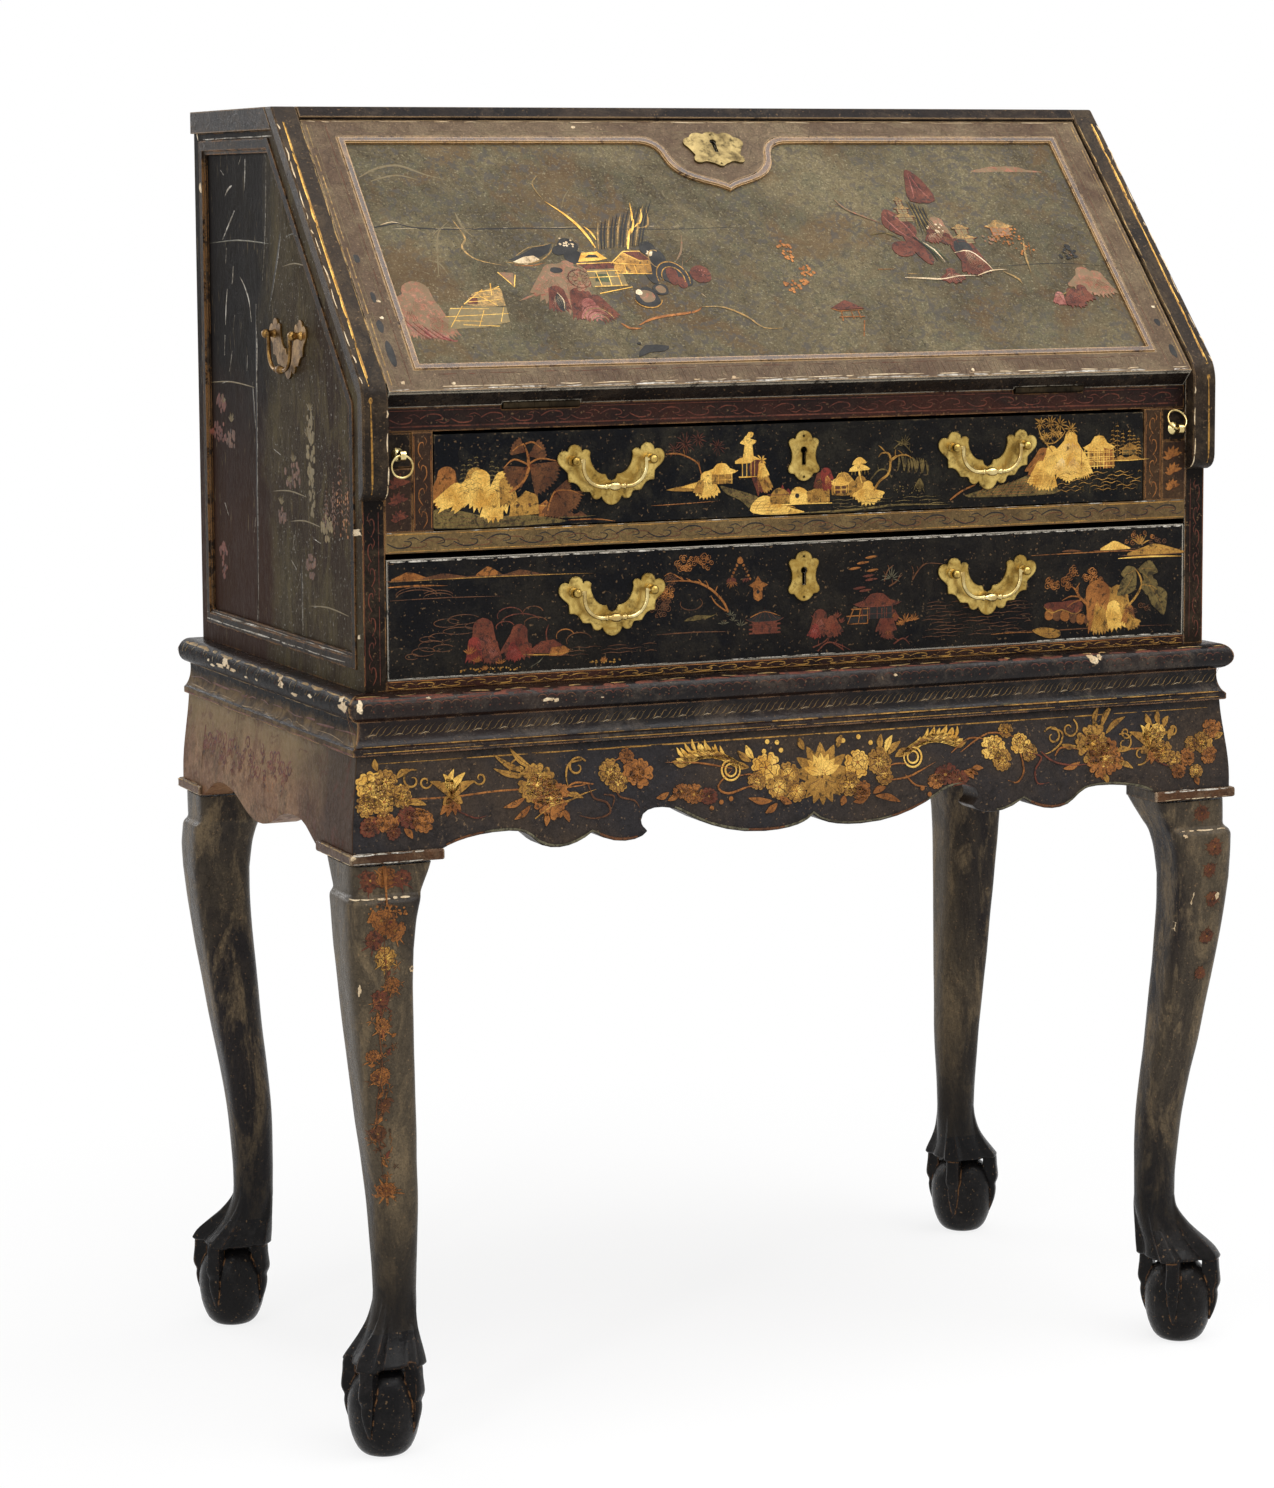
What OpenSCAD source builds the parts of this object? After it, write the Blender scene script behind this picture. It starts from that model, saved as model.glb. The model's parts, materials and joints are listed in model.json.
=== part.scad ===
// Lacquered slope-front bureau on a cabriole stand.
// Millimetres. The origin is on the floor, below the middle of the object.
// X runs to the right, Y to the back and Z up.

/* [Case] */
// Width of the case across its two cheeks
case_w = 697; // [640:1:760]
// Depth of the case from front to back
case_d = 384; // [360:1:420]
// How far the case stands behind the middle of the stand
case_shift = 2.5; // [0:0.5:5]
// Thickness of the cheeks
cheek_t = 17; // [12:0.5:20]
// Thickness of the top board
top_t = 17; // [12:0.5:20]
// Thickness of the back boards
back_t = 8; // [6:0.5:12]
// Number of upright back boards
back_boards_n = 4; // [2:1:6]
// Thickness of the bottom board
bottom_t = 7.2; // [6:0.1:7.5]
// Depth of the top board along its flat upper face
top_d = 202; // [190:1:210]
// Angle of the slope above the horizontal
slope_angle = 46.2; // [45.5:0.1:46.6]

/* [Lips on the cheeks] */
// Thickness of the lip along the front edge of each cheek
lip_t = 12; // [10:0.5:13]
// How far the lip stands proud of the side of the case
lip_proud = 3; // [0:0.5:5]
// How far the lower end of the lip lies below the writing surface
lip_end_below = 65.5; // [50:0.5:72]
// Radius of the bend of the lip below the slope
lip_bend_r = 30; // [10:1:40]

/* [Side panels] */
// Width of the stiles and rails around the side panel
panel_margin = 15; // [12:1:36]
// Depth of the side panel below the stiles
panel_sink = 3; // [1:0.5:5]
// Width of the moulding round the side panel
panel_bead_w = 11; // [5:0.5:12]

/* [Fall] */
// Thickness of the fall
fall_t = 17.5; // [16:0.1:18.3]
// How far the foot of the slope lies above the writing surface
slope_above = 14.2; // [13.8:0.1:15]
// How far the line of the hinge pins lies behind the front of the case
hinge_back = 2.5; // [1.5:0.1:3]
// Distance between the top of the fall and the upper edge of the slope
fall_top_gap = 11; // [8:0.5:14]
// Width of the flat border of the fall
fall_border = 24; // [18:1:30]
// Width of the flat border above the field
fall_border_top = 17.5; // [14:0.5:30]
// Thickness of the raised border and bead
fall_border_t = 2.5; // [1.5:0.1:3]
// Width of the bead round the field
fall_bead_w = 6; // [2.5:0.1:8]
// Half width of the shaped drop in the middle of the border
drop_half_w = 60; // [48:1:70]
// Length of the shaped drop down the slope
drop_h = 51; // [40:1:56]

/* [Drawers] */
// Running gap round the drawer fronts
drawer_gap = 1; // [0.6:0.1:1.5]
// Thickness of the drawer fronts
front_t = 18; // [16:0.5:20]
// Thickness of the drawer sides
drawer_side_t = 8; // [6:0.5:10]
// Thickness of the drawer bottoms
drawer_bottom_t = 5; // [4:0.5:6]
// Space behind the drawers
drawer_back_gap = 33.5; // [10:0.5:70]
// Height of the lower drawer front
lower_front_h = 86.7; // [80:0.1:100]
// Gap above the lower drawer front
lower_top_gap = 4.3; // [1:0.1:5]
// Thickness of the blade between the drawers
blade_t = 15; // [12:0.5:18]
// Height of the upper drawer front
upper_front_h = 68; // [64:0.1:80]
// Gap above the upper drawer front
upper_top_gap = 2.5; // [1:0.1:3]

/* [Lopers] */
// Width of each loper
loper_w = 20.6; // [18:0.1:24]
// Height of each loper
loper_h = 25; // [22:0.5:28]
// Space behind each loper
loper_back_gap = 45.5; // [20:0.5:90]
// Width of the upright stile beside each loper
stile_w = 16; // [12:0.5:20]

/* [Gallery] */
// Height of the small drawers
small_drawer_h = 52; // [40:1:64]
// Thickness of the gallery boards
gallery_t = 5; // [4:0.5:8]
// Number of pigeonholes
pigeonholes = 7; // [4:1:8]
// Distance of the gallery behind the edge of the top
gallery_back = 16; // [14:1:30]

/* [Stand] */
// Height of the stand
stand_h = 561; // [520:1:600]
// Height of the stand moulding
moulding_h = 44; // [42:1:47]
// Height of the frieze from the collars to the stand moulding
frieze_h = 77; // [74:1:82]
// Height of the band of the knee collars
collar_h = 8; // [6:0.5:10]
// How far the collars stand proud of the knees
collar_proud = 3.2; // [2:0.1:5]
// How far the frieze stands proud of the case at its lower edge
frieze_proud = 16.5; // [14:0.5:18]
// How far the frieze stands proud of the case at its top
frieze_top_proud = 10.5; // [8:0.5:12]
// Thickness of the stand rails behind the face of the case
rail_in = 8; // [6:0.5:12]
// Length of each front knee along the front
knee_front = 68; // [60:1:72]
// Length of each front knee along the side
knee_side = 71.5; // [66:0.5:76]
// Length of each back knee along the side
knee_back = 51; // [46:1:56]
// Height of the neck between the ledge of each leg and its collar
neck_h = 25; // [20:1:32]

/* [Legs] */
// Half thickness of the ankle
ankle_half = 16; // [13:0.5:18]
// Half thickness of the leg at its top
leg_half = 26.5; // [24:0.5:28]
// How far the middle of each foot stands in from the side of the case
foot_in_x = 10.5; // [6:0.5:18]
// How far the middle of each foot stands in from half the depth of the case
foot_in_y = 11; // [6:0.5:16]
// Radius of the ball in the claw
ball_r = 26; // [22:0.5:28]
// Height of the claws above the ball's surface
claw_h = 7.5; // [5:0.5:9]
// Height of the foot to the knuckles
foot_h = 66; // [58:1:72]

/* [Brass] */
// Thickness of the brass plates
plate_t = 1.6; // [1:0.1:2]
// Distance between the posts of a handle
post_pitch = 61; // [56:0.5:64]
// How far the middle of a post's head stands off its plate
post_out = 6.5; // [6:0.1:9]
// Radius of the post heads
post_head_r = 3.6; // [3.2:0.1:4.2]
// Thickness of the bails
bail_d = 3; // [2.4:0.1:3.4]
// How far the bails hang below their posts
bail_drop = 19; // [17:0.5:24]
// How far the bails of the side handles hang below their posts
side_bail_drop = 26; // [20:0.5:32]
// Distance of the handles from the middle of the drawers
handle_x = 156; // [130:1:190]
// Radius of the ring pulls, to the middle of the wire
ring_r = 8; // [6.5:0.5:8.5]
// Thickness of the wire of the ring pulls
ring_d = 1.8; // [1.4:0.1:2]

/* [Hidden] */
$fn = 48;
fit = 0.05;
slack = 0.3;
far = 400;

half_w = case_w / 2;
front_y = case_shift - case_d / 2;
back_y = case_shift + case_d / 2;
inner_w = half_w - cheek_t;
inner_back = back_y - back_t;
slope_y = front_y - lip_t;
slope_top_y = back_y - top_d;
slope_len = (slope_top_y - slope_y) / cos(slope_angle);

moulding_top_z = stand_h - 10;
frieze_top_z = stand_h - moulding_h;
collar_z = frieze_top_z - frieze_h;
ledge_z = collar_z - neck_h;
frieze_foot_z = collar_z - 40;

lower_front_z0 = stand_h + bottom_t + slack;
blade_z = lower_front_z0 + lower_front_h + lower_top_gap;
blade_top = blade_z + blade_t;
upper_front_z0 = blade_top + drawer_gap;
under_writing = upper_front_z0 + upper_front_h + upper_top_gap;
writing_h = under_writing + fall_t;
lip_end_z = writing_h - lip_end_below;
slope_z = writing_h + slope_above;
top_z = slope_z + slope_len * sin(slope_angle);

hinge_y = front_y + hinge_back;
hinge_z = writing_h;
hinge_from_lip = (hinge_y - slope_y) * sin(slope_angle) + (slope_z - hinge_z) * cos(slope_angle);
fall_foot = (hinge_y - slope_y) * cos(slope_angle) - (slope_z - hinge_z) * sin(slope_angle);
fall_head = slope_len - fall_top_gap;
fall_half = inner_w - drawer_gap;
fall_face = fall_t - hinge_from_lip;
field_low = fall_foot + fall_border - 4;
field_high = fall_head - fall_border_top;
field_half = fall_half - fall_border;

loper_top = under_writing - slack;
loper_x1 = inner_w - slack;
loper_x0 = loper_x1 - loper_w;
stile_x1 = loper_x0 - slack;
stile_x0 = stile_x1 - stile_w;
upper_half = stile_x0 - drawer_gap;
lower_half = inner_w - drawer_gap;
front_set = 0.5;
stile_t = 20;
blade_d = 60;
drawer_len = inner_back - drawer_back_gap - front_y - front_set;
loper_len = inner_back - loper_back_gap - front_y - front_set;

foot_x = half_w - foot_in_x;
foot_y = case_d / 2 - foot_in_y;
back_ref = foot_y + 6;
stand_back = back_ref + frieze_proud;
rail_front_y = front_y + rail_in;
rail_back_y = back_ref - 22;
knee_x0 = half_w + frieze_proud - knee_front;
knee_y0 = -front_y + frieze_proud - knee_side;
back_knee_y0 = stand_back - knee_back;
back_knee_x0 = half_w + frieze_proud - 53;
back_rail_h = 94;
bearer_x = 170;
bearer_w = 40;
bearer_t = 28;

gallery_y = slope_top_y + gallery_back;
gallery_top = top_z - top_t;
gallery_shelf_z = writing_h + small_drawer_h + 2 * slack;

hinge_leaf_l = 60;
hinge_leaf_w = 22;
hinge_leaf_t = 1.6;
hinge_knuckle_r = 3;
hinge_pin_r = 1.5;
hinge_knuckles = 5;
hinge_x = 210;

// Points of an arc
function arc(c, r, a0, a1, n = 8) =
    [for (i = [0:n]) let (a = a0 + (a1 - a0) * i / n) c + r * [cos(a), sin(a)]];
// Points of a cubic curve, without its first point
function curve(p, n = 6) =
    [for (i = [1:n]) let (t = i / n, u = 1 - t)
        u * u * u * p[0] + 3 * u * u * t * p[1] + 3 * u * t * t * p[2] + t * t * t * p[3]];
// The same points from last to first
function reversed(p) = [for (i = [len(p) - 1:-1:0]) p[i]];
// A point in the plane of a cheek, from its place along the slope and out of it
function on_slope(s, out) = [
    slope_y + s * cos(slope_angle) - out * sin(slope_angle),
    slope_z + s * sin(slope_angle) + out * cos(slope_angle)
];
// Where a line parallel to the slope crosses a height, and an upright line
function slope_at_z(out, z) = [on_slope((z - slope_z - out * cos(slope_angle)) / sin(slope_angle), out)[0], z];
function slope_at_y(out, y) = [y, on_slope((y - slope_y + out * sin(slope_angle)) / cos(slope_angle), out)[1]];

// Turns a child drawn as an outline in Y and Z into a board from x0 to x1
module board_yz(x0, x1) {
    translate([x0, 0, 0]) rotate([90, 0, 90]) linear_extrude(x1 - x0) children();
}
// Turns a child drawn as an outline in X and Z into a board from y0 to y1
module board_xz(y0, y1) {
    translate([0, y1, 0]) rotate([90, 0, 0]) linear_extrude(y1 - y0) children();
}
// A plain board between two corners
module board(low, high) {
    translate(low) cube(high - low);
}
module both_sides() {
    children();
    mirror([1, 0, 0]) children();
}
// Places a child drawn in X, along the slope and out of it
module in_slope() {
    translate([0, slope_y, slope_z]) rotate([slope_angle, 0, 0]) children();
}

// Stand: frieze

// Outline of the frieze's face: how far it stands proud, and its height
frieze_face = concat(
    [[frieze_proud, frieze_foot_z], [frieze_proud, collar_z + 15]],
    curve([[frieze_proud, collar_z + 15], [frieze_proud, collar_z + 36],
        [frieze_top_proud + 1, frieze_top_z - 20], [frieze_top_proud, frieze_top_z]], 8)
);
// Section of a frieze rail, with its upper part set back behind the moulding
module frieze_section(back) {
    polygon(concat(
        [[-back, frieze_foot_z]], frieze_face,
        [[0, frieze_top_z], [0, moulding_top_z], [-back, moulding_top_z]]
    ));
}
// The frieze's face along the front, along a side, and along the back
module front_profile(back) {
    translate([far, front_y, 0]) rotate([90, 0, -90]) linear_extrude(2 * far) frieze_section(back);
}
module side_profile(back) {
    translate([half_w, far, 0]) rotate([90, 0, 0]) linear_extrude(2 * far) frieze_section(back);
}
module back_profile(back) {
    translate([-far, back_ref, 0]) rotate([90, 0, 90]) linear_extrude(2 * far) frieze_section(back);
}

// Half of the front apron's lower edge from its middle cusp, for a half length of 297
front_edge_nominal = 297;
front_edge = concat(
    [[0, 11.5]],
    curve([[0, 11.5], [5, 6], [16, 1.5], [40, 1.5]]),
    curve([[40, 1.5], [75, 1.5], [98, 15], [110, 22]]),
    curve([[110, 22], [122, 27.5], [140, 27], [140.5, 17]]),
    curve([[140.5, 17], [140.5, 12], [137.5, 11.5], [135.5, 8.5]], 4),
    curve([[135.5, 8.5], [141, 1], [163, -1], [179.5, 11]]),
    curve([[179.5, 11], [190, 3], [206, -1.5], [219, 4]]),
    curve([[219, 4], [228, 9], [228, 16], [245, 16.5]]),
    curve([[245, 16.5], [270, 17], [288, 12], [297, 7]])
);
// Half of a side apron's lower edge from the middle of its lobe, for a half length of 146
side_edge_nominal = 146;
side_edge = concat(
    [[0, -0.5]],
    curve([[0, -0.5], [22, -0.5], [35, 6], [52, 12]]),
    curve([[52, 12], [70, 18.5], [98, 19.5], [112, 14.5]]),
    curve([[112, 14.5], [124, 10], [132, 4], [146, 0]])
);
// An apron's outline, made of its lower edge and its mirror image
module apron_outline(edge, nominal, half_len, top) {
    right = [for (p = edge) [p[0] * half_len / nominal, collar_z + p[1]]];
    left = [for (p = reversed(right)) [-p[0], p[1]]];
    polygon(concat(left, right, [[half_len, top], [-half_len, top]]));
}

module apron_front() {
    color([0.10, 0.09, 0.08])
    intersection() {
        front_profile(rail_in);
        board_xz(-far, 0) apron_outline(front_edge, front_edge_nominal, knee_x0, moulding_top_z);
    }
}
module side_apron() {
    color([0.25, 0.19, 0.13])
    intersection() {
        side_profile(rail_in);
        translate([0, (back_knee_y0 - knee_y0) / 2, 0])
            board_yz(0, far)
                apron_outline(side_edge, side_edge_nominal, (back_knee_y0 + knee_y0) / 2, moulding_top_z);
    }
}
module apron_left() {
    mirror([1, 0, 0]) side_apron();
}
module apron_right() {
    side_apron();
}
module stand_back_rail() {
    color([0.20, 0.15, 0.11])
    board([-back_knee_x0, rail_back_y, stand_h - back_rail_h], [back_knee_x0, back_ref, stand_h]);
}

// Section of the moulding at the top of the stand
torus_r = 9.75;
torus_in = 8.75;
moulding_section = concat(
    [[-rail_in, moulding_top_z], [-rail_in, stand_h], [torus_in, stand_h]],
    arc([torus_in, stand_h - torus_r], torus_r, 90, -90, 12),
    curve([[torus_in, stand_h - 2 * torus_r], [torus_in - 1, stand_h - 28],
        [torus_in + 1, frieze_top_z + 8], [torus_in + 5.5, frieze_top_z + 5]], 8),
    [[torus_in + 5.5, frieze_top_z], [0, frieze_top_z], [0, moulding_top_z]]
);
moulding_reach = torus_in + torus_r + 4;
// Cuts a run of moulding to a mitre where it meets the next one
module front_mitre() {
    linear_extrude(2 * far)
        polygon([
            [-half_w + rail_in, front_y + rail_in], [half_w - rail_in, front_y + rail_in],
            [half_w + moulding_reach, front_y - moulding_reach], [-half_w - moulding_reach, front_y - moulding_reach]
        ]);
}
module side_mitre() {
    linear_extrude(2 * far)
        polygon([
            [half_w - rail_in, front_y + rail_in + fit],
            [half_w + moulding_reach, front_y - moulding_reach + fit],
            [half_w + moulding_reach, stand_back], [half_w - rail_in, stand_back]
        ]);
}
module stand_moulding() {
    color([0.08, 0.07, 0.07]) {
        intersection() {
            translate([far, front_y, 0]) rotate([90, 0, -90]) linear_extrude(2 * far) polygon(moulding_section);
            front_mitre();
        }
        both_sides()
            intersection() {
                translate([half_w, far, 0]) rotate([90, 0, 0])
                    linear_extrude(2 * far) polygon(moulding_section);
                side_mitre();
            }
    }
}

module stand_bearers() {
    color([0.35, 0.25, 0.17])
    both_sides()
        board([bearer_x - bearer_w / 2, rail_front_y, stand_h - bearer_t],
            [bearer_x + bearer_w / 2, rail_back_y, stand_h]);
}

// Section of the knee collar, with a rounded nose
module collar_section() {
    polygon(concat(
        [[frieze_proud, collar_z], [frieze_proud + collar_proud - 2, collar_z]],
        arc([frieze_proud + collar_proud - 2, collar_z + 2], 2, -90, 0, 4),
        arc([frieze_proud + collar_proud - 2, collar_z + collar_h - 2], 2, 0, 90, 4),
        [[frieze_proud, collar_z + collar_h]]
    ));
}
// A collar that wraps a corner, its arms running along the front and the side
module collar(ref_y, arm_x, arm_y) {
    reach = frieze_proud + collar_proud + 5;
    intersection() {
        translate([far, ref_y, 0]) rotate([90, 0, -90]) linear_extrude(2 * far) collar_section();
        linear_extrude(2 * far)
            polygon([[half_w, ref_y], [half_w + reach, ref_y - reach], [arm_x, ref_y - reach], [arm_x, ref_y]]);
    }
    intersection() {
        translate([half_w, far, 0]) rotate([90, 0, 0]) linear_extrude(2 * far) collar_section();
        linear_extrude(2 * far)
            polygon([[half_w, ref_y], [half_w + reach, ref_y - reach], [half_w + reach, arm_y], [half_w, arm_y]]);
    }
}
module knee_collars() {
    color([0.45, 0.40, 0.34])
    both_sides() {
        collar(front_y, knee_x0 - 1, -knee_y0 + 1);
        mirror([0, 1, 0]) collar(-back_ref, back_knee_x0 - 1, -back_knee_y0 + 1);
    }
}

// Stand: legs

// Rings of the foot: share of the foot's height, share of the ball's radius, share of
// the claws' height, and shift outwards
foot_rings = [
    [0, 0.56, 0.10, 0], [0.06, 0.74, 0.20, 0], [0.18, 0.90, 0.35, 0], [0.34, 1, 0.70, 0],
    [0.50, 1, 0.80, 0], [0.64, 0.97, 0.95, 0], [0.76, 0.92, 1, -1], [0.88, 0.86, 0.95, -4],
    [1, 0.80, 0.75, -8]
];
// Rings of the leg: share of the height from the foot to the ledge, share of the growth
// from the ankle to the top, shift outwards, and squareness, where 2 is round
leg_rings = [
    [0.03, 0.30, -12, 2, 0.4], [0.07, 0.12, -17, 2, 0.15], [0.13, 0, -20.5, 2, 0], [0.22, 0.07, -20.5, 2.2, 0],
    [0.32, 0.15, -18.5, 2.5, 0], [0.42, 0.25, -14, 2.8, 0], [0.52, 0.36, -8.5, 3.1, 0],
    [0.62, 0.46, -3.5, 3.4, 0], [0.72, 0.56, 1.5, 3.7, 0], [0.81, 0.66, 5.5, 3.9, 0],
    [0.89, 0.76, 7.5, 4.1, 0], [0.95, 0.88, 7, 4.3, 0], [0.985, 0.97, 6.2, 4.4, 0], [1, 1, 6, 4.5, 0]
];
claw_angles = [0, 88, -88, 180];
claw_spread = 24;
ring_points = 32;
// How much the claws add at an angle from the outward diagonal
function wrapped(a) = a > 180 ? a - 360 : a < -180 ? a + 360 : a;
function claw_at(a) = max([for (c = claw_angles)
    let (d = abs(wrapped(a - c))) d < claw_spread ? pow(cos(90 * d / claw_spread), 1.3) : 0]);
// Radius of a rounded square at an angle from its side
function square_r(half, n, a) = half / pow(pow(abs(cos(a)), n) + pow(abs(sin(a)), n), 1 / n);
// A ring of points about a foot whose outward diagonal points to plus X and plus Y
function ring_pts(z, shift, half, n, claw) = [for (i = [0:ring_points - 1])
    let (a = 360 * i / ring_points, r = square_r(half, n, a) + claw * claw_at(wrapped(a - 45)))
    [shift * cos(45) + r * cos(a), shift * cos(45) + r * sin(a), z]];
leg_loft = concat(
    [for (f = foot_rings) ring_pts(f[0] * foot_h, f[3], f[1] * ball_r, 2, f[2] * claw_h)],
    [for (f = leg_rings) ring_pts(foot_h + f[0] * (ledge_z - foot_h), f[2],
        ankle_half + f[1] * (leg_half - ankle_half), f[3], f[4] * claw_h)]
);
// A closed skin over a stack of rings
module skin(rings) {
    n = len(rings[0]);
    m = len(rings);
    polyhedron(
        points = [for (r = rings) for (p = r) p],
        faces = concat(
            [[for (i = [0:n - 1]) i]],
            [[for (i = [n - 1:-1:0]) (m - 1) * n + i]],
            [for (k = [0:m - 2]) for (i = [0:n - 1])
                let (j = (i + 1) % n) [k * n + i, (k + 1) * n + i, k * n + j]],
            [for (k = [0:m - 2]) for (i = [0:n - 1])
                let (j = (i + 1) % n) [k * n + j, (k + 1) * n + i, (k + 1) * n + j]]
        )
    );
}
leg_top = [foot_x + 6 * cos(45), foot_y + 6 * cos(45)];
neck_half = leg_half - 2.5;
// The head of a leg in plan, where the aprons meet it
module head_plan(x0, y0, x1, y1, cut) {
    polygon([[x0, y0 + cut], [x0 + cut, y0], [x1, y0], [x1, y1], [x0, y1]]);
}
// The neck between the ledge and the collar, widening to the head
module neck(x0, y0, y1, cut) {
    x1 = half_w + frieze_proud;
    in = 0.3;
    hull() {
        translate([x1 - 2 * neck_half, y1 - 2 * neck_half, ledge_z - 1])
            cube([2 * neck_half - in, 2 * neck_half - in, 1]);
        translate([0, 0, collar_z]) linear_extrude(1) head_plan(x0 + in, y0 + in, x1 - in, y1 - in, cut);
    }
}
// The part of a head that stands up inside the moulding
module head_core(x0, y0, y1, cut) {
    translate([0, 0, moulding_top_z - 1]) linear_extrude(stand_h - moulding_top_z + 1)
        head_plan(x0, y0, half_w - rail_in, y1, cut);
}
module front_leg() {
    color([0.11, 0.10, 0.10])
    mirror([0, 1, 0]) {
        translate([foot_x, foot_y, 0]) skin(leg_loft);
        neck(knee_x0, knee_y0, -front_y + frieze_proud, 28);
        intersection() {
            mirror([0, 1, 0]) front_profile(2 * knee_side);
            side_profile(2 * knee_side);
            translate([0, 0, collar_z]) linear_extrude(far)
                head_plan(knee_x0, knee_y0, far, far, 28);
        }
        head_core(knee_x0, knee_y0, -rail_front_y, 28);
    }
}
module back_leg() {
    color([0.11, 0.10, 0.10]) {
        translate([foot_x, foot_y, 0]) skin(leg_loft);
        neck(back_knee_x0, back_knee_y0, stand_back, 6);
        intersection() {
            side_profile(2 * knee_side);
            translate([0, 0, collar_z]) linear_extrude(moulding_top_z - collar_z)
                head_plan(back_knee_x0, back_knee_y0, far, stand_back, 6);
        }
        head_core(back_knee_x0, back_knee_y0, back_ref, 6);
    }
}
module leg_front_left() {
    mirror([1, 0, 0]) front_leg();
}
module leg_front_right() {
    front_leg();
}
module leg_back_left() {
    mirror([1, 0, 0]) back_leg();
}
module leg_back_right() {
    back_leg();
}

// Case

lip_start = slope_at_y(-lip_t, front_y);
// Corners of the side panel, moved inwards
function panel_pts(d) = let (m = panel_margin + d) [
    [back_y - m, stand_h + m], [front_y + m, stand_h + m],
    slope_at_y(-lip_t - m, front_y + m),
    slope_at_z(-lip_t - m, gallery_top - m + 9), [back_y - m, gallery_top - m + 9]
];
side_handle_z = writing_h + 47.5;
side_handle_y = gallery_y - 3.5 - post_pitch / 2;
module cheek() {
    difference() {
        board_yz(inner_w, half_w)
            polygon([
                [back_y, stand_h], [front_y, stand_h], lip_start,
                slope_at_z(-lip_t, gallery_top), [back_y, gallery_top]
            ]);
        board_yz(half_w - panel_sink, half_w + 1) polygon(panel_pts(0));
        side_handle_frame() post_holes(cheek_t + 2);
    }
}
module cheek_left() {
    color([0.20, 0.18, 0.14]) mirror([1, 0, 0]) cheek();
}
module cheek_right() {
    color([0.20, 0.18, 0.14]) cheek();
}
module side_panel_mouldings() {
    color([0.35, 0.32, 0.26])
    both_sides()
        difference() {
            board_yz(half_w - panel_sink, half_w + 1.2) polygon(panel_pts(0));
            board_yz(half_w - panel_sink - 1, half_w + 2) polygon(panel_pts(panel_bead_w));
            board_yz(half_w - 0.4, half_w + 2) polygon(panel_pts(panel_bead_w - 3));
        }
}

// The lip's outline: its outer face bends from the slope to the upright
lip_bend_s = lip_bend_r * (1 - sin(slope_angle)) / cos(slope_angle);
lip_bend_c = on_slope(lip_bend_s, -lip_bend_r);
module lip_outline() {
    polygon(concat(
        [lip_start, [front_y, lip_end_z]],
        arc([front_y, lip_end_z + lip_t], lip_t, -90, -180, 6),
        arc(lip_bend_c, lip_bend_r, 180, 90 + slope_angle, 8),
        [slope_at_z(0, top_z), slope_at_z(-lip_t, top_z)]
    ));
}
module cheek_lips() {
    color([0.12, 0.11, 0.10])
    both_sides() board_yz(inner_w, half_w + lip_proud) lip_outline();
}

module top_board() {
    color([0.12, 0.11, 0.10]) {
        board_yz(-inner_w, inner_w)
            polygon([
                [back_y, gallery_top], [back_y, top_z], [slope_top_y, top_z],
                on_slope(fall_head + slack, 0),
                on_slope(fall_head + slack, -(fall_head_z - gallery_top) / cos(slope_angle))
            ]);
        both_sides()
            board_yz(inner_w - 1, half_w + lip_proud)
                polygon([
                    [back_y, gallery_top], [back_y, top_z],
                    slope_at_z(-lip_t - fit, top_z), slope_at_z(-lip_t - fit, gallery_top)
                ]);
    }
}
fall_head_z = on_slope(fall_head + slack, 0)[1];

module back_boards() {
    pitch = 2 * inner_w / back_boards_n;
    color([0.30, 0.22, 0.15])
    for (i = [0:back_boards_n - 1])
        board([-inner_w + i * pitch, inner_back, stand_h],
            [-inner_w + (i + 1) * pitch - (i < back_boards_n - 1 ? slack : 0), back_y, gallery_top]);
}
module bottom_board() {
    color([0.34, 0.25, 0.17])
    board([-inner_w, front_y + front_t + 2, stand_h], [inner_w, inner_back, stand_h + bottom_t]);
}
module base_rail() {
    color([0.14, 0.11, 0.09])
    board([-inner_w, front_y, stand_h], [inner_w, front_y + front_t + 2, stand_h + bottom_t]);
}
module writing_board() {
    color([0.15, 0.10, 0.08])
    difference() {
        board([-inner_w, hinge_y + slack, under_writing], [inner_w, inner_back, writing_h]);
        hinge_places() {
            hinge_knuckle_room();
            board([-hinge_leaf_l / 2, 0, -hinge_leaf_t], [hinge_leaf_l / 2, hinge_leaf_w, 1]);
        }
    }
}
module drawer_blade() {
    color([0.42, 0.34, 0.20])
    board([-inner_w, front_y, blade_z], [inner_w, front_y + blade_d, blade_top]);
}
module front_stiles() {
    color([0.30, 0.23, 0.14])
    both_sides() {
        board([stile_x0, front_y, blade_top], [stile_x1, front_y + stile_t, under_writing]);
        board([stile_x1 + slack, front_y, blade_top], [inner_w, front_y + stile_t, loper_top - loper_h - slack]);
    }
}
module runners_and_guides() {
    color([0.40, 0.30, 0.20])
    both_sides() {
        board([stile_x0, front_y + stile_t, blade_top], [stile_x1, inner_back, under_writing]);
        board([stile_x1 + slack, front_y + stile_t, loper_top - loper_h - 12],
            [inner_w, inner_back, loper_top - loper_h - slack]);
        board([stile_x0 - 30, front_y + blade_d, blade_z], [inner_w, inner_back, blade_top]);
    }
}

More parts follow.
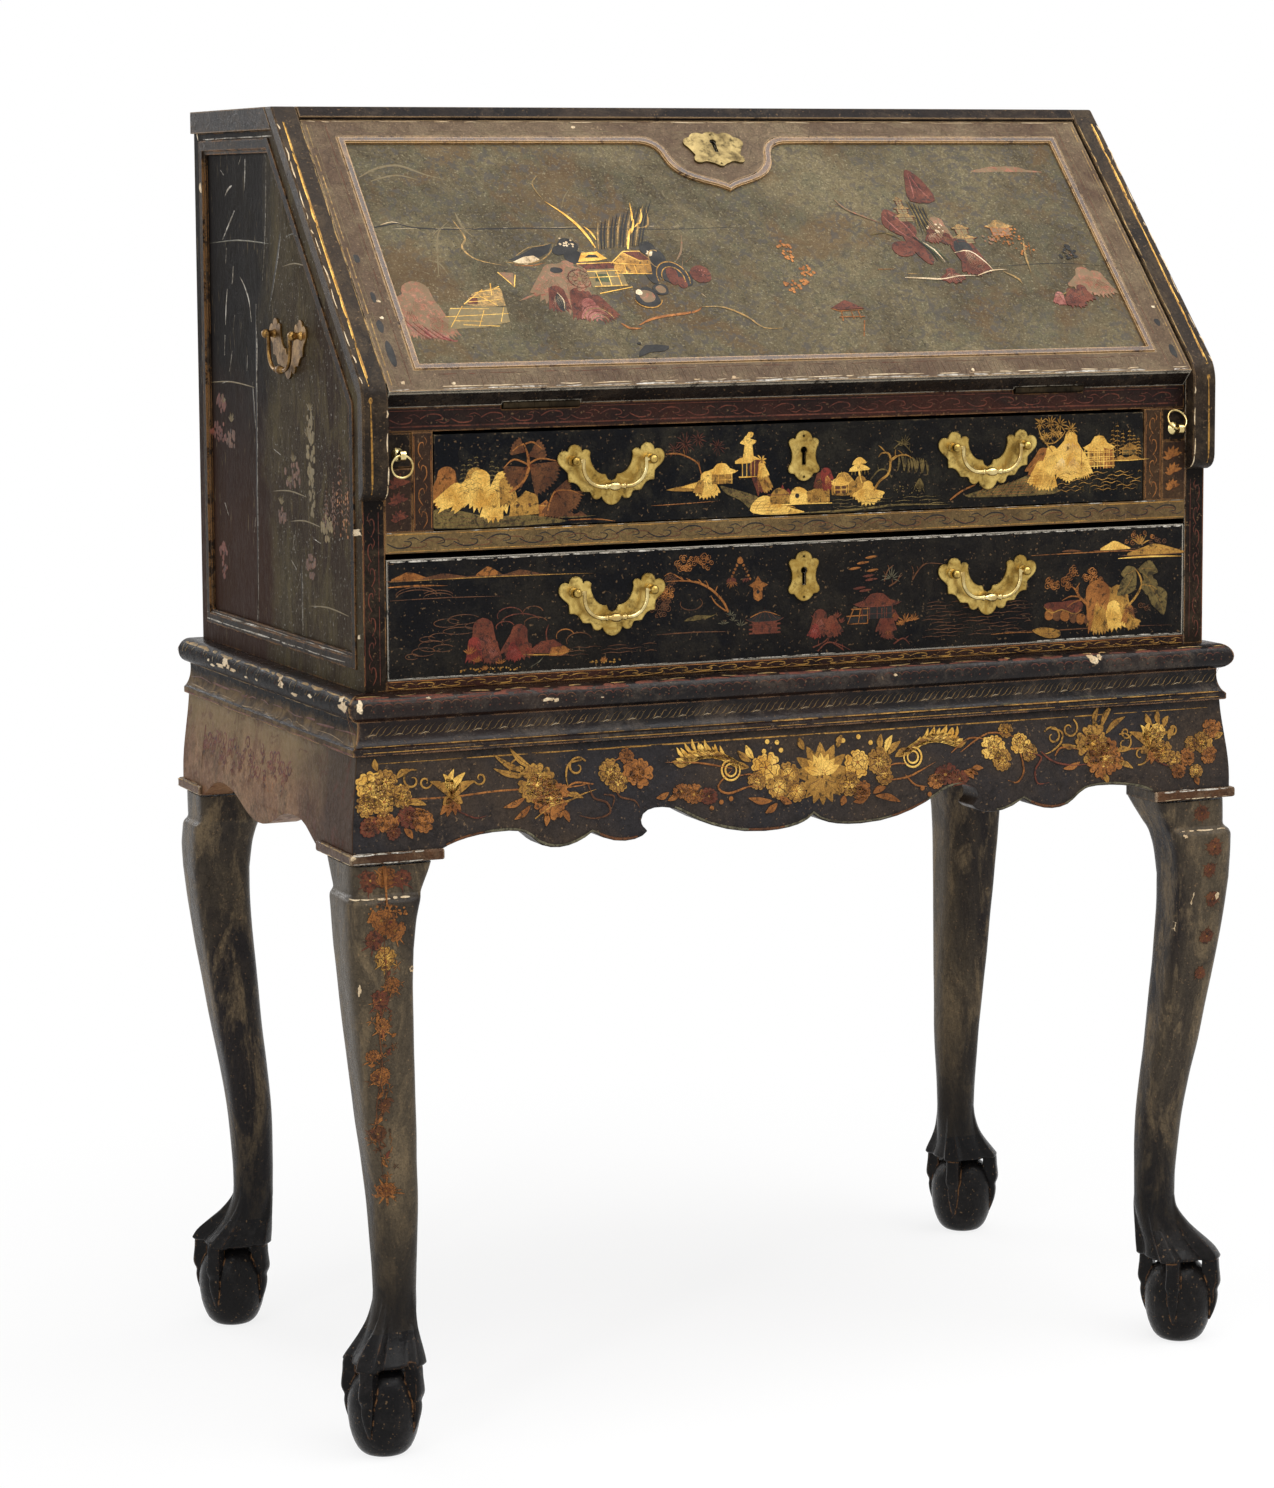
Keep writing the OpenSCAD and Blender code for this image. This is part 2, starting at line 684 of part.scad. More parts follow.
// Gallery of pigeonholes over three small drawers
small_pitch = 2 * (inner_w - gallery_t) / 3;
module gallery() {
    hole_pitch = (2 * inner_w - gallery_t) / pigeonholes;
    low = gallery_shelf_z;
    color([0.24, 0.14, 0.09]) {
        board([-inner_w, gallery_y, low], [inner_w, inner_back, low + gallery_t]);
        board([-inner_w, gallery_y, gallery_top - gallery_t], [inner_w, inner_back, gallery_top]);
        for (i = [0:pigeonholes])
            translate([-inner_w + i * hole_pitch, 0, 0])
                board([0, gallery_y + 2, low + gallery_t + fit],
                    [gallery_t, inner_back, gallery_top - gallery_t - fit]);
        for (x = [-inner_w, -small_pitch / 2 - gallery_t / 2, small_pitch / 2 - gallery_t / 2,
                inner_w - gallery_t])
            board([x, gallery_y + 2, writing_h], [x + gallery_t, inner_back, low - fit]);
    }
}
// A small drawer: a thin box with its knob, in the middle of its place
module small_drawer(i) {
    w = small_pitch - gallery_t - 2 * slack;
    d = inner_back - gallery_y - 10;
    translate([i * small_pitch, gallery_y, writing_h + slack]) {
        color([0.26, 0.15, 0.09])
        difference() {
            board([-w / 2, 0, 0], [w / 2, d, small_drawer_h]);
            board([-w / 2 + 5, 9, 5], [w / 2 - 5, d - 5, small_drawer_h + 1]);
            translate([0, -1, small_drawer_h / 2]) rotate([-90, 0, 0]) cylinder(r = 2 + fit, h = 14);
        }
        color([0.72, 0.55, 0.25])
        translate([0, -fit, small_drawer_h / 2]) rotate([90, 0, 0])
            rotate_extrude()
                polygon(concat([[0, -8], [2, -8], [2, 0], [4, 0], [4, 1], [2, 2], [2, 4]],
                    arc([0, 7.5], 4.2, -50, 90, 8)));
    }
}
module small_drawer_left() {
    small_drawer(-1);
}
module small_drawer_middle() {
    small_drawer(0);
}
module small_drawer_right() {
    small_drawer(1);
}

// Hinges of the fall

module hinge_places() {
    for (x = [-hinge_x, hinge_x]) translate([x, hinge_y, hinge_z]) children();
}
module hinge_barrel(r, x0, x1) {
    translate([x0, 0, 0]) rotate([0, 90, 0]) cylinder(r = r, h = x1 - x0);
}
module hinge_knuckle_room() {
    hinge_barrel(hinge_knuckle_r + slack, -hinge_leaf_l / 2 - slack, hinge_leaf_l / 2 + slack);
}
// A leaf with every second knuckle, let into the board below it
module hinge_leaf(first) {
    pitch = hinge_leaf_l / hinge_knuckles;
    gap = slack / 2;
    difference() {
        union() {
            board([-hinge_leaf_l / 2 + fit, hinge_knuckle_r + slack, -hinge_leaf_t + fit],
                [hinge_leaf_l / 2 - fit, hinge_leaf_w - fit, 0]);
            for (k = [first:2:hinge_knuckles - 1]) {
                x0 = -hinge_leaf_l / 2 + k * pitch + gap;
                hinge_barrel(hinge_knuckle_r, x0, x0 + pitch - 2 * gap);
                board([x0, 0, -hinge_leaf_t + fit], [x0 + pitch - 2 * gap, hinge_leaf_w / 2, 0]);
            }
        }
        hinge_barrel(hinge_pin_r + fit, -hinge_leaf_l, hinge_leaf_l);
        for (x = [-20, 0, 20])
            translate([x, 14, -5]) cylinder(r = 1.6, h = 10);
    }
}
module hinge_case_leaves() {
    color([0.62, 0.47, 0.22])
    hinge_places() hinge_leaf(0);
}
module hinge_fall_leaves() {
    color([0.62, 0.47, 0.22])
    hinge_places() rotate([slope_angle, 0, 0]) mirror([0, 0, 1]) hinge_leaf(1);
}
module hinge_pins() {
    color([0.55, 0.42, 0.2])
    hinge_places() hinge_barrel(hinge_pin_r, -hinge_leaf_l / 2 + slack, hinge_leaf_l / 2 - slack);
}

// Fall

// The right half of the drop below the border, from its top to the point in the middle
function drop_pts(d) = concat(
    [[drop_half_w + d, field_high - d]],
    curve([[drop_half_w + d, field_high - d], [drop_half_w - 10 + d, field_high - d],
        [drop_half_w - 18.5 + d, field_high - 0.18 * drop_h], [drop_half_w - 20 + d, field_high - 0.43 * drop_h]], 6),
    curve([[drop_half_w - 20 + d, field_high - 0.43 * drop_h], [drop_half_w - 22 + d, field_high - 0.57 * drop_h - d],
        [drop_half_w - 28 + d / 2, field_high - 0.71 * drop_h - d], [24, field_high - 0.79 * drop_h - d]], 6),
    curve([[24, field_high - 0.79 * drop_h - d], [15, field_high - 0.87 * drop_h - d],
        [6, field_high - 0.9 * drop_h - d], [0, field_high - drop_h - d]], 6)
);
// Outline of the fall's field, with the drop at the middle of its upper edge
function field_pts(d) = let (drop = drop_pts(d)) concat(
    [[-field_half + d, field_low + d], [field_half - d, field_low + d], [field_half - d, field_high - d]],
    drop, [for (i = [len(drop) - 2:-1:0]) [-drop[i][0], drop[i][1]]],
    [[-field_half + d, field_high - d]]
);
core_face = fall_face - fall_border_t;
lock_s = field_high - 7;
module fall_board() {
    color([0.42, 0.40, 0.33])
    difference() {
        in_slope() {
            difference() {
                board([-fall_half, fall_foot, -hinge_from_lip], [fall_half, fall_head, core_face]);
                board([-lock_w / 2, lock_s - lock_low, -hinge_from_lip - 1],
                    [lock_w / 2, lock_s + lock_high, -hinge_from_lip + lock_t]);
                translate([0, lock_s, -far / 2]) keyhole(far);
            }
        }
        hinge_places() {
            hinge_knuckle_room();
            rotate([slope_angle, 0, 0])
                board([-hinge_leaf_l / 2, -1, -1], [hinge_leaf_l / 2, hinge_leaf_w, hinge_leaf_t]);
        }
    }
}
module fall_border_frame() {
    color([0.36, 0.30, 0.24])
    in_slope()
        difference() {
            board([-fall_half, fall_foot, core_face], [fall_half, fall_head, fall_face]);
            translate([0, 0, core_face - 1]) linear_extrude(fall_border_t + 2) polygon(field_pts(0));
            translate([0, lock_s, 0]) keyhole(far);
            translate([0, lock_s, -far / 2]) keyhole(far);
        }
}
module fall_bead() {
    color([0.40, 0.30, 0.18])
    in_slope() {
        translate([0, 0, core_face]) linear_extrude(fall_border_t - 0.6)
            difference() {
                polygon(field_pts(fit));
                polygon(field_pts(fall_bead_w));
            }
        translate([0, 0, core_face + fall_border_t - 0.6]) linear_extrude(1.2)
            difference() {
                polygon(field_pts(0.8));
                polygon(field_pts(fall_bead_w - 0.8));
            }
    }
}

// Locks and escutcheons

lock_w = 46;
lock_low = 24;
lock_high = 12;
lock_t = 9;
// A keyhole that is cut up through a plate lying flat
module keyhole(h) {
    cylinder(r = 2.6, h = h);
    translate([-1.5, -11, 0]) cube([3, 11, h]);
}
// A lock's case with its faceplate, seen from behind, lying flat
module lock_case() {
    difference() {
        board([-lock_w / 2 + fit, -lock_low + fit, fit], [lock_w / 2 - fit, lock_high - fit, lock_t - fit]);
        translate([0, 0, -1]) keyhole(lock_t + 2);
        translate([0, 0, 3]) cylinder(r = 9, h = lock_t);
    }
    translate([0, 0, 0.5]) difference() {
        cylinder(r = 1.9, h = lock_t - 1.5);
        cylinder(r = 0.9, h = lock_t);
    }
}
// The right half of the drawers' escutcheon
escutcheon_half = concat(
    [[0, 18.5]],
    curve([[0, 18.5], [4, 18.5], [6.5, 16], [7, 12.5]], 5),
    curve([[7, 12.5], [10, 14], [14, 11], [12, 8]], 5),
    curve([[12, 8], [9.5, 4], [9, -2], [11, -6]], 5),
    curve([[11, -6], [14, -9], [14, -14], [8, -13.5]], 5),
    curve([[8, -13.5], [6, -17], [3, -19], [0, -19]], 5)
);
// The right half of the fall's escutcheon
fall_escutcheon_half = concat(
    [[0, 18]],
    curve([[0, 18], [4, 18], [5, 15.5], [7, 15.5]], 5),
    curve([[7, 15.5], [11, 18.5], [17, 17], [19, 12]], 5),
    curve([[19, 12], [22, 12], [27, 9], [25, 4]], 5),
    curve([[25, 4], [22, 1], [21, -3], [19, -7]], 5),
    curve([[19, -7], [23, -10], [22, -16], [16, -15]], 5),
    curve([[16, -15], [13, -13], [9, -13.5], [7, -15.5]], 5),
    curve([[7, -15.5], [4, -15.5], [3, -18.5], [0, -19]], 5)
);
module mirrored_outline(half) {
    polygon(concat(half, [for (p = reversed(half)) if (p[0] > 0.001) [-p[0], p[1]]]));
}
module escutcheon_plate(half, key_at) {
    difference() {
        linear_extrude(plate_t) mirrored_outline(half);
        translate([0, key_at, -1]) keyhole(plate_t + 2);
        for (y = [14.5, -16])
            translate([0, y, -1]) cylinder(r = 0.8, h = plate_t + 2);
    }
}
module fall_escutcheon() {
    color([0.72, 0.55, 0.25])
    in_slope() translate([0, lock_s - 7, fall_face]) escutcheon_plate(fall_escutcheon_half, 7);
}
module fall_lock() {
    color([0.62, 0.47, 0.22])
    in_slope() translate([0, lock_s, -hinge_from_lip]) lock_case();
}

// Handles

// The right half of a handle's plate: its outer edge from the top lobe to the bottom
plate_outer = concat(
    [[17, 3], [16.5, 6]],
    curve([[16.5, 6], [18, 9], [22, 8.5], [23, 6.5]], 4),
    curve([[23, 6.5], [23, 13], [34, 14], [34.5, 6.5]], 6),
    curve([[34.5, 6.5], [38, 9], [43, 6], [42.5, 1]], 5),
    curve([[42.5, 1], [42, -4], [36, -6], [34.5, -9]], 5),
    [[34, -15.5]],
    curve([[34, -15.5], [27, -15], [26, -19], [23.5, -22.5]], 5),
    curve([[23.5, -22.5], [20, -23.5], [17, -22], [16.5, -24]], 4),
    curve([[16.5, -24], [15.5, -30], [10, -29.5], [8, -26.5]], 5),
    curve([[8, -26.5], [6.5, -31], [3, -33], [0, -33]], 5)
);
// Its inner edge from the middle cusp up to the top lobe
plate_inner = concat(
    [[0, -15.5], [3, -14]],
    curve([[3, -14], [4, -12.5], [4, -11.5], [4.5, -10.5]], 3),
    curve([[4.5, -10.5], [11, -11], [16, -5], [17, 3]], 6)
);
plate_half = concat(plate_inner, [for (i = [1:len(plate_outer) - 1]) plate_outer[i]]);
module handle_plate() {
    difference() {
        board_xz(-plate_t, 0)
            polygon(concat(plate_half,
                [for (p = reversed(plate_half)) if (p[0] > 0.001) [-p[0], p[1]]]));
        post_holes(plate_t + 2);
    }
}
post_shank_r = 2;
post_through = 3;
module post_places() {
    for (x = [-post_pitch / 2, post_pitch / 2]) translate([x, 0, 0]) children();
}
// Holes for the posts, from in front of the face to a depth behind it
module post_holes(depth) {
    post_places() translate([0, -plate_t - 1, 0]) rotate([-90, 0, 0])
        cylinder(r = post_shank_r + fit, h = plate_t + 1 + depth);
}
// A post: collar, neck and pierced head in front, shank and nut behind a board
module post(board_t) {
    head = plate_t + post_out;
    difference() {
        rotate([90, 0, 0])
            rotate_extrude()
                polygon(concat(
                    [[0, -board_t - post_through], [post_shank_r, -board_t - post_through],
                        [post_shank_r, plate_t + fit], [3.8, plate_t + fit], [2.6, plate_t + 1.8]],
                    arc([0, head], post_head_r, -45, 90, 10)
                ));
        translate([-10, -head, 0]) rotate([0, 90, 0]) cylinder(r = bail_pin_r + fit, h = 20);
    }
    translate([0, board_t + fit, 0]) rotate([-90, 0, 0])
        difference() {
            cylinder(r = 4, h = post_through - 0.5, $fn = 6);
            translate([0, 0, -1]) cylinder(r = post_shank_r + fit, h = post_through + 2);
        }
}
bail_pin_r = 1.4;
module handle_mounts(board_t) {
    handle_plate();
    post_places() post(board_t);
}
// A bail: pins in the posts, two arms, round corners and a turned middle. A thinner core
// runs through each place where two of these meet
bail_r = bail_d / 2;
bail_arm = post_pitch / 2 - post_head_r - bail_r - 0.6;
bail_corner = 15;
bail_core_r = 0.6 * bail_r;
module bail(drop) {
    translate([0, -plate_t - post_out, 0]) {
        both_sides() {
            translate([bail_arm, 0, 0]) rotate([0, 90, 0])
                cylinder(r = bail_pin_r, h = post_pitch / 2 + 1 - bail_arm);
            translate([bail_arm, 0, bail_corner - drop]) cylinder(r = bail_r, h = drop - bail_corner + bail_r);
            translate([bail_arm - bail_corner, 0, bail_corner - drop]) rotate([90, 0, 0])
                rotate_extrude(angle = -90) translate([bail_corner, 0]) circle(r = bail_r);
            translate([bail_arm, 0, bail_corner - drop - 1]) cylinder(r = bail_core_r, h = 2);
            translate([bail_arm - bail_corner - 1, 0, -drop]) rotate([0, 90, 0])
                cylinder(r = bail_core_r, h = 2);
        }
        translate([0, 0, -drop]) rotate([0, 90, 0])
            rotate_extrude()
                polygon([
                    [0, bail_corner - bail_arm], [bail_r, bail_corner - bail_arm], [bail_r, -8.6], [2.5, -7.4],
                    [1.7, -6], [1.9, -4.4], [3, -2.6], [3.3, -1.2], [3.3, 1.2], [3, 2.6], [1.9, 4.4], [1.7, 6],
                    [2.5, 7.4], [bail_r, 8.6], [bail_r, bail_arm - bail_corner], [0, bail_arm - bail_corner]
                ]);
    }
}

// Side carrying handles
module side_handle_frame() {
    translate([half_w - panel_sink, side_handle_y, side_handle_z]) rotate([0, 0, 90]) children();
}
module side_handle_mounts() {
    color([0.72, 0.55, 0.25])
    both_sides() side_handle_frame() handle_mounts(cheek_t - panel_sink + fit);
}
module side_bail() {
    color([0.78, 0.6, 0.28]) side_handle_frame() bail(side_bail_drop);
}
module side_bail_left() {
    mirror([1, 0, 0]) side_bail();
}
module side_bail_right() {
    side_bail();
}

// Drawers

module drawer_front(half, z0, h, lock_z, handle_z) {
    y0 = front_y + front_set;
    difference() {
        board([-half, y0, z0], [half, y0 + front_t, z0 + h]);
        translate([0, y0, lock_z]) {
            rotate([90, 0, 0]) translate([0, 0, -front_t - 1]) keyhole(front_t + 2);
            board([-lock_w / 2, front_t - lock_t, -lock_low], [lock_w / 2, front_t + 1, lock_high]);
        }
        for (x = [-handle_x, handle_x]) translate([x, y0, handle_z]) post_holes(front_t + 2);
    }
}
module drawer_box(half, z0, h) {
    y0 = front_y + front_set + front_t;
    y1 = front_y + front_set + drawer_len;
    both_sides() board([half - drawer_side_t, y0, z0], [half, y1, z0 + h]);
    board([-half + drawer_side_t + fit, y1 - drawer_side_t, z0], [half - drawer_side_t - fit, y1, z0 + h]);
}
module drawer_bottom(half, z0) {
    y0 = front_y + front_set + front_t;
    y1 = front_y + front_set + drawer_len - drawer_side_t;
    board([-half + drawer_side_t, y0, z0 + 3], [half - drawer_side_t, y1, z0 + 3 + drawer_bottom_t]);
}
module drawer_mounts(handle_z) {
    for (x = [-handle_x, handle_x])
        translate([x, front_y + front_set, handle_z]) handle_mounts(front_t + fit);
}
module drawer_bail(x, handle_z) {
    color([0.78, 0.6, 0.28]) translate([x, front_y + front_set, handle_z]) bail(bail_drop);
}
module drawer_escutcheon(lock_z) {
    translate([0, front_y + front_set, lock_z - 4]) rotate([90, 0, 0]) escutcheon_plate(escutcheon_half, 4);
}
module drawer_lock(lock_z) {
    translate([0, front_y + front_set + front_t, lock_z]) rotate([90, 0, 0]) lock_case();
}

upper_handle_z = upper_front_z0 + 46;
upper_lock_z = upper_front_z0 + 48;
lower_handle_z = lower_front_z0 + 57;
lower_lock_z = lower_front_z0 + 65;
module upper_drawer_front() {
    color([0.12, 0.11, 0.10])
    drawer_front(upper_half, upper_front_z0, upper_front_h, upper_lock_z, upper_handle_z);
}
module upper_drawer_box() {
    color([0.50, 0.38, 0.25]) drawer_box(upper_half, upper_front_z0 - drawer_gap + slack, upper_front_h - 6);
}
module upper_drawer_bottom() {
    color([0.52, 0.40, 0.27]) drawer_bottom(upper_half, upper_front_z0);
}
module upper_handle_mounts() {
    color([0.72, 0.55, 0.25]) drawer_mounts(upper_handle_z);
}
module upper_escutcheon() {
    color([0.72, 0.55, 0.25]) drawer_escutcheon(upper_lock_z);
}
module upper_lock() {
    color([0.62, 0.47, 0.22]) drawer_lock(upper_lock_z);
}
module upper_bail_left() {
    drawer_bail(-handle_x, upper_handle_z);
}
module upper_bail_right() {
    drawer_bail(handle_x, upper_handle_z);
}
module lower_drawer_front() {
    color([0.12, 0.11, 0.10])
    drawer_front(lower_half, lower_front_z0, lower_front_h, lower_lock_z, lower_handle_z);
}
module lower_drawer_box() {
    color([0.50, 0.38, 0.25]) drawer_box(lower_half, lower_front_z0, lower_front_h - 8);
}
module lower_drawer_bottom() {
    color([0.52, 0.40, 0.27]) drawer_bottom(lower_half, lower_front_z0);
}
module lower_handle_mounts() {
    color([0.72, 0.55, 0.25]) drawer_mounts(lower_handle_z);
}
module lower_escutcheon() {
    color([0.72, 0.55, 0.25]) drawer_escutcheon(lower_lock_z);
}
module lower_lock() {
    color([0.62, 0.47, 0.22]) drawer_lock(lower_lock_z);
}
module lower_bail_left() {
    drawer_bail(-handle_x, lower_handle_z);
}
module lower_bail_right() {
    drawer_bail(handle_x, lower_handle_z);
}

// Lopers and their ring pulls

loper_face_y = front_y + front_set;
loper_mid = (loper_x0 + loper_x1) / 2;
pull_out = 9;
pull_z = loper_top - 15.5;
pull_head_r = 3.8;
pull_slab = 2;
pull_hole_r = ring_d / 2 + 0.25;
ring_lean = 28;
module loper() {
    difference() {
        board([loper_x0, loper_face_y, loper_top - loper_h], [loper_x1, loper_face_y + loper_len, loper_top]);
        translate([loper_mid, loper_face_y - 1, pull_z]) rotate([-90, 0, 0]) cylinder(r = 2 + fit, h = 16);
    }
}
module loper_post() {
    translate([loper_mid, loper_face_y, pull_z]) {
        rotate([90, 0, 0])
            rotate_extrude()
                polygon([[0, -12], [2, -12], [2, fit], [5, fit], [3, 2.2], [1.7, 3], [1.7, pull_out - 3.2], [0, pull_out - 3.2]]);
        translate([-pull_slab, -pull_out, 0]) rotate([0, 90, 0])
            difference() {
                cylinder(r = pull_head_r, h = 2 * pull_slab);
                translate([0, 0, -1]) cylinder(r = pull_hole_r, h = 2 * pull_slab + 2);
            }
    }
}
// A ring whose wire passes through the post's eye, hanging below it
module loper_ring() {
    translate([0, 0, -ring_r + 0.12]) rotate([90, 0, 0])
        rotate_extrude($fn = 72) translate([ring_r, 0]) circle(r = ring_d / 2);
}
module ring_place(turn) {
    translate([loper_mid, loper_face_y - pull_out, pull_z]) rotate([turn, 0, 0]) loper_ring();
}
module loper_left() {
    color([0.10, 0.09, 0.09]) mirror([1, 0, 0]) loper();
}
module loper_right() {
    color([0.10, 0.09, 0.09]) loper();
}
module loper_left_post() {
    color([0.75, 0.62, 0.35]) mirror([1, 0, 0]) loper_post();
}
module loper_right_post() {
    color([0.75, 0.62, 0.35]) loper_post();
}
module loper_left_ring() {
    color([0.80, 0.70, 0.45]) mirror([1, 0, 0]) ring_place(0);
}
// The right ring is turned up and leans back on the case
module loper_right_ring() {
    color([0.80, 0.70, 0.45]) ring_place(180 - ring_lean);
}

leg_front_left();
leg_front_right();
leg_back_left();
leg_back_right();
apron_front();
apron_left();
apron_right();
stand_back_rail();
stand_moulding();
knee_collars();
stand_bearers();
cheek_left();
cheek_right();
cheek_lips();
side_panel_mouldings();
top_board();
back_boards();
bottom_board();
base_rail();
writing_board();
drawer_blade();
front_stiles();
runners_and_guides();
gallery();
side_handle_mounts();
hinge_case_leaves();
hinge_pins();
fall_board();
fall_border_frame();
fall_bead();
fall_escutcheon();
fall_lock();
hinge_fall_leaves();
loper_left();
loper_left_post();
loper_left_ring();
loper_right();
loper_right_post();
loper_right_ring();
upper_drawer_front();
upper_drawer_box();
upper_drawer_bottom();
upper_handle_mounts();
upper_escutcheon();
upper_lock();
upper_bail_left();
upper_bail_right();
lower_drawer_front();
lower_drawer_box();
lower_drawer_bottom();
lower_handle_mounts();
lower_escutcheon();
lower_lock();
lower_bail_left();
lower_bail_right();
side_bail_left();
side_bail_right();
small_drawer_left();
small_drawer_middle();
small_drawer_right();
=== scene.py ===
"""Slope-front bureau in old lacquer on a cabriole stand: finishes, brass, painted work and room."""
import json
import math
import random

import bmesh
import bpy
from mathutils import Matrix, Vector, noise
from mathutils.bvhtree import BVHTree
from mathutils.geometry import tessellate_polygon

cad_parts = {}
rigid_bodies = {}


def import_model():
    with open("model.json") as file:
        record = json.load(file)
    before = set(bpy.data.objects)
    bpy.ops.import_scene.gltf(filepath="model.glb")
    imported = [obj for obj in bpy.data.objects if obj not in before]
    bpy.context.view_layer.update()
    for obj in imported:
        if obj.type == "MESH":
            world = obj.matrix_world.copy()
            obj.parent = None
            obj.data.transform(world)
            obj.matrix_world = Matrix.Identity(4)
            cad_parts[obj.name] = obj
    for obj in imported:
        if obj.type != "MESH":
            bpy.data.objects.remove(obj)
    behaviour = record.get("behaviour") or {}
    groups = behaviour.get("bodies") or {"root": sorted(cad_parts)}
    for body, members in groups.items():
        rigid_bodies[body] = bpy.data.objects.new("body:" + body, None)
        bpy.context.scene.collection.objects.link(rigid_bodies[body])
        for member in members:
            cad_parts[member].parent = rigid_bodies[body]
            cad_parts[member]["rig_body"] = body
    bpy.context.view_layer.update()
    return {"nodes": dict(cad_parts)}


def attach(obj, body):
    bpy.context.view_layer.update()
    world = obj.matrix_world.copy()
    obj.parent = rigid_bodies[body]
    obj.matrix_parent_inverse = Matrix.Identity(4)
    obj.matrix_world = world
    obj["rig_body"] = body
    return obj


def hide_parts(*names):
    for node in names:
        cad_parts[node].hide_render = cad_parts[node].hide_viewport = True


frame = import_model()
nodes = frame["nodes"]

# Sizes in millimetres, the same as in the model
DRAWER_Y = -189.0
SLOPE_Y = -201.5
SLOPE_Z = 777.7
SLOPE_ANGLE = math.radians(46.2)
SKIRT_LOW = 66.5
SKIRT_TOP = 116.0
NECK_LOW = 376.0
COLLAR_Z = 440.0
NECK_TOP = 440.5
BLACK_FOOT_TOP = 90.0
# Edges sharper than this are rounded
SHARP = math.radians(38)
FOOT_X = 338.0
FOOT_Y = 181.0
CASE_BODY = "case_and_stand"


def mm(x, y, z):
    return Vector((x, y, z)) / 1000.0


def tint(red, green, blue):
    """A colour given in screen values from 0 to 255, as the shaders want it."""
    def straight(value):
        share = value / 255.0
        return share / 12.92 if share <= 0.04045 else ((share + 0.055) / 1.055) ** 2.4
    return (straight(red), straight(green), straight(blue), 1.0)


# Writing shader trees

class Wiring:
    """Adds nodes to a shader tree. A value is a number, a colour or another node's output."""

    def __init__(self, tree):
        self.tree = tree
        self.place = None

    def put(self, socket, value):
        if value is None:
            return
        if isinstance(value, bpy.types.NodeSocket):
            self.tree.links.new(value, socket)
        else:
            socket.default_value = value

    def add(self, kind, *values, **settings):
        made = self.tree.nodes.new("ShaderNode" + kind)
        for name, value in settings.items():
            setattr(made, name, value)
        for index, value in enumerate(values):
            self.put(made.inputs[index], value)
        return made

    def fed(self, kind, settings=(), **values):
        """Adds a node and gives its inputs by name."""
        made = self.add(kind, **dict(settings))
        for name, value in values.items():
            self.put(made.inputs[name], value)
        return made

    def math(self, operation, first, second=0.0):
        return self.add("Math", first, second, operation=operation, use_clamp=True).outputs[0]

    def mix(self, share, first, second, blend="MIX"):
        made = self.add("Mix", data_type="RGBA", blend_type=blend)
        self.put(made.inputs[0], share)
        self.put(made.inputs[6], first)
        self.put(made.inputs[7], second)
        return made.outputs[2]

    def span(self, value, low, high, start=0.0, end=1.0):
        """The value's way from low to high, turned into a way from start to end."""
        return self.add("MapRange", value, low, high, start, end, clamp=True).outputs[0]

    def object_place(self, stretch=(1, 1, 1)):
        if self.place is None:
            self.place = self.add("TexCoord").outputs["Object"]
        return self.fed("Mapping", Vector=self.place, Scale=stretch).outputs[0]

    def cloud(self, place, scale, detail=4.0, rough=0.55, warp=0.0):
        return self.fed("TexNoise", Vector=place, Scale=scale, Detail=detail, Roughness=rough,
                        Distortion=warp).outputs[0]

    def cracks(self, place, scale, low, high):
        made = self.fed("TexVoronoi", {"feature": "DISTANCE_TO_EDGE"}, Vector=place, Scale=scale)
        return self.span(made.outputs["Distance"], low, high, 1.0, 0.0)


def node_group(name, inputs, outputs):
    """An empty shader group with named sockets, and its wiring."""
    tree = bpy.data.node_groups.new(name, "ShaderNodeTree")
    for title, kind, value in inputs:
        socket = tree.interface.new_socket(title, in_out="INPUT", socket_type="NodeSocket" + kind)
        socket.default_value = value
    for title, kind in outputs:
        tree.interface.new_socket(title, in_out="OUTPUT", socket_type="NodeSocket" + kind)
    given, out = (tree.nodes.new("NodeGroup" + end) for end in ("Input", "Output"))
    return tree, Wiring(tree), given.outputs, out.inputs


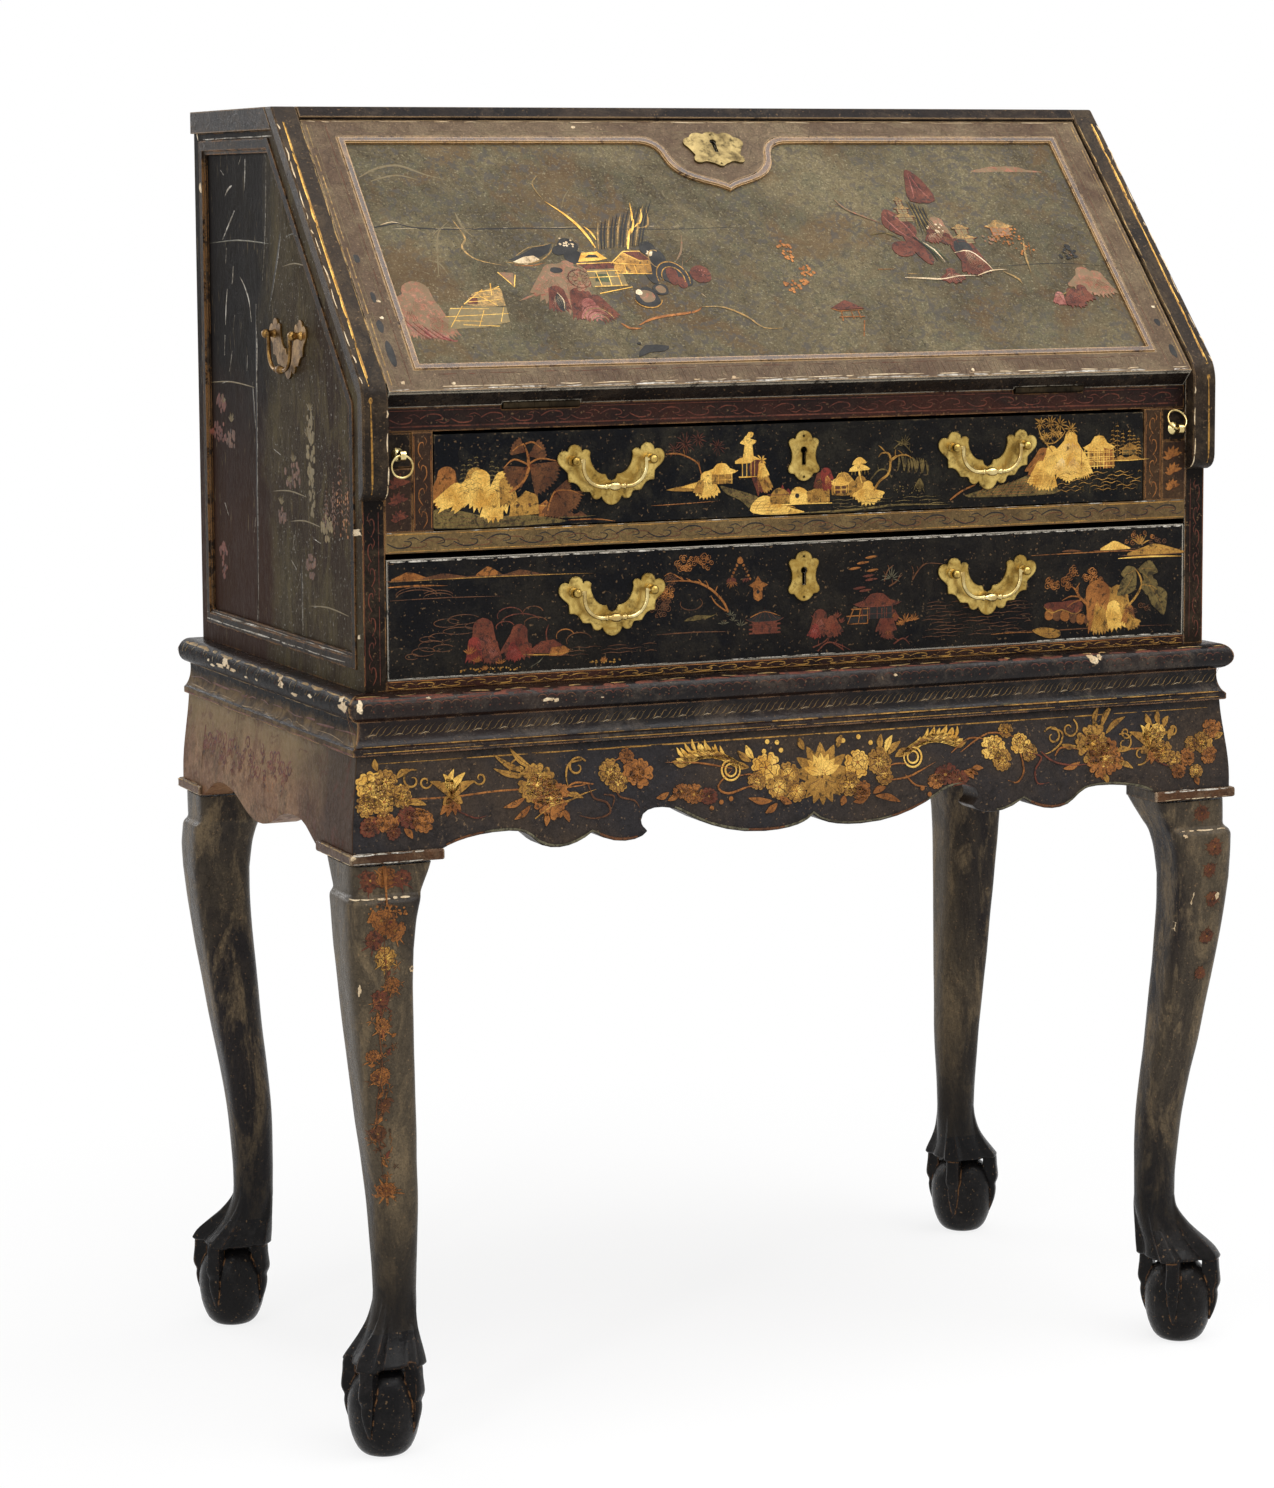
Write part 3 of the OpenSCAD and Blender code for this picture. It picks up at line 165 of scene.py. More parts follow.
def make_old_lacquer():
    """Ground colour with stains, haze, chips and a fine crackle."""
    tree, w, given, out = node_group(
        "old lacquer",
        [("Ground", "Color", (0, 0, 0, 1)), ("Stain", "Color", (0, 0, 0, 1)), ("Stain Amount", "Float", 0.5),
         ("Haze", "Color", (0, 0, 0, 1)), ("Haze Amount", "Float", 0.5),
         ("Chip", "Color", (1, 1, 1, 1)), ("Chip Amount", "Float", 0.1),
         ("Gloss", "Float", 0.4), ("Stretch", "Vector", (1, 1, 1))],
        [("Color", "Color"), ("Roughness", "Float"), ("Height", "Float")])
    place = w.add("TexCoord").outputs["Object"]
    stretched = w.add("VectorMath", place, given["Stretch"], operation="MULTIPLY").outputs[0]
    drift = w.span(w.cloud(stretched, 7.0, 6, 0.66, 0.8), 0.42, 0.6)
    patch = w.span(w.cloud(stretched, 34.0, 8, 0.72, 0.5), 0.48, 0.6)
    grime = w.span(w.cloud(stretched, 210.0, 5, 0.75), 0.38, 0.66)
    flecks = w.span(w.cloud(place, 430.0, 2, 0.5), 0.66, 0.72)
    bruises = w.span(w.cloud(place, 60.0, 5, 0.75, 1.0), 0.69, 0.73)
    color = w.mix(w.math("MULTIPLY", drift, given["Stain Amount"]), given["Ground"], given["Stain"])
    haze = w.math("MULTIPLY", w.math("MULTIPLY", patch, w.math("ADD", grime, 0.2)), given["Haze Amount"])
    color = w.mix(haze, color, given["Haze"])
    dark = w.mix(w.math("MULTIPLY", grime, 0.3), color, (0.004, 0.004, 0.004, 1))
    speckle = w.add("MapRange", w.cloud(place, 620.0, 4, 0.8), 0.3, 0.7, 0.62, 1.42).outputs[0]
    dark = w.mix(1.0, dark, speckle, "MULTIPLY")
    crackle = w.math("MULTIPLY", w.cracks(w.add("VectorMath", place, w.add("VectorMath", w.add(
        "TexNoise", place, 0.0, 30.0).outputs["Color"], (0.03, 0.03, 0.03), operation="MULTIPLY").outputs[0],
        operation="ADD").outputs[0], 95.0, 0.0, 0.035), w.span(w.cloud(place, 9.0, 3), 0.4, 0.65))
    color = w.mix(w.math("MULTIPLY", crackle, 0.45), dark, (0.006, 0.005, 0.004, 1))
    chips = w.math("MULTIPLY", w.math("MAXIMUM", flecks, bruises), given["Chip Amount"])
    color = w.mix(chips, color, given["Chip"])
    w.put(out["Color"], color)
    w.put(out["Roughness"], w.math("ADD", given["Gloss"], w.math("MULTIPLY", w.math("ADD", haze, grime), 0.16)))
    bumps = w.math("SUBTRACT", w.math("ADD", w.math("MULTIPLY", grime, 0.3), w.math("MULTIPLY", patch, 0.4)),
                   w.math("ADD", w.math("MULTIPLY", crackle, 0.35), w.math("MULTIPLY", chips, 0.3)))
    w.put(out["Height"], w.math("ADD", bumps, 0.3))
    return tree


def make_edge_wear_and_shade():
    """Outer edges broken up by noise: rubbed wear on the lacquers, and on brass the rims darkened as painted
    shade.
    """
    tree, w, given, out = node_group(
        "edge wear and rim shade", [("Width", "Float", 0.002), ("Amount", "Float", 0.5), ("Breaks", "Float", 40.0)],
        [("Mask", "Float")])
    rounded = w.add("Bevel", given["Width"], samples=4).outputs[0]
    flat = w.add("NewGeometry").outputs["Normal"]
    turn = w.add("VectorMath", rounded, flat, operation="DOT_PRODUCT").outputs["Value"]
    edge = w.span(turn, 0.995, 0.9)
    place = w.add("TexCoord").outputs["Object"]
    coarse = w.math("MULTIPLY", w.cloud(place, given["Breaks"], 4, 0.7), 1.3)
    fine = w.math("MULTIPLY", w.cloud(place, 260.0, 3, 0.7), 0.9)
    reach = w.add("Math", w.add("Math", edge, coarse).outputs[0], fine).outputs[0]
    low = w.add("Math", 2.25, given["Amount"], operation="SUBTRACT").outputs[0]
    worn = w.add("MapRange", reach, low, w.add("Math", low, 0.16).outputs[0], 0.0, 1.0, clamp=True).outputs[0]
    w.put(out["Mask"], w.math("MULTIPLY", worn, w.span(edge, 0.02, 0.2)))
    return tree


OLD_LACQUER = make_old_lacquer()
EDGE_WEAR_AND_SHADE = make_edge_wear_and_shade()


def new_surface(name, metallic=0.0, coat=0.0, coat_rough=0.2, shine=0.5):
    """A material with its Principled shader and wiring."""
    material = bpy.data.materials.new(name)
    material.use_nodes = True
    surface = material.node_tree.nodes["Principled BSDF"]
    surface.inputs["Metallic"].default_value = metallic
    surface.inputs["Coat Weight"].default_value = coat
    surface.inputs["Coat Roughness"].default_value = coat_rough
    surface.inputs["Specular IOR Level"].default_value = shine
    return material, surface, Wiring(material.node_tree)


def group(w, tree, **values):
    made = w.tree.nodes.new("ShaderNodeGroup")
    made.node_tree = tree
    for name, value in values.items():
        w.put(made.inputs[name.replace("_", " ")], value)
    return made.outputs


def bump(w, height, distance, strength=0.6):
    return w.fed("Bump", Strength=strength, Distance=distance, Height=height).outputs[0]


def lacquer(name, ground, stain, haze, stain_amount=0.7, haze_amount=0.5, chip=(176, 140, 100),
            chip_amount=0.25, edge=(150, 108, 66), wear=0.3, edge_width=0.0022, gloss=0.34, coat=0.0,
            stretch=(1, 1, 1), crossing=None, shine=0.18):
    """A lacquered surface in three colours with rubbed edges. crossing may repaint it before the wear."""
    material, surface, w = new_surface(name, coat=coat, shine=shine)
    old = group(w, OLD_LACQUER, Ground=tint(*ground), Stain=tint(*stain), Stain_Amount=stain_amount,
                Haze=tint(*haze), Haze_Amount=haze_amount, Chip=tint(*chip), Chip_Amount=chip_amount,
                Gloss=gloss, Stretch=stretch)
    color = crossing(w, old["Color"]) if crossing else old["Color"]
    worn = group(w, EDGE_WEAR_AND_SHADE, Width=edge_width, Amount=wear)["Mask"]
    w.put(surface.inputs["Base Color"], w.mix(worn, color, tint(*edge)))
    w.put(surface.inputs["Roughness"], old["Roughness"])
    w.put(surface.inputs["Normal"], bump(w, old["Height"], 0.0006))
    return material


def gilding(name, bright, dull, under, metallic=0.35, wear=0.35, rough=0.42):
    """Gold or colour laid on with a brush: uneven, rubbed through in places."""
    material, surface, w = new_surface(name, metallic=metallic, shine=0.2)
    place = w.object_place()
    tone = w.span(w.cloud(place, 70.0, 5, 0.65), 0.36, 0.62)
    rubbed = w.span(w.cloud(place, 260.0, 4, 0.7, 0.5), 0.72 - wear * 0.5, 0.82 - wear * 0.5)
    color = w.mix(tone, tint(*dull), tint(*bright))
    speckle = w.add("MapRange", w.cloud(place, 950.0, 3, 0.7), 0.3, 0.7, 0.62, 1.3).outputs[0]
    color = w.mix(1.0, color, speckle, "MULTIPLY")
    w.put(surface.inputs["Base Color"], w.mix(w.math("MULTIPLY", rubbed, 0.85), color, tint(*under)))
    w.put(surface.inputs["Roughness"], w.span(tone, 0, 1, rough + 0.12, rough))
    w.put(surface.inputs["Normal"], bump(w, w.cloud(place, 500.0, 3, 0.6), 0.0002, 0.5))
    return material


def brass_finish(name, bright, dull, rough, tarnish, stain=(84, 66, 34), rim=0.0):
    """Brass in two tones, tarnished in spots, with its rims darkened as a painted shade."""
    material, surface, w = new_surface(name, metallic=1.0)
    place = w.object_place()
    tone = w.span(w.cloud(place, 55.0, 6, 0.7, 0.6), 0.4, 0.62)
    spots = w.math("MULTIPLY", w.span(w.cloud(place, 160.0, 5, 0.75), 0.5, 0.68), tarnish)
    color = w.mix(tone, tint(*dull), tint(*bright))
    color = w.mix(spots, color, tint(*stain))
    # Painted shade: the rims are darkened towards the tarnish colour, standing in for the shadow along the
    # plate's edges.
    if rim:
        rim_shade = group(w, EDGE_WEAR_AND_SHADE, Width=0.0016, Amount=rim)["Mask"]
        color = w.mix(w.math("MULTIPLY", rim_shade, 0.7), color, tint(*stain))
    w.put(surface.inputs["Base Color"], color)
    w.put(surface.inputs["Roughness"], w.math("ADD", w.span(tone, 0, 1, rough + 0.1, rough),
                                              w.math("MULTIPLY", spots, 0.25)))
    w.put(surface.inputs["Normal"], bump(w, w.cloud(place, 300.0, 4, 0.6), 0.00025, 0.5))
    return material


def bare_wood(name, light, dark, along):
    """Oak seen bare, its grain running along X, Y or Z."""
    material, surface, w = new_surface(name)
    stretch = [5.0 if axis == along else 60.0 for axis in "xyz"]
    grain = w.cloud(w.object_place(stretch), 1.6, 6, 0.65, 1.2)
    pores = w.span(w.cloud(w.object_place([v * 3 for v in stretch]), 3.0, 3, 0.6), 0.55, 0.7)
    grime = w.span(w.cloud(w.object_place(), 8.0, 4, 0.6), 0.35, 0.7)
    color = w.mix(w.span(grain, 0.35, 0.65), tint(*light), tint(*dark))
    color = w.mix(w.math("MULTIPLY", pores, 0.5), color, tint(70, 48, 28))
    w.put(surface.inputs["Base Color"], w.mix(w.math("MULTIPLY", grime, 0.35), color, tint(80, 58, 36)))
    w.put(surface.inputs["Roughness"], w.span(grain, 0.3, 0.7, 0.55, 0.7))
    w.put(surface.inputs["Normal"], bump(w, grain, 0.0004, 0.4))
    return material


# Pieces

def placed(name, data):
    """A new object in the scene."""
    made = bpy.data.objects.new(name, data)
    bpy.context.scene.collection.objects.link(made)
    return made


def link(bm, name, body, materials, replaced=()):
    """Makes the piece's object, gives it its finishes and lets it ride on its body."""
    mesh = bpy.data.meshes.new(name)
    for material in materials:
        mesh.materials.append(material)
    bm.to_mesh(mesh)
    bm.free()
    piece = placed(name, mesh)
    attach(piece, body)
    if replaced:
        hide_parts(*replaced)
    return piece


def merged(node, flat_join=True):
    """A node's mesh as one skin: doubles merged and flat faces joined."""
    bm = bmesh.new()
    bm.from_mesh(nodes[node].data)
    bmesh.ops.remove_doubles(bm, verts=bm.verts, dist=2e-5)
    if flat_join:
        bmesh.ops.dissolve_limit(bm, angle_limit=math.radians(0.6), verts=bm.verts, edges=bm.edges)
    return bm


def body_of(node):
    return nodes[node]["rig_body"]


def round_edges(piece, bm_weighted, width, smooth_angle):
    piece.data.set_sharp_from_angle(angle=math.radians(smooth_angle))
    if width:
        rounding = piece.modifiers.new("rounding", "BEVEL")
        rounding.width = width / 1000.0
        rounding.segments = 2
        rounding.limit_method = "WEIGHT" if bm_weighted else "ANGLE"
        rounding.angle_limit = SHARP
        rounding.harden_normals = True


def weigh_edges(bm, seams, corner=0.0):
    """Marks the edges to round: the sharp ones, but for those that lie in a joint's plane.

    corner gives the height above which upright edges are rounded in full and the others less.
    """
    weight = bm.edges.layers.float.new("bevel_weight_edge")
    for edge in bm.edges:
        if len(edge.link_faces) == 2 and edge.calc_face_angle(0) > SHARP:
            ends = [vert.co for vert in edge.verts]
            in_joint = any(all(abs(end[axis] * 1000 - at) < 0.2 for end in ends) for axis, at in seams)
            steep = abs(ends[0].z - ends[1].z) > 0.8 * edge.calc_length()
            full = not corner or (steep and min(end.z for end in ends) > corner)
            edge[weight] = 0.0 if in_joint else 1.0 if full else 0.2


def softened(name, node, material, width=1.0, smooth_angle=35, flat_join=True, seams=(), sides=()):
    """The node's own shape with its edges rounded, in place of the node.

    sides gives other finishes to the faces that look along a direction.
    """
    bm = merged(node, flat_join)
    for face in bm.faces:
        face.smooth = True
        for count, (way, _) in enumerate(sides):
            if face.normal.dot(way) > 0.7:
                face.material_index = count + 1
    if seams:
        weigh_edges(bm, seams)
    piece = link(bm, name, body_of(node), [material] + [other for _, other in sides], (node,))
    round_edges(piece, bool(seams), width, smooth_angle)
    return piece


def finish_node(node, material):
    """Gives a node that stays its finish."""
    mesh = nodes[node].data
    mesh.materials.clear()
    mesh.materials.append(material)


def lofted(bm, rings, cap=True):
    """A closed skin over rings of points, each ring with the same number of points."""
    rows = [[bm.verts.new(point) for point in ring] for ring in rings]
    count = len(rows[0])
    for lower, upper in zip(rows, rows[1:]):
        for i in range(count):
            j = (i + 1) % count
            bm.faces.new((lower[i], lower[j], upper[j], upper[i]))
    if cap:
        bm.faces.new(list(reversed(rows[0])))
        bm.faces.new(rows[-1])


def between(table, height):
    """Values from rows of a table, its first column being the height, joined smoothly."""
    if height <= table[0][0]:
        return table[0][1:]
    for index in range(len(table) - 1):
        low, high = table[index], table[index + 1]
        if height <= high[0]:
            share = (height - low[0]) / (high[0] - low[0])
            before = table[max(index - 1, 0)]
            after = table[min(index + 2, len(table) - 1)]
            result = []
            for a, b, c, d in zip(before[1:], low[1:], high[1:], after[1:]):
                m0 = (c - a) * (high[0] - low[0]) / max(high[0] - before[0], 1e-6)
                m1 = (d - b) * (high[0] - low[0]) / max(after[0] - low[0], 1e-6)
                t2, t3 = share * share, share ** 3
                result.append((2 * t3 - 3 * t2 + 1) * b + (t3 - 2 * t2 + share) * m0
                              + (3 * t2 - 2 * t3) * c + (t3 - t2) * m1)
            return result
    return table[-1][1:]


# Legs

# Planes where the legs' heads meet the aprons
SEAMS = [(0, 297), (0, -297), (0, 312), (0, -312), (1, -134.5), (1, 152.5)]
# The leg above the foot: height, shift outwards, half thickness, squareness
LEG_SHAPE = [
    (116, -20.5, 16.0, 2.0), (136, -20.5, 16.3, 2.1), (178, -18.5, 17.6, 2.5), (213, -14, 18.6, 2.8),
    (247, -8.5, 20.0, 3.1), (282, -3.5, 21.1, 3.4), (317, 1.5, 22.3, 3.7), (348, 5.3, 23.4, 3.9),
    (376, 7.35, 24.6, 4.1),
]
# The neck from there up to the collar: height, reach outwards across and along, reach inwards
# across and along, squareness
NECK_SHAPE = [
    (376, 29.8, 29.8, 19.4, 19.4, 4.1), (397, 30.6, 30.6, 21.5, 21.5, 4.3), (407, 30.8, 30.8, 23.5, 23.5, 4.4),
    (411, 30.8, 30.6, 24.5, 24.5, 4.5), (414, 30.0, 28.8, 25.5, 25.5, 4.6), (416, 28.0, 26.4, 26.2, 26.2, 4.8),
    (418, 26.7, 24.8, 27, 27, 5), (424, 26.6, 24.6, 29.5, 30.5, 5.2), (432, 26.6, 24.6, 33, 35, 5.4),
    (440.5, 26.6, 24.6, 36, 40, 5.6),
]
# The skirt over the ball: height, shift, reach between toes, of the outer toe, of the side
# toes, of the back toe, and half the width of the tendons
SKIRT_SHAPE = [
    (66.5, -3, 23.0, 33.5, 29.5, 28.5, 5.8), (68, -3, 25.0, 36.0, 31.6, 30.6, 6.4),
    (70, -3.5, 24.6, 36.0, 31.4, 30.4, 6.3), (76, -7, 21.6, 35.2, 28.2, 27.6, 5.6),
    (84, -11.5, 19.2, 30.6, 23.8, 23.8, 4.6), (94, -16.2, 17.4, 23.6, 19.6, 20.0, 3.4),
    (106, -19.8, 16.4, 17.8, 17.2, 17.2, 2.4), (116, -20.5, 16.0, 16.2, 16.1, 16.1, 2.0),
]
BALL_SHAPE = [(0, 13.5), (0.8, 15.6), (4, 19.2), (10, 22.4), (18, 25.0), (27, 26.4), (36, 26.8), (45, 25.9),
              (54, 22.6), (61, 17.0), (66, 10.0), (68.5, 2.0)]
# A toe from under its ledge to the tip of its talon: height, reach, half width
TOE_SHAPE = [(71, 30.2, 5.4), (67, 32.0, 5.5), (60, 32.6, 5.2), (53, 33.4, 5.5), (48, 33.6, 5.8),
             (44, 32.4, 5.2), (42, 31.4, 4.4), (37, 31.8, 4.4), (30, 30.8, 3.6), (23, 28.6, 2.4),
             (17, 26.0, 1.2)]
TOES = [(0, 1.0), (86, 0.96), (-86, 0.96), (180, 0.97)]


def square_reach(half_x, half_y, squareness, angle):
    """Reach of a rounded square; its inner corner is rounder and its side corners sharper."""
    c, s = math.cos(angle), math.sin(angle)
    if c > 0 and s > 0:
        power = squareness
    else:
        power = max(2.0, squareness - 1) if c < 0 and s < 0 else 2 * squareness - 2
    return 1 / ((abs(c) / half_x) ** power + (abs(s) / half_y) ** power) ** (1 / power)


def leg_and_foot(at_back, roughness_seed):
    """The turned and carved part of a leg below its collar, about its foot's middle."""
    bm = bmesh.new()
    diagonal = math.pi / 4
    count = 96

    def ring(height, shift, reach):
        points = []
        for i in range(count):
            angle = 2 * math.pi * i / count
            far = reach(angle)
            wave = noise.noise(Vector((math.cos(angle) * 1.3, math.sin(angle) * 1.3,
                                       height * 0.03 + roughness_seed)))
            far += 0.35 * wave
            points.append(mm(FOOT_X + shift * math.cos(diagonal) + far * math.cos(angle),
                             FOOT_Y + shift * math.sin(diagonal) + far * math.sin(angle), height))
        return points

    def skirt_reach(web, outer, side, back, half_width):
        def reach(angle):
            best = web
            for turn, far in ((0, outer), (86, side), (-86, side), (180, back)):
                away = (angle - diagonal - math.radians(turn) + math.pi) % (2 * math.pi) - math.pi
                across = abs(away) * web / half_width
                share = min(max((1.45 - across) / 0.7, 0), 1)
                share = share * share * (3 - 2 * share)
                best = max(best, web + (far - web) * share)
            return best
        return reach

    rings = []
    height = SKIRT_LOW
    while height < SKIRT_TOP:
        values = between(SKIRT_SHAPE, height)
        rings.append(ring(height, values[0], skirt_reach(*values[1:])))
        height += 0.75 if height < 70 else 2.5
    for step in range(65):
        height = SKIRT_TOP + (NECK_LOW - SKIRT_TOP) * step / 65
        shift, half, squareness = between(LEG_SHAPE, height)
        rings.append(ring(height, shift, lambda a: square_reach(half, half, squareness, a)))
    height = NECK_LOW
    while height < NECK_TOP:
        out_x, out_y, in_x, in_y, squareness = between(NECK_SHAPE, height)
        if at_back:
            out_y, in_x, in_y = min(out_y, 22.2 + max(0, 416 - height) * 0.4), min(in_x, 27), min(in_y, 27)
        centre = mm((out_x - in_x) / 2, (out_y - in_y) / 2, 0)
        points = ring(height, 0, lambda a: square_reach((out_x + in_x) / 2, (out_y + in_y) / 2, squareness, a))
        rings.append([point + centre for point in points])
        height += 0.8 if 408 < height < 420 else 3
    lofted(bm, rings)
    lofted(bm, [[mm(FOOT_X + r * math.cos(a), FOOT_Y + r * math.sin(a), z)
                 for a in (2 * math.pi * i / 56 for i in range(56))]
                for z in (0, 0.8, 2.5, 5, 9, 14, 20, 27, 34, 41, 48, 54, 59, 63, 66.5, 68.5)
                for r in between(BALL_SHAPE, z)])
    for turn, share in TOES:
        angle = diagonal + math.radians(turn)
        out = Vector((math.cos(angle), math.sin(angle)))
        across = Vector((-out.y, out.x))
        rows = []
        for step in range(28):
            z = 17 + 54 * step / 27
            table = [(h, r, w) for h, r, w in reversed(TOE_SHAPE)]
            far, half = between(table, z)
            far *= share
            inner = min(far - 5, 20)
            outline = [(inner, -half), (far - 2.2, -half), (far - 0.6, -half * 0.82), (far, -half * 0.45),
                       (far, half * 0.45), (far - 0.6, half * 0.82), (far - 2.2, half), (inner, half)]
            rows.append([mm(FOOT_X + out.x * u + across.x * v, FOOT_Y + out.y * u + across.y * v, z)
                         for u, v in outline])
        lofted(bm, rows)
    return bm


def build_leg(name, node, side, end, material, seed):
    """A leg: its carved part, and the neck and head as the model has them."""
    bm = leg_and_foot(end > 0, seed)
    head = merged(node)
    bmesh.ops.bisect_plane(head, geom=head.verts[:] + head.edges[:] + head.faces[:], dist=1e-6,
                           plane_co=mm(0, 0, COLLAR_Z), plane_no=(0, 0, -1), clear_outer=True)
    open_edges = [edge for edge in head.edges if edge.is_boundary]
    bmesh.ops.holes_fill(head, edges=open_edges, sides=0)
    for vert in bm.verts:
        vert.co.x *= side
        vert.co.y *= end
    if side * end < 0:
        bmesh.ops.reverse_faces(bm, faces=bm.faces[:])
    top = bpy.data.meshes.new("head")
    head.to_mesh(top)
    head.free()
    bm.from_mesh(top)
    bpy.data.meshes.remove(top)
    for face in bm.faces:
        face.smooth = True
    bm.normal_update()
    for face in bm.faces:
        height = face.calc_center_median().z * 1000
        if height > COLLAR_Z + 1 and abs(face.normal.z) < 0.5:
            face.material_index = 2 if face.normal.y * end > 0.7 else 1 if face.normal.x * side > 0.7 else 0
        elif height < BLACK_FOOT_TOP:
            face.material_index = 3
    weigh_edges(bm, SEAMS, (COLLAR_Z - 10) / 1000)
    piece = link(bm, name, CASE_BODY, [material, SIDE_APRON, APRON_BROWN, FOOT_BLACK], (node,))
    round_edges(piece, True, 6, 40)
    return piece


# Finishes of the case and stand

def speckled_field(w, color):
    """Grey specks and brown patches that old lacquer shows on the slope."""
    place = w.object_place()
    patches = w.span(w.cloud(place, 13.0, 7, 0.7, 0.7), 0.52, 0.6)
    color = w.mix(w.math("MULTIPLY", patches, 0.5), color, tint(92, 68, 42))
    specks = w.span(w.cloud(place, 520.0, 4, 0.7), 0.57, 0.64)
    color = w.mix(w.math("MULTIPLY", specks, 0.4), color, tint(160, 150, 122))
    where = w.span(w.cloud(place, 11.0, 6, 0.75, 0.6), 0.38, 0.52)
    pits = w.math("MULTIPLY", w.span(w.cloud(place, 170.0, 3, 0.65, 0.8), 0.53, 0.57), where)
    return w.mix(w.math("MULTIPLY", pits, 0.75), color, tint(74, 69, 64))


def black_feet(w, color):
    """Legs that turn glossy black towards the feet."""
    place = w.object_place()
    drift = w.add("Math", w.cloud(place, 20.0, 5, 0.7), 0.08, operation="MULTIPLY").outputs[0]
    low = w.span(w.add("Math", w.add("SeparateXYZ", place).outputs["Z"], drift).outputs[0], 0.26, 0.14)
    return w.mix(w.math("MULTIPLY", low, 0.9), color, tint(17, 16, 17))


def darker_front(w, color):
    """The stand's side, which turns dark brown towards its front corner."""
    place = w.object_place()
    drift = w.add("Math", w.cloud(place, 24.0, 6, 0.75, 0.8), 0.12, operation="MULTIPLY").outputs[0]
    parts = w.add("SeparateXYZ", place).outputs
    high = w.span(w.add("Math", parts["Z"], w.math("MULTIPLY", drift, 0.7)).outputs[0], 0.515, 0.55)
    color = w.mix(w.math("MULTIPLY", high, 0.7), color, tint(122, 104, 72))
    front = w.span(w.add("Math", parts["Y"], drift).outputs[0], 0.0, -0.09)
    color = w.mix(w.math("MULTIPLY", front, 0.85), color, tint(44, 31, 25))
    rubbed = w.span(w.cloud(place, 46.0, 7, 0.75, 1.2), 0.54, 0.6)
    return w.mix(w.math("MULTIPLY", rubbed, 0.6), color, tint(80, 46, 34))


def brown_below(w, color):
    """The moulding's side: black above, rubbed to ochre and brown below."""
    place = w.object_place()
    drift = w.add("Math", w.cloud(place, 22.0, 6, 0.75, 0.8), 0.02, operation="MULTIPLY").outputs[0]
    low = w.span(w.add("Math", w.add("SeparateXYZ", place).outputs["Z"], drift).outputs[0], 0.547, 0.54)
    tone = w.mix(w.span(w.cloud(place, 40.0, 6, 0.75, 1.0), 0.42, 0.6), tint(60, 46, 33), tint(112, 90, 60))
    return w.mix(w.math("MULTIPLY", low, 0.95), color, tone)


def darker_back(w, color):
    """A side that turns black towards the back and red-brown low down."""
    place = w.object_place()
    parts = w.add("SeparateXYZ", place).outputs
    drift = w.add("Math", w.cloud(place, 9.0, 6, 0.7, 0.6), 0.14, operation="MULTIPLY").outputs[0]
    back = w.span(w.add("Math", parts["Y"], drift).outputs[0], 0.07, 0.11)
    low = w.span(w.add("Math", parts["Z"], drift).outputs[0], 0.86, 0.72)
    far = w.mix(w.math("MULTIPLY", low, 0.8), tint(17, 15, 16), tint(54, 34, 26))
    color = w.mix(w.math("MULTIPLY", back, 0.92), color, far)
    scratches = w.span(w.cloud(w.object_place((30, 30, 6)), 6.0, 5, 0.7), 0.62, 0.68)
    return w.mix(w.math("MULTIPLY", scratches, 0.45), color, tint(118, 104, 78))


BLACK_GLOSS = lacquer("black moulding lacquer", (19, 15, 15), (50, 31, 23), (66, 52, 42), 0.5, 0.5, wear=0.3,
                      edge=(170, 124, 84), gloss=0.12, shine=0.03)
MOULDING_FRONT = lacquer("front moulding lacquer", (24, 20, 20), (46, 31, 25), (92, 80, 68), 0.5, 0.6, wear=0.3,
                         edge=(170, 124, 84), gloss=0.16, shine=0.16)
MOULDING_SIDE = lacquer("side moulding lacquer", (14, 12, 13), (24, 18, 16), (40, 33, 28), 0.5, 0.5, wear=0.3,
                        edge=(196, 156, 108), gloss=0.12, crossing=brown_below, shine=0.01)
CASE_DARK = lacquer("dark case lacquer", (26, 22, 20), (50, 38, 28), (72, 60, 46), 0.6, 0.6, wear=0.3,
                    gloss=0.34, shine=0.04)
UPPER_GROUND = lacquer("upper drawer lacquer", (17, 18, 21), (34, 31, 26), (60, 56, 46), 0.6, 0.5, wear=0.1,
                       edge=(120, 104, 78), gloss=0.4, shine=0.04)
LOWER_GROUND = lacquer("lower drawer lacquer", (20, 20, 22), (35, 31, 26), (54, 49, 41), 0.6, 0.5, wear=0.5,
                       edge=(196, 188, 172), gloss=0.38, shine=0.04)
FALL_FIELD = lacquer("fall field lacquer", (110, 98, 72), (66, 57, 40), (94, 90, 70), 0.85, 0.9,
                     chip=(46, 41, 33), chip_amount=0.8, wear=0.2, gloss=0.5, crossing=speckled_field,
                     shine=0.1)
FALL_BORDER = lacquer("fall border lacquer", (100, 82, 62), (68, 46, 32), (132, 116, 90), 0.7, 0.6,
                      chip=(196, 168, 130), wear=0.36, edge=(176, 146, 106), gloss=0.42, shine=0.12)
FALL_EDGE = lacquer("fall edge lacquer", (20, 17, 16), (44, 34, 26), (70, 58, 46), 0.5, 0.5, wear=0.4,
                    edge=(206, 196, 176), gloss=0.2, shine=0.08)
BEAD_GOLD = lacquer("fall bead lacquer", (88, 60, 37), (48, 32, 22), (146, 110, 66), 0.7, 0.7, wear=0.4,
                    edge=(190, 150, 96), gloss=0.18, shine=0.5)
LIP_BLACK = lacquer("lip lacquer", (38, 32, 27), (64, 50, 37), (98, 82, 62), 0.6, 0.5, wear=0.34,
                    edge=(176, 140, 98), gloss=0.24, shine=0.06)
PANEL_SIDE = lacquer("side panel lacquer", (66, 57, 41), (44, 30, 23), (96, 86, 62), 0.8, 0.8, wear=0.2,
                     chip=(190, 186, 176), chip_amount=0.35, gloss=0.3, stretch=(1, 1, 0.5),
                     crossing=darker_back, shine=0.01)
BLADE_OCHRE = lacquer("blade lacquer", (104, 84, 52), (70, 52, 34), (136, 114, 74), 0.7, 0.6, wear=0.25,
                      gloss=0.42, shine=0.12)
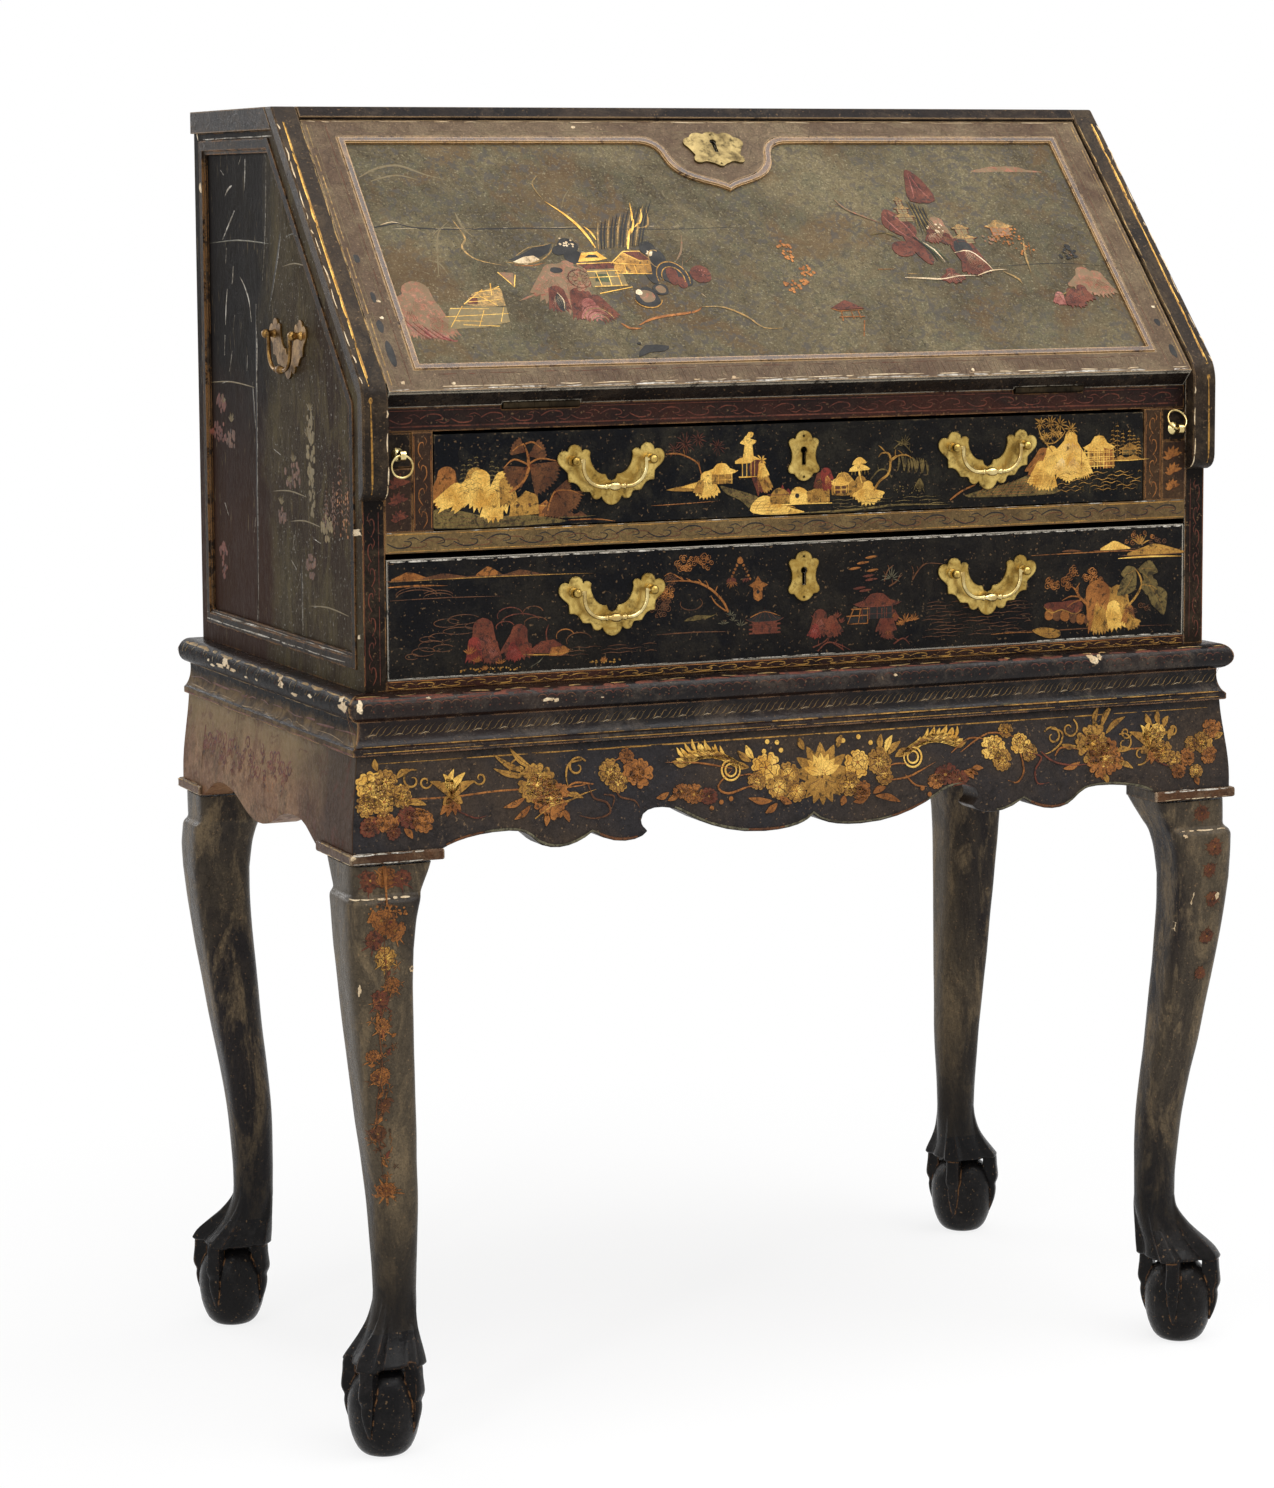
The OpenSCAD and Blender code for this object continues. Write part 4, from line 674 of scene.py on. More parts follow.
STILE_BROWN = lacquer("stile lacquer", (48, 33, 24), (80, 58, 35), (36, 25, 20), 0.7, 0.6, wear=0.34, gloss=0.4,
                      shine=0.1)
RAIL_RED = lacquer("writing rail lacquer", (32, 23, 21), (70, 38, 28), (56, 44, 36), 0.6, 0.5, wear=0.3,
                   gloss=0.34, shine=0.08)
APRON_BROWN = lacquer("apron lacquer", (44, 41, 42), (72, 58, 44), (30, 27, 27), 0.6, 0.7, wear=0.06,
                      edge=(120, 100, 78), gloss=0.3, shine=0.1)
SIDE_APRON = lacquer("side apron lacquer", (136, 104, 76), (92, 60, 44), (88, 78, 64), 0.8, 0.7, wear=0.06,
                     edge=(54, 40, 30), gloss=0.3, crossing=darker_front, shine=0.03)
LEG_DARK = lacquer("leg lacquer", (78, 68, 54), (32, 28, 29), (126, 108, 82), 0.95, 0.9, wear=0.1,
                   edge=(150, 118, 84), gloss=0.2, stretch=(1.4, 1.4, 0.45), crossing=black_feet, shine=0.1)
FOOT_BLACK = lacquer("foot lacquer", (17, 16, 17), (30, 27, 25), (52, 48, 46), 0.4, 0.4, wear=0.2,
                     edge=(120, 84, 52), gloss=0.1, shine=0.1)
COLLAR_WORN = lacquer("collar lacquer", (66, 45, 33), (104, 72, 48), (130, 108, 84), 0.7, 0.6, wear=0.5,
                      edge=(200, 178, 148), gloss=0.24, shine=0.06)
TOP_DARK = lacquer("top lacquer", (28, 25, 25), (52, 41, 33), (84, 72, 60), 0.6, 0.5, wear=0.42,
                   edge=(150, 122, 88), gloss=0.3, shine=0.04)
INSIDE_RED = lacquer("inside lacquer", (112, 34, 24), (84, 24, 18), (60, 20, 16), 0.6, 0.4, wear=0.25,
                     edge=(120, 84, 50), gloss=0.36)
BRASS_PLATE = brass_finish("old brass with painted rim shade", (212, 184, 108), (156, 126, 62), 0.3, 0.8, (74, 56, 28), 0.9)
BRASS_OLD = brass_finish("tarnished brass", (140, 122, 80), (88, 74, 47), 0.36, 0.9, (50, 42, 28))
BRASS_BROWN = brass_finish("browned brass", (164, 128, 74), (96, 70, 38), 0.34, 0.8, (44, 32, 20))
BRASS_CAST = brass_finish("polished brass", (226, 208, 150), (178, 150, 92), 0.2, 0.5)
BRASS_DARK = brass_finish("dull brass", (60, 50, 36), (40, 34, 26), 0.5, 0.8, (26, 22, 18))
OAK_X = bare_wood("oak along the case", (150, 118, 78), (118, 86, 52), "x")
OAK_Y = bare_wood("oak front to back", (150, 118, 78), (118, 86, 52), "y")
OAK_Z = bare_wood("oak upright", (140, 108, 70), (108, 78, 46), "z")

LEGS = [("leg_front_left", -1, -1), ("leg_front_right", 1, -1), ("leg_back_left", -1, 1),
        ("leg_back_right", 1, 1)]
for count, (node, side, end) in enumerate(LEGS):
    build_leg("carved_" + node, node, side, end, LEG_DARK, 7.3 * count)

OUT_OF_SLOPE = Vector((0, -math.sin(SLOPE_ANGLE), math.cos(SLOPE_ANGLE)))
FORWARD, LEFT, RIGHT = Vector((0, -1, 0)), Vector((-1, 0, 0)), Vector((1, 0, 0))
SOFT_BOARDS = [
    ("apron_front", APRON_BROWN, 1.4, "lacquer_black",
     ()), ("apron_left", SIDE_APRON, 1.4, "lacquer_brown", ()),
    ("apron_right", SIDE_APRON, 1.4, "lacquer_brown", ()), ("stand_moulding", BLACK_GLOSS, 0.8, "lacquer_black",
     ((FORWARD, MOULDING_FRONT), (LEFT, MOULDING_SIDE), (RIGHT, MOULDING_SIDE))),
    ("knee_collars", COLLAR_WORN, 1.6, "lacquer_black", ()),
    ("cheek_left", FALL_EDGE, 1.0, "lacquer_brown", ((LEFT, PANEL_SIDE), (FORWARD, CASE_DARK))),
    ("cheek_right", FALL_EDGE, 1.0, "lacquer_brown", ((RIGHT, PANEL_SIDE), (FORWARD, CASE_DARK))),
    ("cheek_lips", LIP_BLACK, 1.6, "lacquer_black",
     ()), ("side_panel_mouldings", CASE_DARK, 0.5, "lacquer_brown", ()),
    ("top_board", TOP_DARK, 1.4, "lacquer_black", ()), ("base_rail", RAIL_RED, 0.5, "lacquer_black", ()),
    ("writing_board", RAIL_RED, 0.8, "lacquer_black",
     ()), ("drawer_blade", BLADE_OCHRE, 0.6, "lacquer_brown", ()),
    ("front_stiles", STILE_BROWN, 0.5, "lacquer_brown", ()),
    ("fall_board", FALL_EDGE, 1.0, "lacquer_brown", ((OUT_OF_SLOPE, FALL_FIELD), (-OUT_OF_SLOPE, INSIDE_RED))),
    ("fall_border_frame", FALL_EDGE, 0.9, "lacquer_brown", ((OUT_OF_SLOPE, FALL_BORDER),)),
    ("fall_bead", BEAD_GOLD, 0.4, "gilt_moulding",
     ()), ("upper_drawer_front", UPPER_GROUND, 0.9, "lacquer_black", ()),
    ("lower_drawer_front", LOWER_GROUND, 1.0, "lacquer_black",
     ()), ("loper_left", CASE_DARK, 0.9, "lacquer_black", ()),
    ("loper_right", CASE_DARK, 0.9, "lacquer_black", ()),
]
for node, material, width, slot, sides in SOFT_BOARDS:
    softened("worked_" + node, node, material, width, seams=SEAMS if "apron" in node else (), sides=sides)

BRASS_WORK = ["upper_handle_mounts", "lower_handle_mounts", "side_handle_mounts", "upper_escutcheon",
              "lower_escutcheon", "fall_escutcheon", "upper_bail_left", "upper_bail_right", "lower_bail_left",
              "lower_bail_right", "side_bail_left", "side_bail_right", "loper_left_post", "loper_right_post",
              "loper_left_ring", "loper_right_ring"]
for node in BRASS_WORK:
    cast = "bail" in node or "ring" in node or "post" in node
    finish = BRASS_CAST if cast else BRASS_PLATE
    if "side" in node:
        finish = BRASS_BROWN
    elif node == "fall_escutcheon":
        finish = BRASS_OLD
    softened("worked_" + node, node, finish, 0 if cast else 0.35)

for node, material in [
    ("stand_back_rail", OAK_X), ("stand_bearers", OAK_Y), ("back_boards", OAK_Z), ("bottom_board", OAK_X),
    ("runners_and_guides", OAK_Y), ("gallery", INSIDE_RED), ("hinge_case_leaves", BRASS_DARK),
    ("hinge_pins", BRASS_DARK), ("hinge_fall_leaves", BRASS_DARK), ("fall_lock", BRASS_PLATE),
    ("upper_drawer_box", OAK_Y), ("upper_drawer_bottom", OAK_X), ("upper_lock", BRASS_PLATE),
    ("lower_drawer_box", OAK_Y), ("lower_drawer_bottom", OAK_X), ("lower_lock", BRASS_PLATE),
    ("small_drawer_left", INSIDE_RED), ("small_drawer_middle", INSIDE_RED), ("small_drawer_right", INSIDE_RED),
]:
    finish_node(node, material)


# Painted work

PAINTS = {
    "gold": gilding("bright gold", (232, 190, 98), (190, 138, 56), (70, 50, 26), wear=0.25),
    "ochre": gilding("worn gold", (176, 132, 62), (132, 94, 42), (50, 38, 24), wear=0.4),
    "olive": gilding("gold gone olive", (116, 98, 56), (84, 70, 40), (40, 34, 24), wear=0.45),
    "amber": gilding("copper gold", (158, 102, 50), (116, 70, 34), (46, 32, 21), wear=0.38),
    "brown": gilding("brown gold", (104, 66, 38), (76, 46, 28), (34, 26, 20), 0.2, 0.4),
    "red": gilding("red paint", (122, 46, 36), (90, 34, 27), (46, 25, 20), 0.0, 0.38, 0.5),
    "rust": gilding("old red paint", (106, 54, 35), (78, 37, 26), (38, 24, 19), 0.0, 0.42, 0.5),
    "pink": gilding("faded red paint", (158, 104, 92), (124, 66, 58), (70, 40, 34), 0.0, 0.35, 0.55),
    "green": gilding("green paint", (74, 82, 54), (46, 54, 38), (28, 30, 24), 0.0, 0.35, 0.55),
    "black": gilding("black paint", (34, 31, 28), (20, 18, 17), (52, 48, 38), 0.0, 0.3, 0.45),
    "cream": gilding("cream paint", (222, 202, 168), (186, 158, 120), (96, 80, 58), 0.0, 0.3, 0.5),
    "white": gilding("bared chalk and painted glint", (206, 200, 188), (150, 140, 124), (70, 62, 52), 0.0, 0.5, 0.6),
    "tan": gilding("tan gold", (176, 140, 84), (140, 108, 62), (104, 90, 62), 0.15, 0.55, 0.5),
    "sand": gilding("thin gold", (140, 118, 76), (116, 98, 64), (110, 98, 70), 0.1, 0.62, 0.5),
    "faded": gilding("pale red paint", (156, 108, 84), (136, 84, 64), (112, 96, 70), 0.0, 0.62, 0.55),
    "drab": gilding("thin brown paint", (112, 92, 60), (98, 80, 54), (112, 100, 74), 0.0, 0.68, 0.55),
    "grey": gilding("grey wash", (104, 98, 76), (80, 74, 56), (48, 44, 34), 0.05, 0.5, 0.5),
}


def curved(points, steps=4, closed=False):
    """Points on a smooth line through the given points."""
    count = len(points)
    if count < 3:
        return list(points)
    result = []
    for i in range(count if closed else count - 1):
        if closed:
            a, b, c, d = (points[(i + k) % count] for k in (-1, 0, 1, 2))
        else:
            a, b, c, d = points[max(i - 1, 0)], points[i], points[i + 1], points[min(i + 2, count - 1)]
        for step in range(steps):
            t = step / steps
            result.append(tuple(
                0.5 * (2 * b[k] + (c[k] - a[k]) * t + (2 * a[k] - 5 * b[k] + 4 * c[k] - d[k]) * t * t
                       + (3 * b[k] - a[k] - 3 * c[k] + d[k]) * t ** 3) for k in (0, 1)))
    if not closed:
        result.append(tuple(points[-1]))
    return result


def make_running_motif():
    """A geometry tree that lays its object's mesh at equal steps along a line."""
    tree = bpy.data.node_groups.new("running motif", "GeometryNodeTree")
    for title, kind in (("Motif", "Geometry"), ("Count", "Int"), ("Step", "Float"), ("Paint", "Material")):
        tree.interface.new_socket(title, in_out="INPUT", socket_type="NodeSocket" + kind)
    tree.interface.new_socket("Row", in_out="OUTPUT", socket_type="NodeSocketGeometry")
    given, step, line, lay, real, paint, out = (tree.nodes.new(kind) for kind in (
        "NodeGroupInput", "ShaderNodeCombineXYZ", "GeometryNodeMeshLine", "GeometryNodeInstanceOnPoints",
        "GeometryNodeRealizeInstances", "GeometryNodeSetMaterial", "NodeGroupOutput"))
    for source, target in (
            (given.outputs["Step"], step.inputs["X"]), (given.outputs["Count"], line.inputs["Count"]),
            (step.outputs[0], line.inputs["Offset"]), (line.outputs[0], lay.inputs["Points"]),
            (given.outputs["Motif"], lay.inputs["Instance"]), (lay.outputs[0], real.inputs[0]),
            (real.outputs[0], paint.inputs["Geometry"]), (given.outputs["Paint"], paint.inputs["Material"]),
            (paint.outputs[0], out.inputs[0])):
        tree.links.new(source, target)
    return tree


RUNNING_MOTIF = make_running_motif()


def around(x, z, angle, across, up=None):
    """The point of an oval at an angle."""
    return x + across * math.cos(angle), z + (across if up is None else up) * math.sin(angle)


def read_word(word):
    """One word of a drawing list: a point as x,z, a pair as a:b, a number, none, or a colour's name."""
    for mark in ",:":
        if mark in word:
            return tuple(read_word(part) for part in word.split(mark) if part)
    if word == "none":
        return None
    if word[-1].isalpha():
        return word
    return float(word) if "." in word else int(word)


# Thickness of the paint: the first layer, each further patch, the most there may be, the part
# sunk in the ground, the low edge and the ridge of a brush stroke, and the top of a dot
FIRST, LAYER, THICKEST, SUNK, BRUSH_EDGE, RIDGE, DOT_TOP = 0.08, 0.006, 0.7, 0.04, 0.05, 0.09, 0.1


class Paintwork:
    """Painted work on one surface, in that surface's own millimetres across and up it."""

    def __init__(self, name, place, body, seed=1, mirrored=False):
        self.name, self.place, self.body, self.mirrored = name, place, body, mirrored
        self.points, self.faces, self.kinds, self.used = [], [], [], []
        self.lift = FIRST
        self.chance = random.Random(seed)

    def add(self, rows, faces, colour):
        start = len(self.points)
        if colour not in self.used:
            self.used.append(colour)
        self.points.extend(rows)
        self.faces.extend([start + i for i in face] for face in faces)
        self.kinds.extend([self.used.index(colour)] * len(faces))

    def fill(self, outline, colour, smooth=3):
        """A raised patch with the given outline, drawn counter-clockwise or clockwise."""
        self.lift = min(self.lift + LAYER, THICKEST)
        points = curved(outline, smooth, True) if smooth > 1 else list(outline)
        if sum(a[0] * b[1] - b[0] * a[1] for a, b in zip(points, points[1:] + points[:1])) < 0:
            points.reverse()
        count = len(points)
        rows = [(x, z, self.lift) for x, z in points] + [(x, z, -SUNK) for x, z in points]
        faces = []
        for a, b, c in tessellate_polygon([[Vector((x, z, 0)) for x, z in points]]):
            ax, bx, cx = points[a], points[b], points[c]
            if (bx[0] - ax[0]) * (cx[1] - ax[1]) - (bx[1] - ax[1]) * (cx[0] - ax[0]) < 0:
                b, c = c, b
            faces += [(a, b, c), (a + count, c + count, b + count)]
        for i in range(count):
            j = (i + 1) % count
            faces.append((i + count, j + count, j, i))
        self.add(rows, faces, colour)

    def stroke(self, points, width, colour, smooth=4, ends=(0.35, 0.1)):
        """A brush stroke, thickest in the middle; ends gives its share of width at start and end."""
        line = curved(points, smooth) if smooth > 1 else list(points)
        rows = []
        last = len(line) - 1
        base = self.lift - BRUSH_EDGE
        for i, (x, z) in enumerate(line):
            before, after = line[max(i - 1, 0)], line[min(i + 1, last)]
            dx, dz = after[0] - before[0], after[1] - before[1]
            length = math.hypot(dx, dz) or 1.0
            t = i / last
            swell = min(1.0, ends[0] + (1 - ends[0]) * t * 3.5, ends[1] + (1 - ends[1]) * (1 - t) * 2.5)
            half = width * swell / 2
            nx, nz = -dz / length * half, dx / length * half
            rows += [(x + nx, z + nz, base), (x, z, self.lift + RIDGE), (x - nx, z - nz, base)]
        faces = [(0, 2, 1), (3 * last, 3 * last + 1, 3 * last + 2)]
        for i in range(last):
            a, b = 3 * i, 3 * i + 3
            faces += [(a, a + 1, b + 1, b), (a + 1, a + 2, b + 2, b + 1), (a + 2, a, b, b + 2)]
        self.add(rows, faces, colour)

    def dot(self, x, z, radius, colour, sides=7):
        turn = self.chance.random() * 6
        rim = [(*around(x, z, turn + 2 * math.pi * i / sides, radius),
                self.lift - BRUSH_EDGE) for i in range(sides)]
        faces = [(i, (i + 1) % sides, sides) for i in range(sides)] + [tuple(range(sides - 1, -1, -1))]
        self.add(rim + [(x, z, self.lift + DOT_TOP)], faces, colour)

    def repeat(self, motif, count, step, colour):
        """Adds what is painted on another sheet, laid at equal steps by the geometry tree."""
        mesh = bpy.data.meshes.new("motif")
        mesh.from_pydata(motif.points, [], motif.faces)
        holder = placed("motif", mesh)
        row = holder.modifiers.new("row", "NODES")
        row.node_group = RUNNING_MOTIF
        values = {"Count": count, "Step": step, "Paint": PAINTS[colour]}
        for socket in RUNNING_MOTIF.interface.items_tree:
            if socket.name in values:
                row[socket.identifier] = values[socket.name]
        laid = bpy.data.meshes.new_from_object(holder.evaluated_get(bpy.context.evaluated_depsgraph_get()))
        self.add([tuple(vert.co) for vert in laid.vertices], [tuple(face.vertices) for face in laid.polygons],
                 colour)
        bpy.data.objects.remove(holder)
        for spent in (mesh, laid):
            bpy.data.meshes.remove(spent)

    def draw(self, text):
        """Draws a list of motifs, each its name and then its values in order, with points as x,z.

        Places parted by | share the values that follow the last of them.
        """
        items = []
        for word in text.split():
            if word in self.MOTIFS:
                items.append((self.MOTIFS[word], [[]]))
            elif word == "|":
                items[-1][1].append([])
            else:
                items[-1][1][-1].append(word)
        for motif, places in items:
            pointed = "," in places[0][0]
            counts = [sum("," in word for word in place) if pointed else len(places[0]) for place in places]
            shared = [read_word(word) for word in places[-1][counts[-1]:]]
            for place, count in zip(places, counts):
                own = [read_word(word) for word in place[:count]]
                motif(self, *([own] if pointed else own), *shared)

    def build(self, fine=None):
        """Lays the work on its surface; fine is the longest edge allowed where the surface is curved."""
        mesh = bpy.data.meshes.new(self.name)
        mesh.from_pydata(self.points, [], self.faces)
        mesh.polygons.foreach_set("material_index", self.kinds)
        bm = bmesh.new()
        bm.from_mesh(mesh)
        for _ in range(4 if fine else 0):
            long_edges = [edge for edge in bm.edges if edge.calc_length() > fine]
            bmesh.ops.subdivide_edges(bm, edges=long_edges, cuts=1)
            bmesh.ops.triangulate(bm, faces=[face for face in bm.faces if len(face.verts) > 3])
        for vert in bm.verts:
            vert.co = self.place(*vert.co)
        if self.mirrored:
            bmesh.ops.reverse_faces(bm, faces=bm.faces[:])
        bpy.data.meshes.remove(mesh)
        return link(bm, self.name, self.body, [PAINTS[colour] for colour in self.used], ())

    # Random amounts

    def some(self, low, high):
        return self.chance.uniform(low, high)

    def wander(self, amount):
        return self.some(-amount, amount)

    def anywhere(self, x, z, across, up):
        """A random point inside an oval."""
        angle, far = self.some(0, 2 * math.pi), math.sqrt(self.chance.random())
        return around(x, z, angle, across * far, up * far)

    # Motifs. Places are in the surface's own millimetres.

    def ring(self, x, z, across, up, colour, width=0.6, start=0, end=360):
        """Part of an oval drawn with the brush."""
        self.stroke([around(x, z, math.radians(start + (end - start) * i / 10), across, up) for i in range(11)],
                    width, colour, 2, (0.8, 0.6))

    def oval(self, x, z, across, up, colour):
        """A round patch; the pale ones are chips, so their rims are ragged."""
        ragged = colour in ("white", "cream")
        sides, shortest, longest = (13, 0.55, 1.2) if ragged else (9, 0.86, 1.1)
        rim = []
        for i in range(sides):
            far = self.some(shortest, longest)
            rim.append(around(x, z, 2 * math.pi * i / sides, across * far, up * far))
        self.fill(rim, colour, 1 if ragged else 3)

    def blossoms(self, x, z, across, up, count, size, colour):
        """Small round flower heads scattered in an oval."""
        for _ in range(count):
            head = self.anywhere(x, z, across, up)
            reach = size * self.some(0.8, 1.2)
            self.ring(*head, reach, reach, colour, 0.5, self.some(0, 90), self.some(300, 420))
            self.dot(*head, reach * 0.3, colour, 5)

    def flakes(self, x0, x1, z, colour, width=0.9, gap=6.0, length=14.0, drift=0.5):
        """A broken line where a sharp edge has lost its lacquer."""
        x = x0
        while x < x1 - 2:
            end = min(x + length * self.some(0.2, 1.4), x1)
            points = [(along, z + self.wander(drift)) for along in (x, (x + end) / 2, end)]
            self.stroke(points, width * self.some(0.5, 1.3), colour, 2, (0.5, 0.4))
            x = end + gap * self.chance.random()

    def dabs(self, x, z, across, up, count, size, colour):
        """A cloud of small dabs inside an oval."""
        for _ in range(count):
            self.dot(*self.anywhere(x, z, across, up), size * self.some(0.6, 1.2), colour, 6)

    def spray(self, x, z, reach, count, colour, low=0, high=360, width=0.8):
        """Thin leaves that spread from one point."""
        for i in range(count):
            angle = math.radians(low + (high - low) * (i + 0.5 + self.wander(0.3)) / count)
            far = reach * self.some(0.7, 1.1)
            self.stroke([around(x, z, angle, 0.12 * far), around(x, z + 0.06 * far, angle, 0.6 * far),
                         around(x, z, angle, far)], width, colour, 2)

    def clump(self, x, z, reach, colour, leaves=9, width=0.9):
        """A round tuft of foliage: a ring of small leaves about a dotted heart."""
        self.spray(x, z, reach, leaves, colour, width=width)
        self.dabs(x, z, reach * 0.5, reach * 0.5, 4, width * 0.6, colour)

    def hills(self, x0, x1, z, up, colour, line=None, crests=3):
        """A low range of hills on a ground line."""
        points = [(x0, z)]
        for i in range(crests):
            a, b = x0 + (x1 - x0) * i / crests, x0 + (x1 - x0) * (i + 1) / crests
            tall = up * (1 - 0.35 * abs(i - (crests - 1) / 2)) * self.some(0.75, 1.05)
            points += [(a + (b - a) * across, z + tall * share)
                       for across, share in ((0.3, 0.75), (0.5, 1), (0.85, 0.45))]
        self.fill(points + [(x1, z)], colour, 3)
        self.stroke([(x0 - 6, z), ((x0 + x1) / 2, z - 0.4), (x1 + 8, z + 0.2)], 0.9, line or colour)

    def ground(self, points, colour, line, spacing=3.2):
        """A bank with the given outline, crossed by fine level lines."""
        self.fill(points, colour)
        high = max(z for _, z in points)
        z = min(z for _, z in points) + spacing * 0.5
        while z < high:
            inside = sorted(a[0] + (b[0] - a[0]) * (z - a[1]) / (b[1] - a[1])
                            for a, b in zip(points, points[1:] + points[:1]) if (a[1] - z) * (b[1] - z) < 0)
            for a, b in zip(inside[::2], inside[1::2]):
                self.stroke([(a + 1, z + self.wander(0.3)), ((a + b) / 2, z + self.wander(0.5)), (b - 1, z)],
                            0.45, line)
            z += spacing

    def ripples(self, x0, x1, z, rows, colour, step=9.0, width=0.5, rise=0.8, gap=2.6):
        """Water, as rows of broken wavy lines."""
        for row in range(rows):
            x = x0 + self.some(0, step)
            while x < x1 - 3:
                end = min(x + step * self.some(1.2, 3.2), x1)
                count = max(int((end - x) / step * 2), 2)
                self.stroke([(x + (end - x) * k / count, z - row * gap + (rise if k % 2 else -rise) * 0.5)
                             for k in range(count + 1)], width, colour, 3)
                x = end + step * self.some(0.3, 1.0)

    def branches(self, points, width, colour, twigs=0, reach=8.0, low=30, high=150):
        """A trunk or branch with a few twigs on it."""
        self.stroke(points, width, colour, 4, (1.0, 0.25))
        line = curved(points, 4)
        for i in range(twigs):
            x, z = line[int((0.35 + 0.6 * i / max(twigs, 1)) * (len(line) - 1))]
            angle = math.radians(self.some(low, high))
            far = reach * self.some(0.6, 1.1)
            self.stroke([(x, z), around(x, z, angle, far * 0.5, far * 0.6), around(x, z, angle, far)],
                        width * 0.5, colour, 3)

    def fan(self, x, z, angle, reach, spread, face, line, ribs=6):
        """A fan-shaped leaf on a short stalk."""
        middle, wide = math.radians(angle), math.radians(spread)
        self.fill([(x,
                    z)] + [around(x, z, middle + wide * (i / (ribs * 2) - 0.5), reach * (1.0 if i % 2 else 0.9))
                              for i in range(ribs * 2 + 1)], face, 1)
        for i in range(ribs):
            self.stroke([(x, z), around(x, z, middle + wide * ((i + 0.5) / ribs - 0.5), reach * 0.95)], 0.5,
                        line, 1)

    def pine(self, x, z, up, reach, colour, tiers=6):
        self.stroke([(x, z), (x + self.wander(0.8), z + up)], 0.8, colour)
        for i in range(tiers):
            level = z + up * (0.25 + 0.75 * i / tiers)
            far = reach * (1 - 0.75 * i / tiers)
            for side in (-1, 1):
                self.stroke([(x, level + far * 0.35), (x + side * far * 0.6, level + far * 0.15),
                             (x + side * far, level - far * 0.1)], 0.8, colour, 2)

    def pavilion(self, x, z, across, up, roof, wall, line, tiers=1, posts=4):
        """An open garden house: posts and railing below one or more curved roofs."""
        tall = up / tiers
        for tier in range(tiers):
            half, level = across / 2 * (1 - 0.3 * tier), z + tall * tier
            eave = level + tall * 0.5

            def at(out, height, base=eave):
                return x + half * out, base + tall * height
            self.fill([at(-0.75, 0, level), at(0.75, 0, level), at(0.75, 0), at(-0.75, 0)], wall, 1)
            for i in range(posts):
                px = x + half * 0.75 * (2 * i / (posts - 1) - 1)
                self.stroke([(px, level), (px, eave + 0.5)], 0.8, line, 1, (1, 1))
            self.stroke([at(-0.8, 0.2, level), at(0.8, 0.2, level)], 0.5, line, 1, (1, 1))
            self.fill([at(-1.15, 0.12), at(-0.7, 0), at(0.7, 0), at(1.15, 0.12), at(0.62, 0.26), at(0.3, 0.5),
                       at(-0.3, 0.5), at(-0.62, 0.26)], roof, 2)
            for a in (-1, -0.5, 0, 0.5, 1):
                top = at(0.28 * a, 0.5)
                self.stroke([(top[0], top[1] - 0.3), at(0.55 * a, 0.24), at(0.85 * a, 0.06)], 0.45, line, 2)
            self.stroke([at(-1.2, 0.14), at(-0.7, 0), at(0.7, 0), at(1.2, 0.14)], 0.7, line, 3, (0.6, 0.6))
        self.stroke([(x, z + up), (x, z + up * 1.12)], 0.8, line, 1)

    def leaf(self, x, z, angle, length, half, colour, vein=None, bend=0.15):
        """A pointed leaf with its midrib."""
        turn = math.radians(angle)
        c, s = math.cos(turn), math.sin(turn)

        def at(along, off):
            off += bend * length * math.sin(along * math.pi) * 0.6
            return x + length * along * c - off * s, z + length * along * s + off * c
        wide = ((0.3, 0.8), (0.55, 1), (0.8, 0.55))
        self.fill([at(0, 0)] + [at(along, half * out) for along, out in wide] + [at(1, 0)]
                  + [at(along, -half * out) for along, out in reversed(wide)], colour, 2)
        if vein:
            self.stroke([at(0.05, 0), at(0.5, 0), at(0.92, 0)], 0.5, vein, 2)

    def flower(self, x, z, reach, petals, colour, line, heart="ochre", turn=0.0, flat=1.0):
        """A full flower: two rings of notched petals, lined and veined. A turn of none is left to chance."""
        if turn is None:
            turn = self.chance.random() * 3
        for tier, far in enumerate((reach, reach * 0.58)):
            count = petals + 1 - tier
            for i in range(count):
                angle = turn + 2 * math.pi * (i + tier * 0.5) / count + self.wander(0.12)
                wide, size = math.pi / count * 1.12, far * self.some(0.86, 1.12)

                def at(*places):
                    return [around(x, z, angle + off * wide, size * out,
                                   size * out * flat) for out, off in places]
                self.fill(at((0.15, 0), (0.6, 0.8), (0.92, 0.78), (1.02, 0.35), (0.9, 0), (1.02, -0.35),
                             (0.92, -0.8), (0.6, -0.85)), "gold" if tier and colour == "ochre" else colour, 2)
                self.stroke(at((0.3, -0.9), (0.72, -0.9), (0.86, -0.45), (0.74, 0), (0.86, 0.45), (0.72, 0.9),
                               (0.3, 0.9)), 0.7, line, 2, (0.6, 0.6))
                self.stroke(at((0.25, 0), (0.62, 0)), 0.6, line, 1)
        self.dot(x, z, reach * 0.14, heart, 7)

    def bloom(self, x, z, reach, colour, line, tiers=3, low=-20, high=200):
        """A full flower seen from the side: rows of petals standing in a fan."""
        for tier in range(tiers):
            count = 7 - tier
            for i in range(count):
                self.leaf(x, z, low + (high - low) * (i + 0.5) / count, reach * (1 - 0.26 * tier), reach * 0.2,
                          colour, line, 0.0)
        self.dabs(x, z + reach * 0.12, reach * 0.2, reach * 0.14, 6, 0.7, line)

    def curl(self, x, z, reach, angle, hand, colour, width=0.9, turns=1.1):
        """A tendril that rolls up towards its end."""
        self.stroke([around(x, z, math.radians(angle) + hand * 2 * math.pi * turns * t / 12,
                            reach * (1 - 0.8 * t / 12))
                     for t in range(13)], width, colour, 2, (0.8, 0.4))

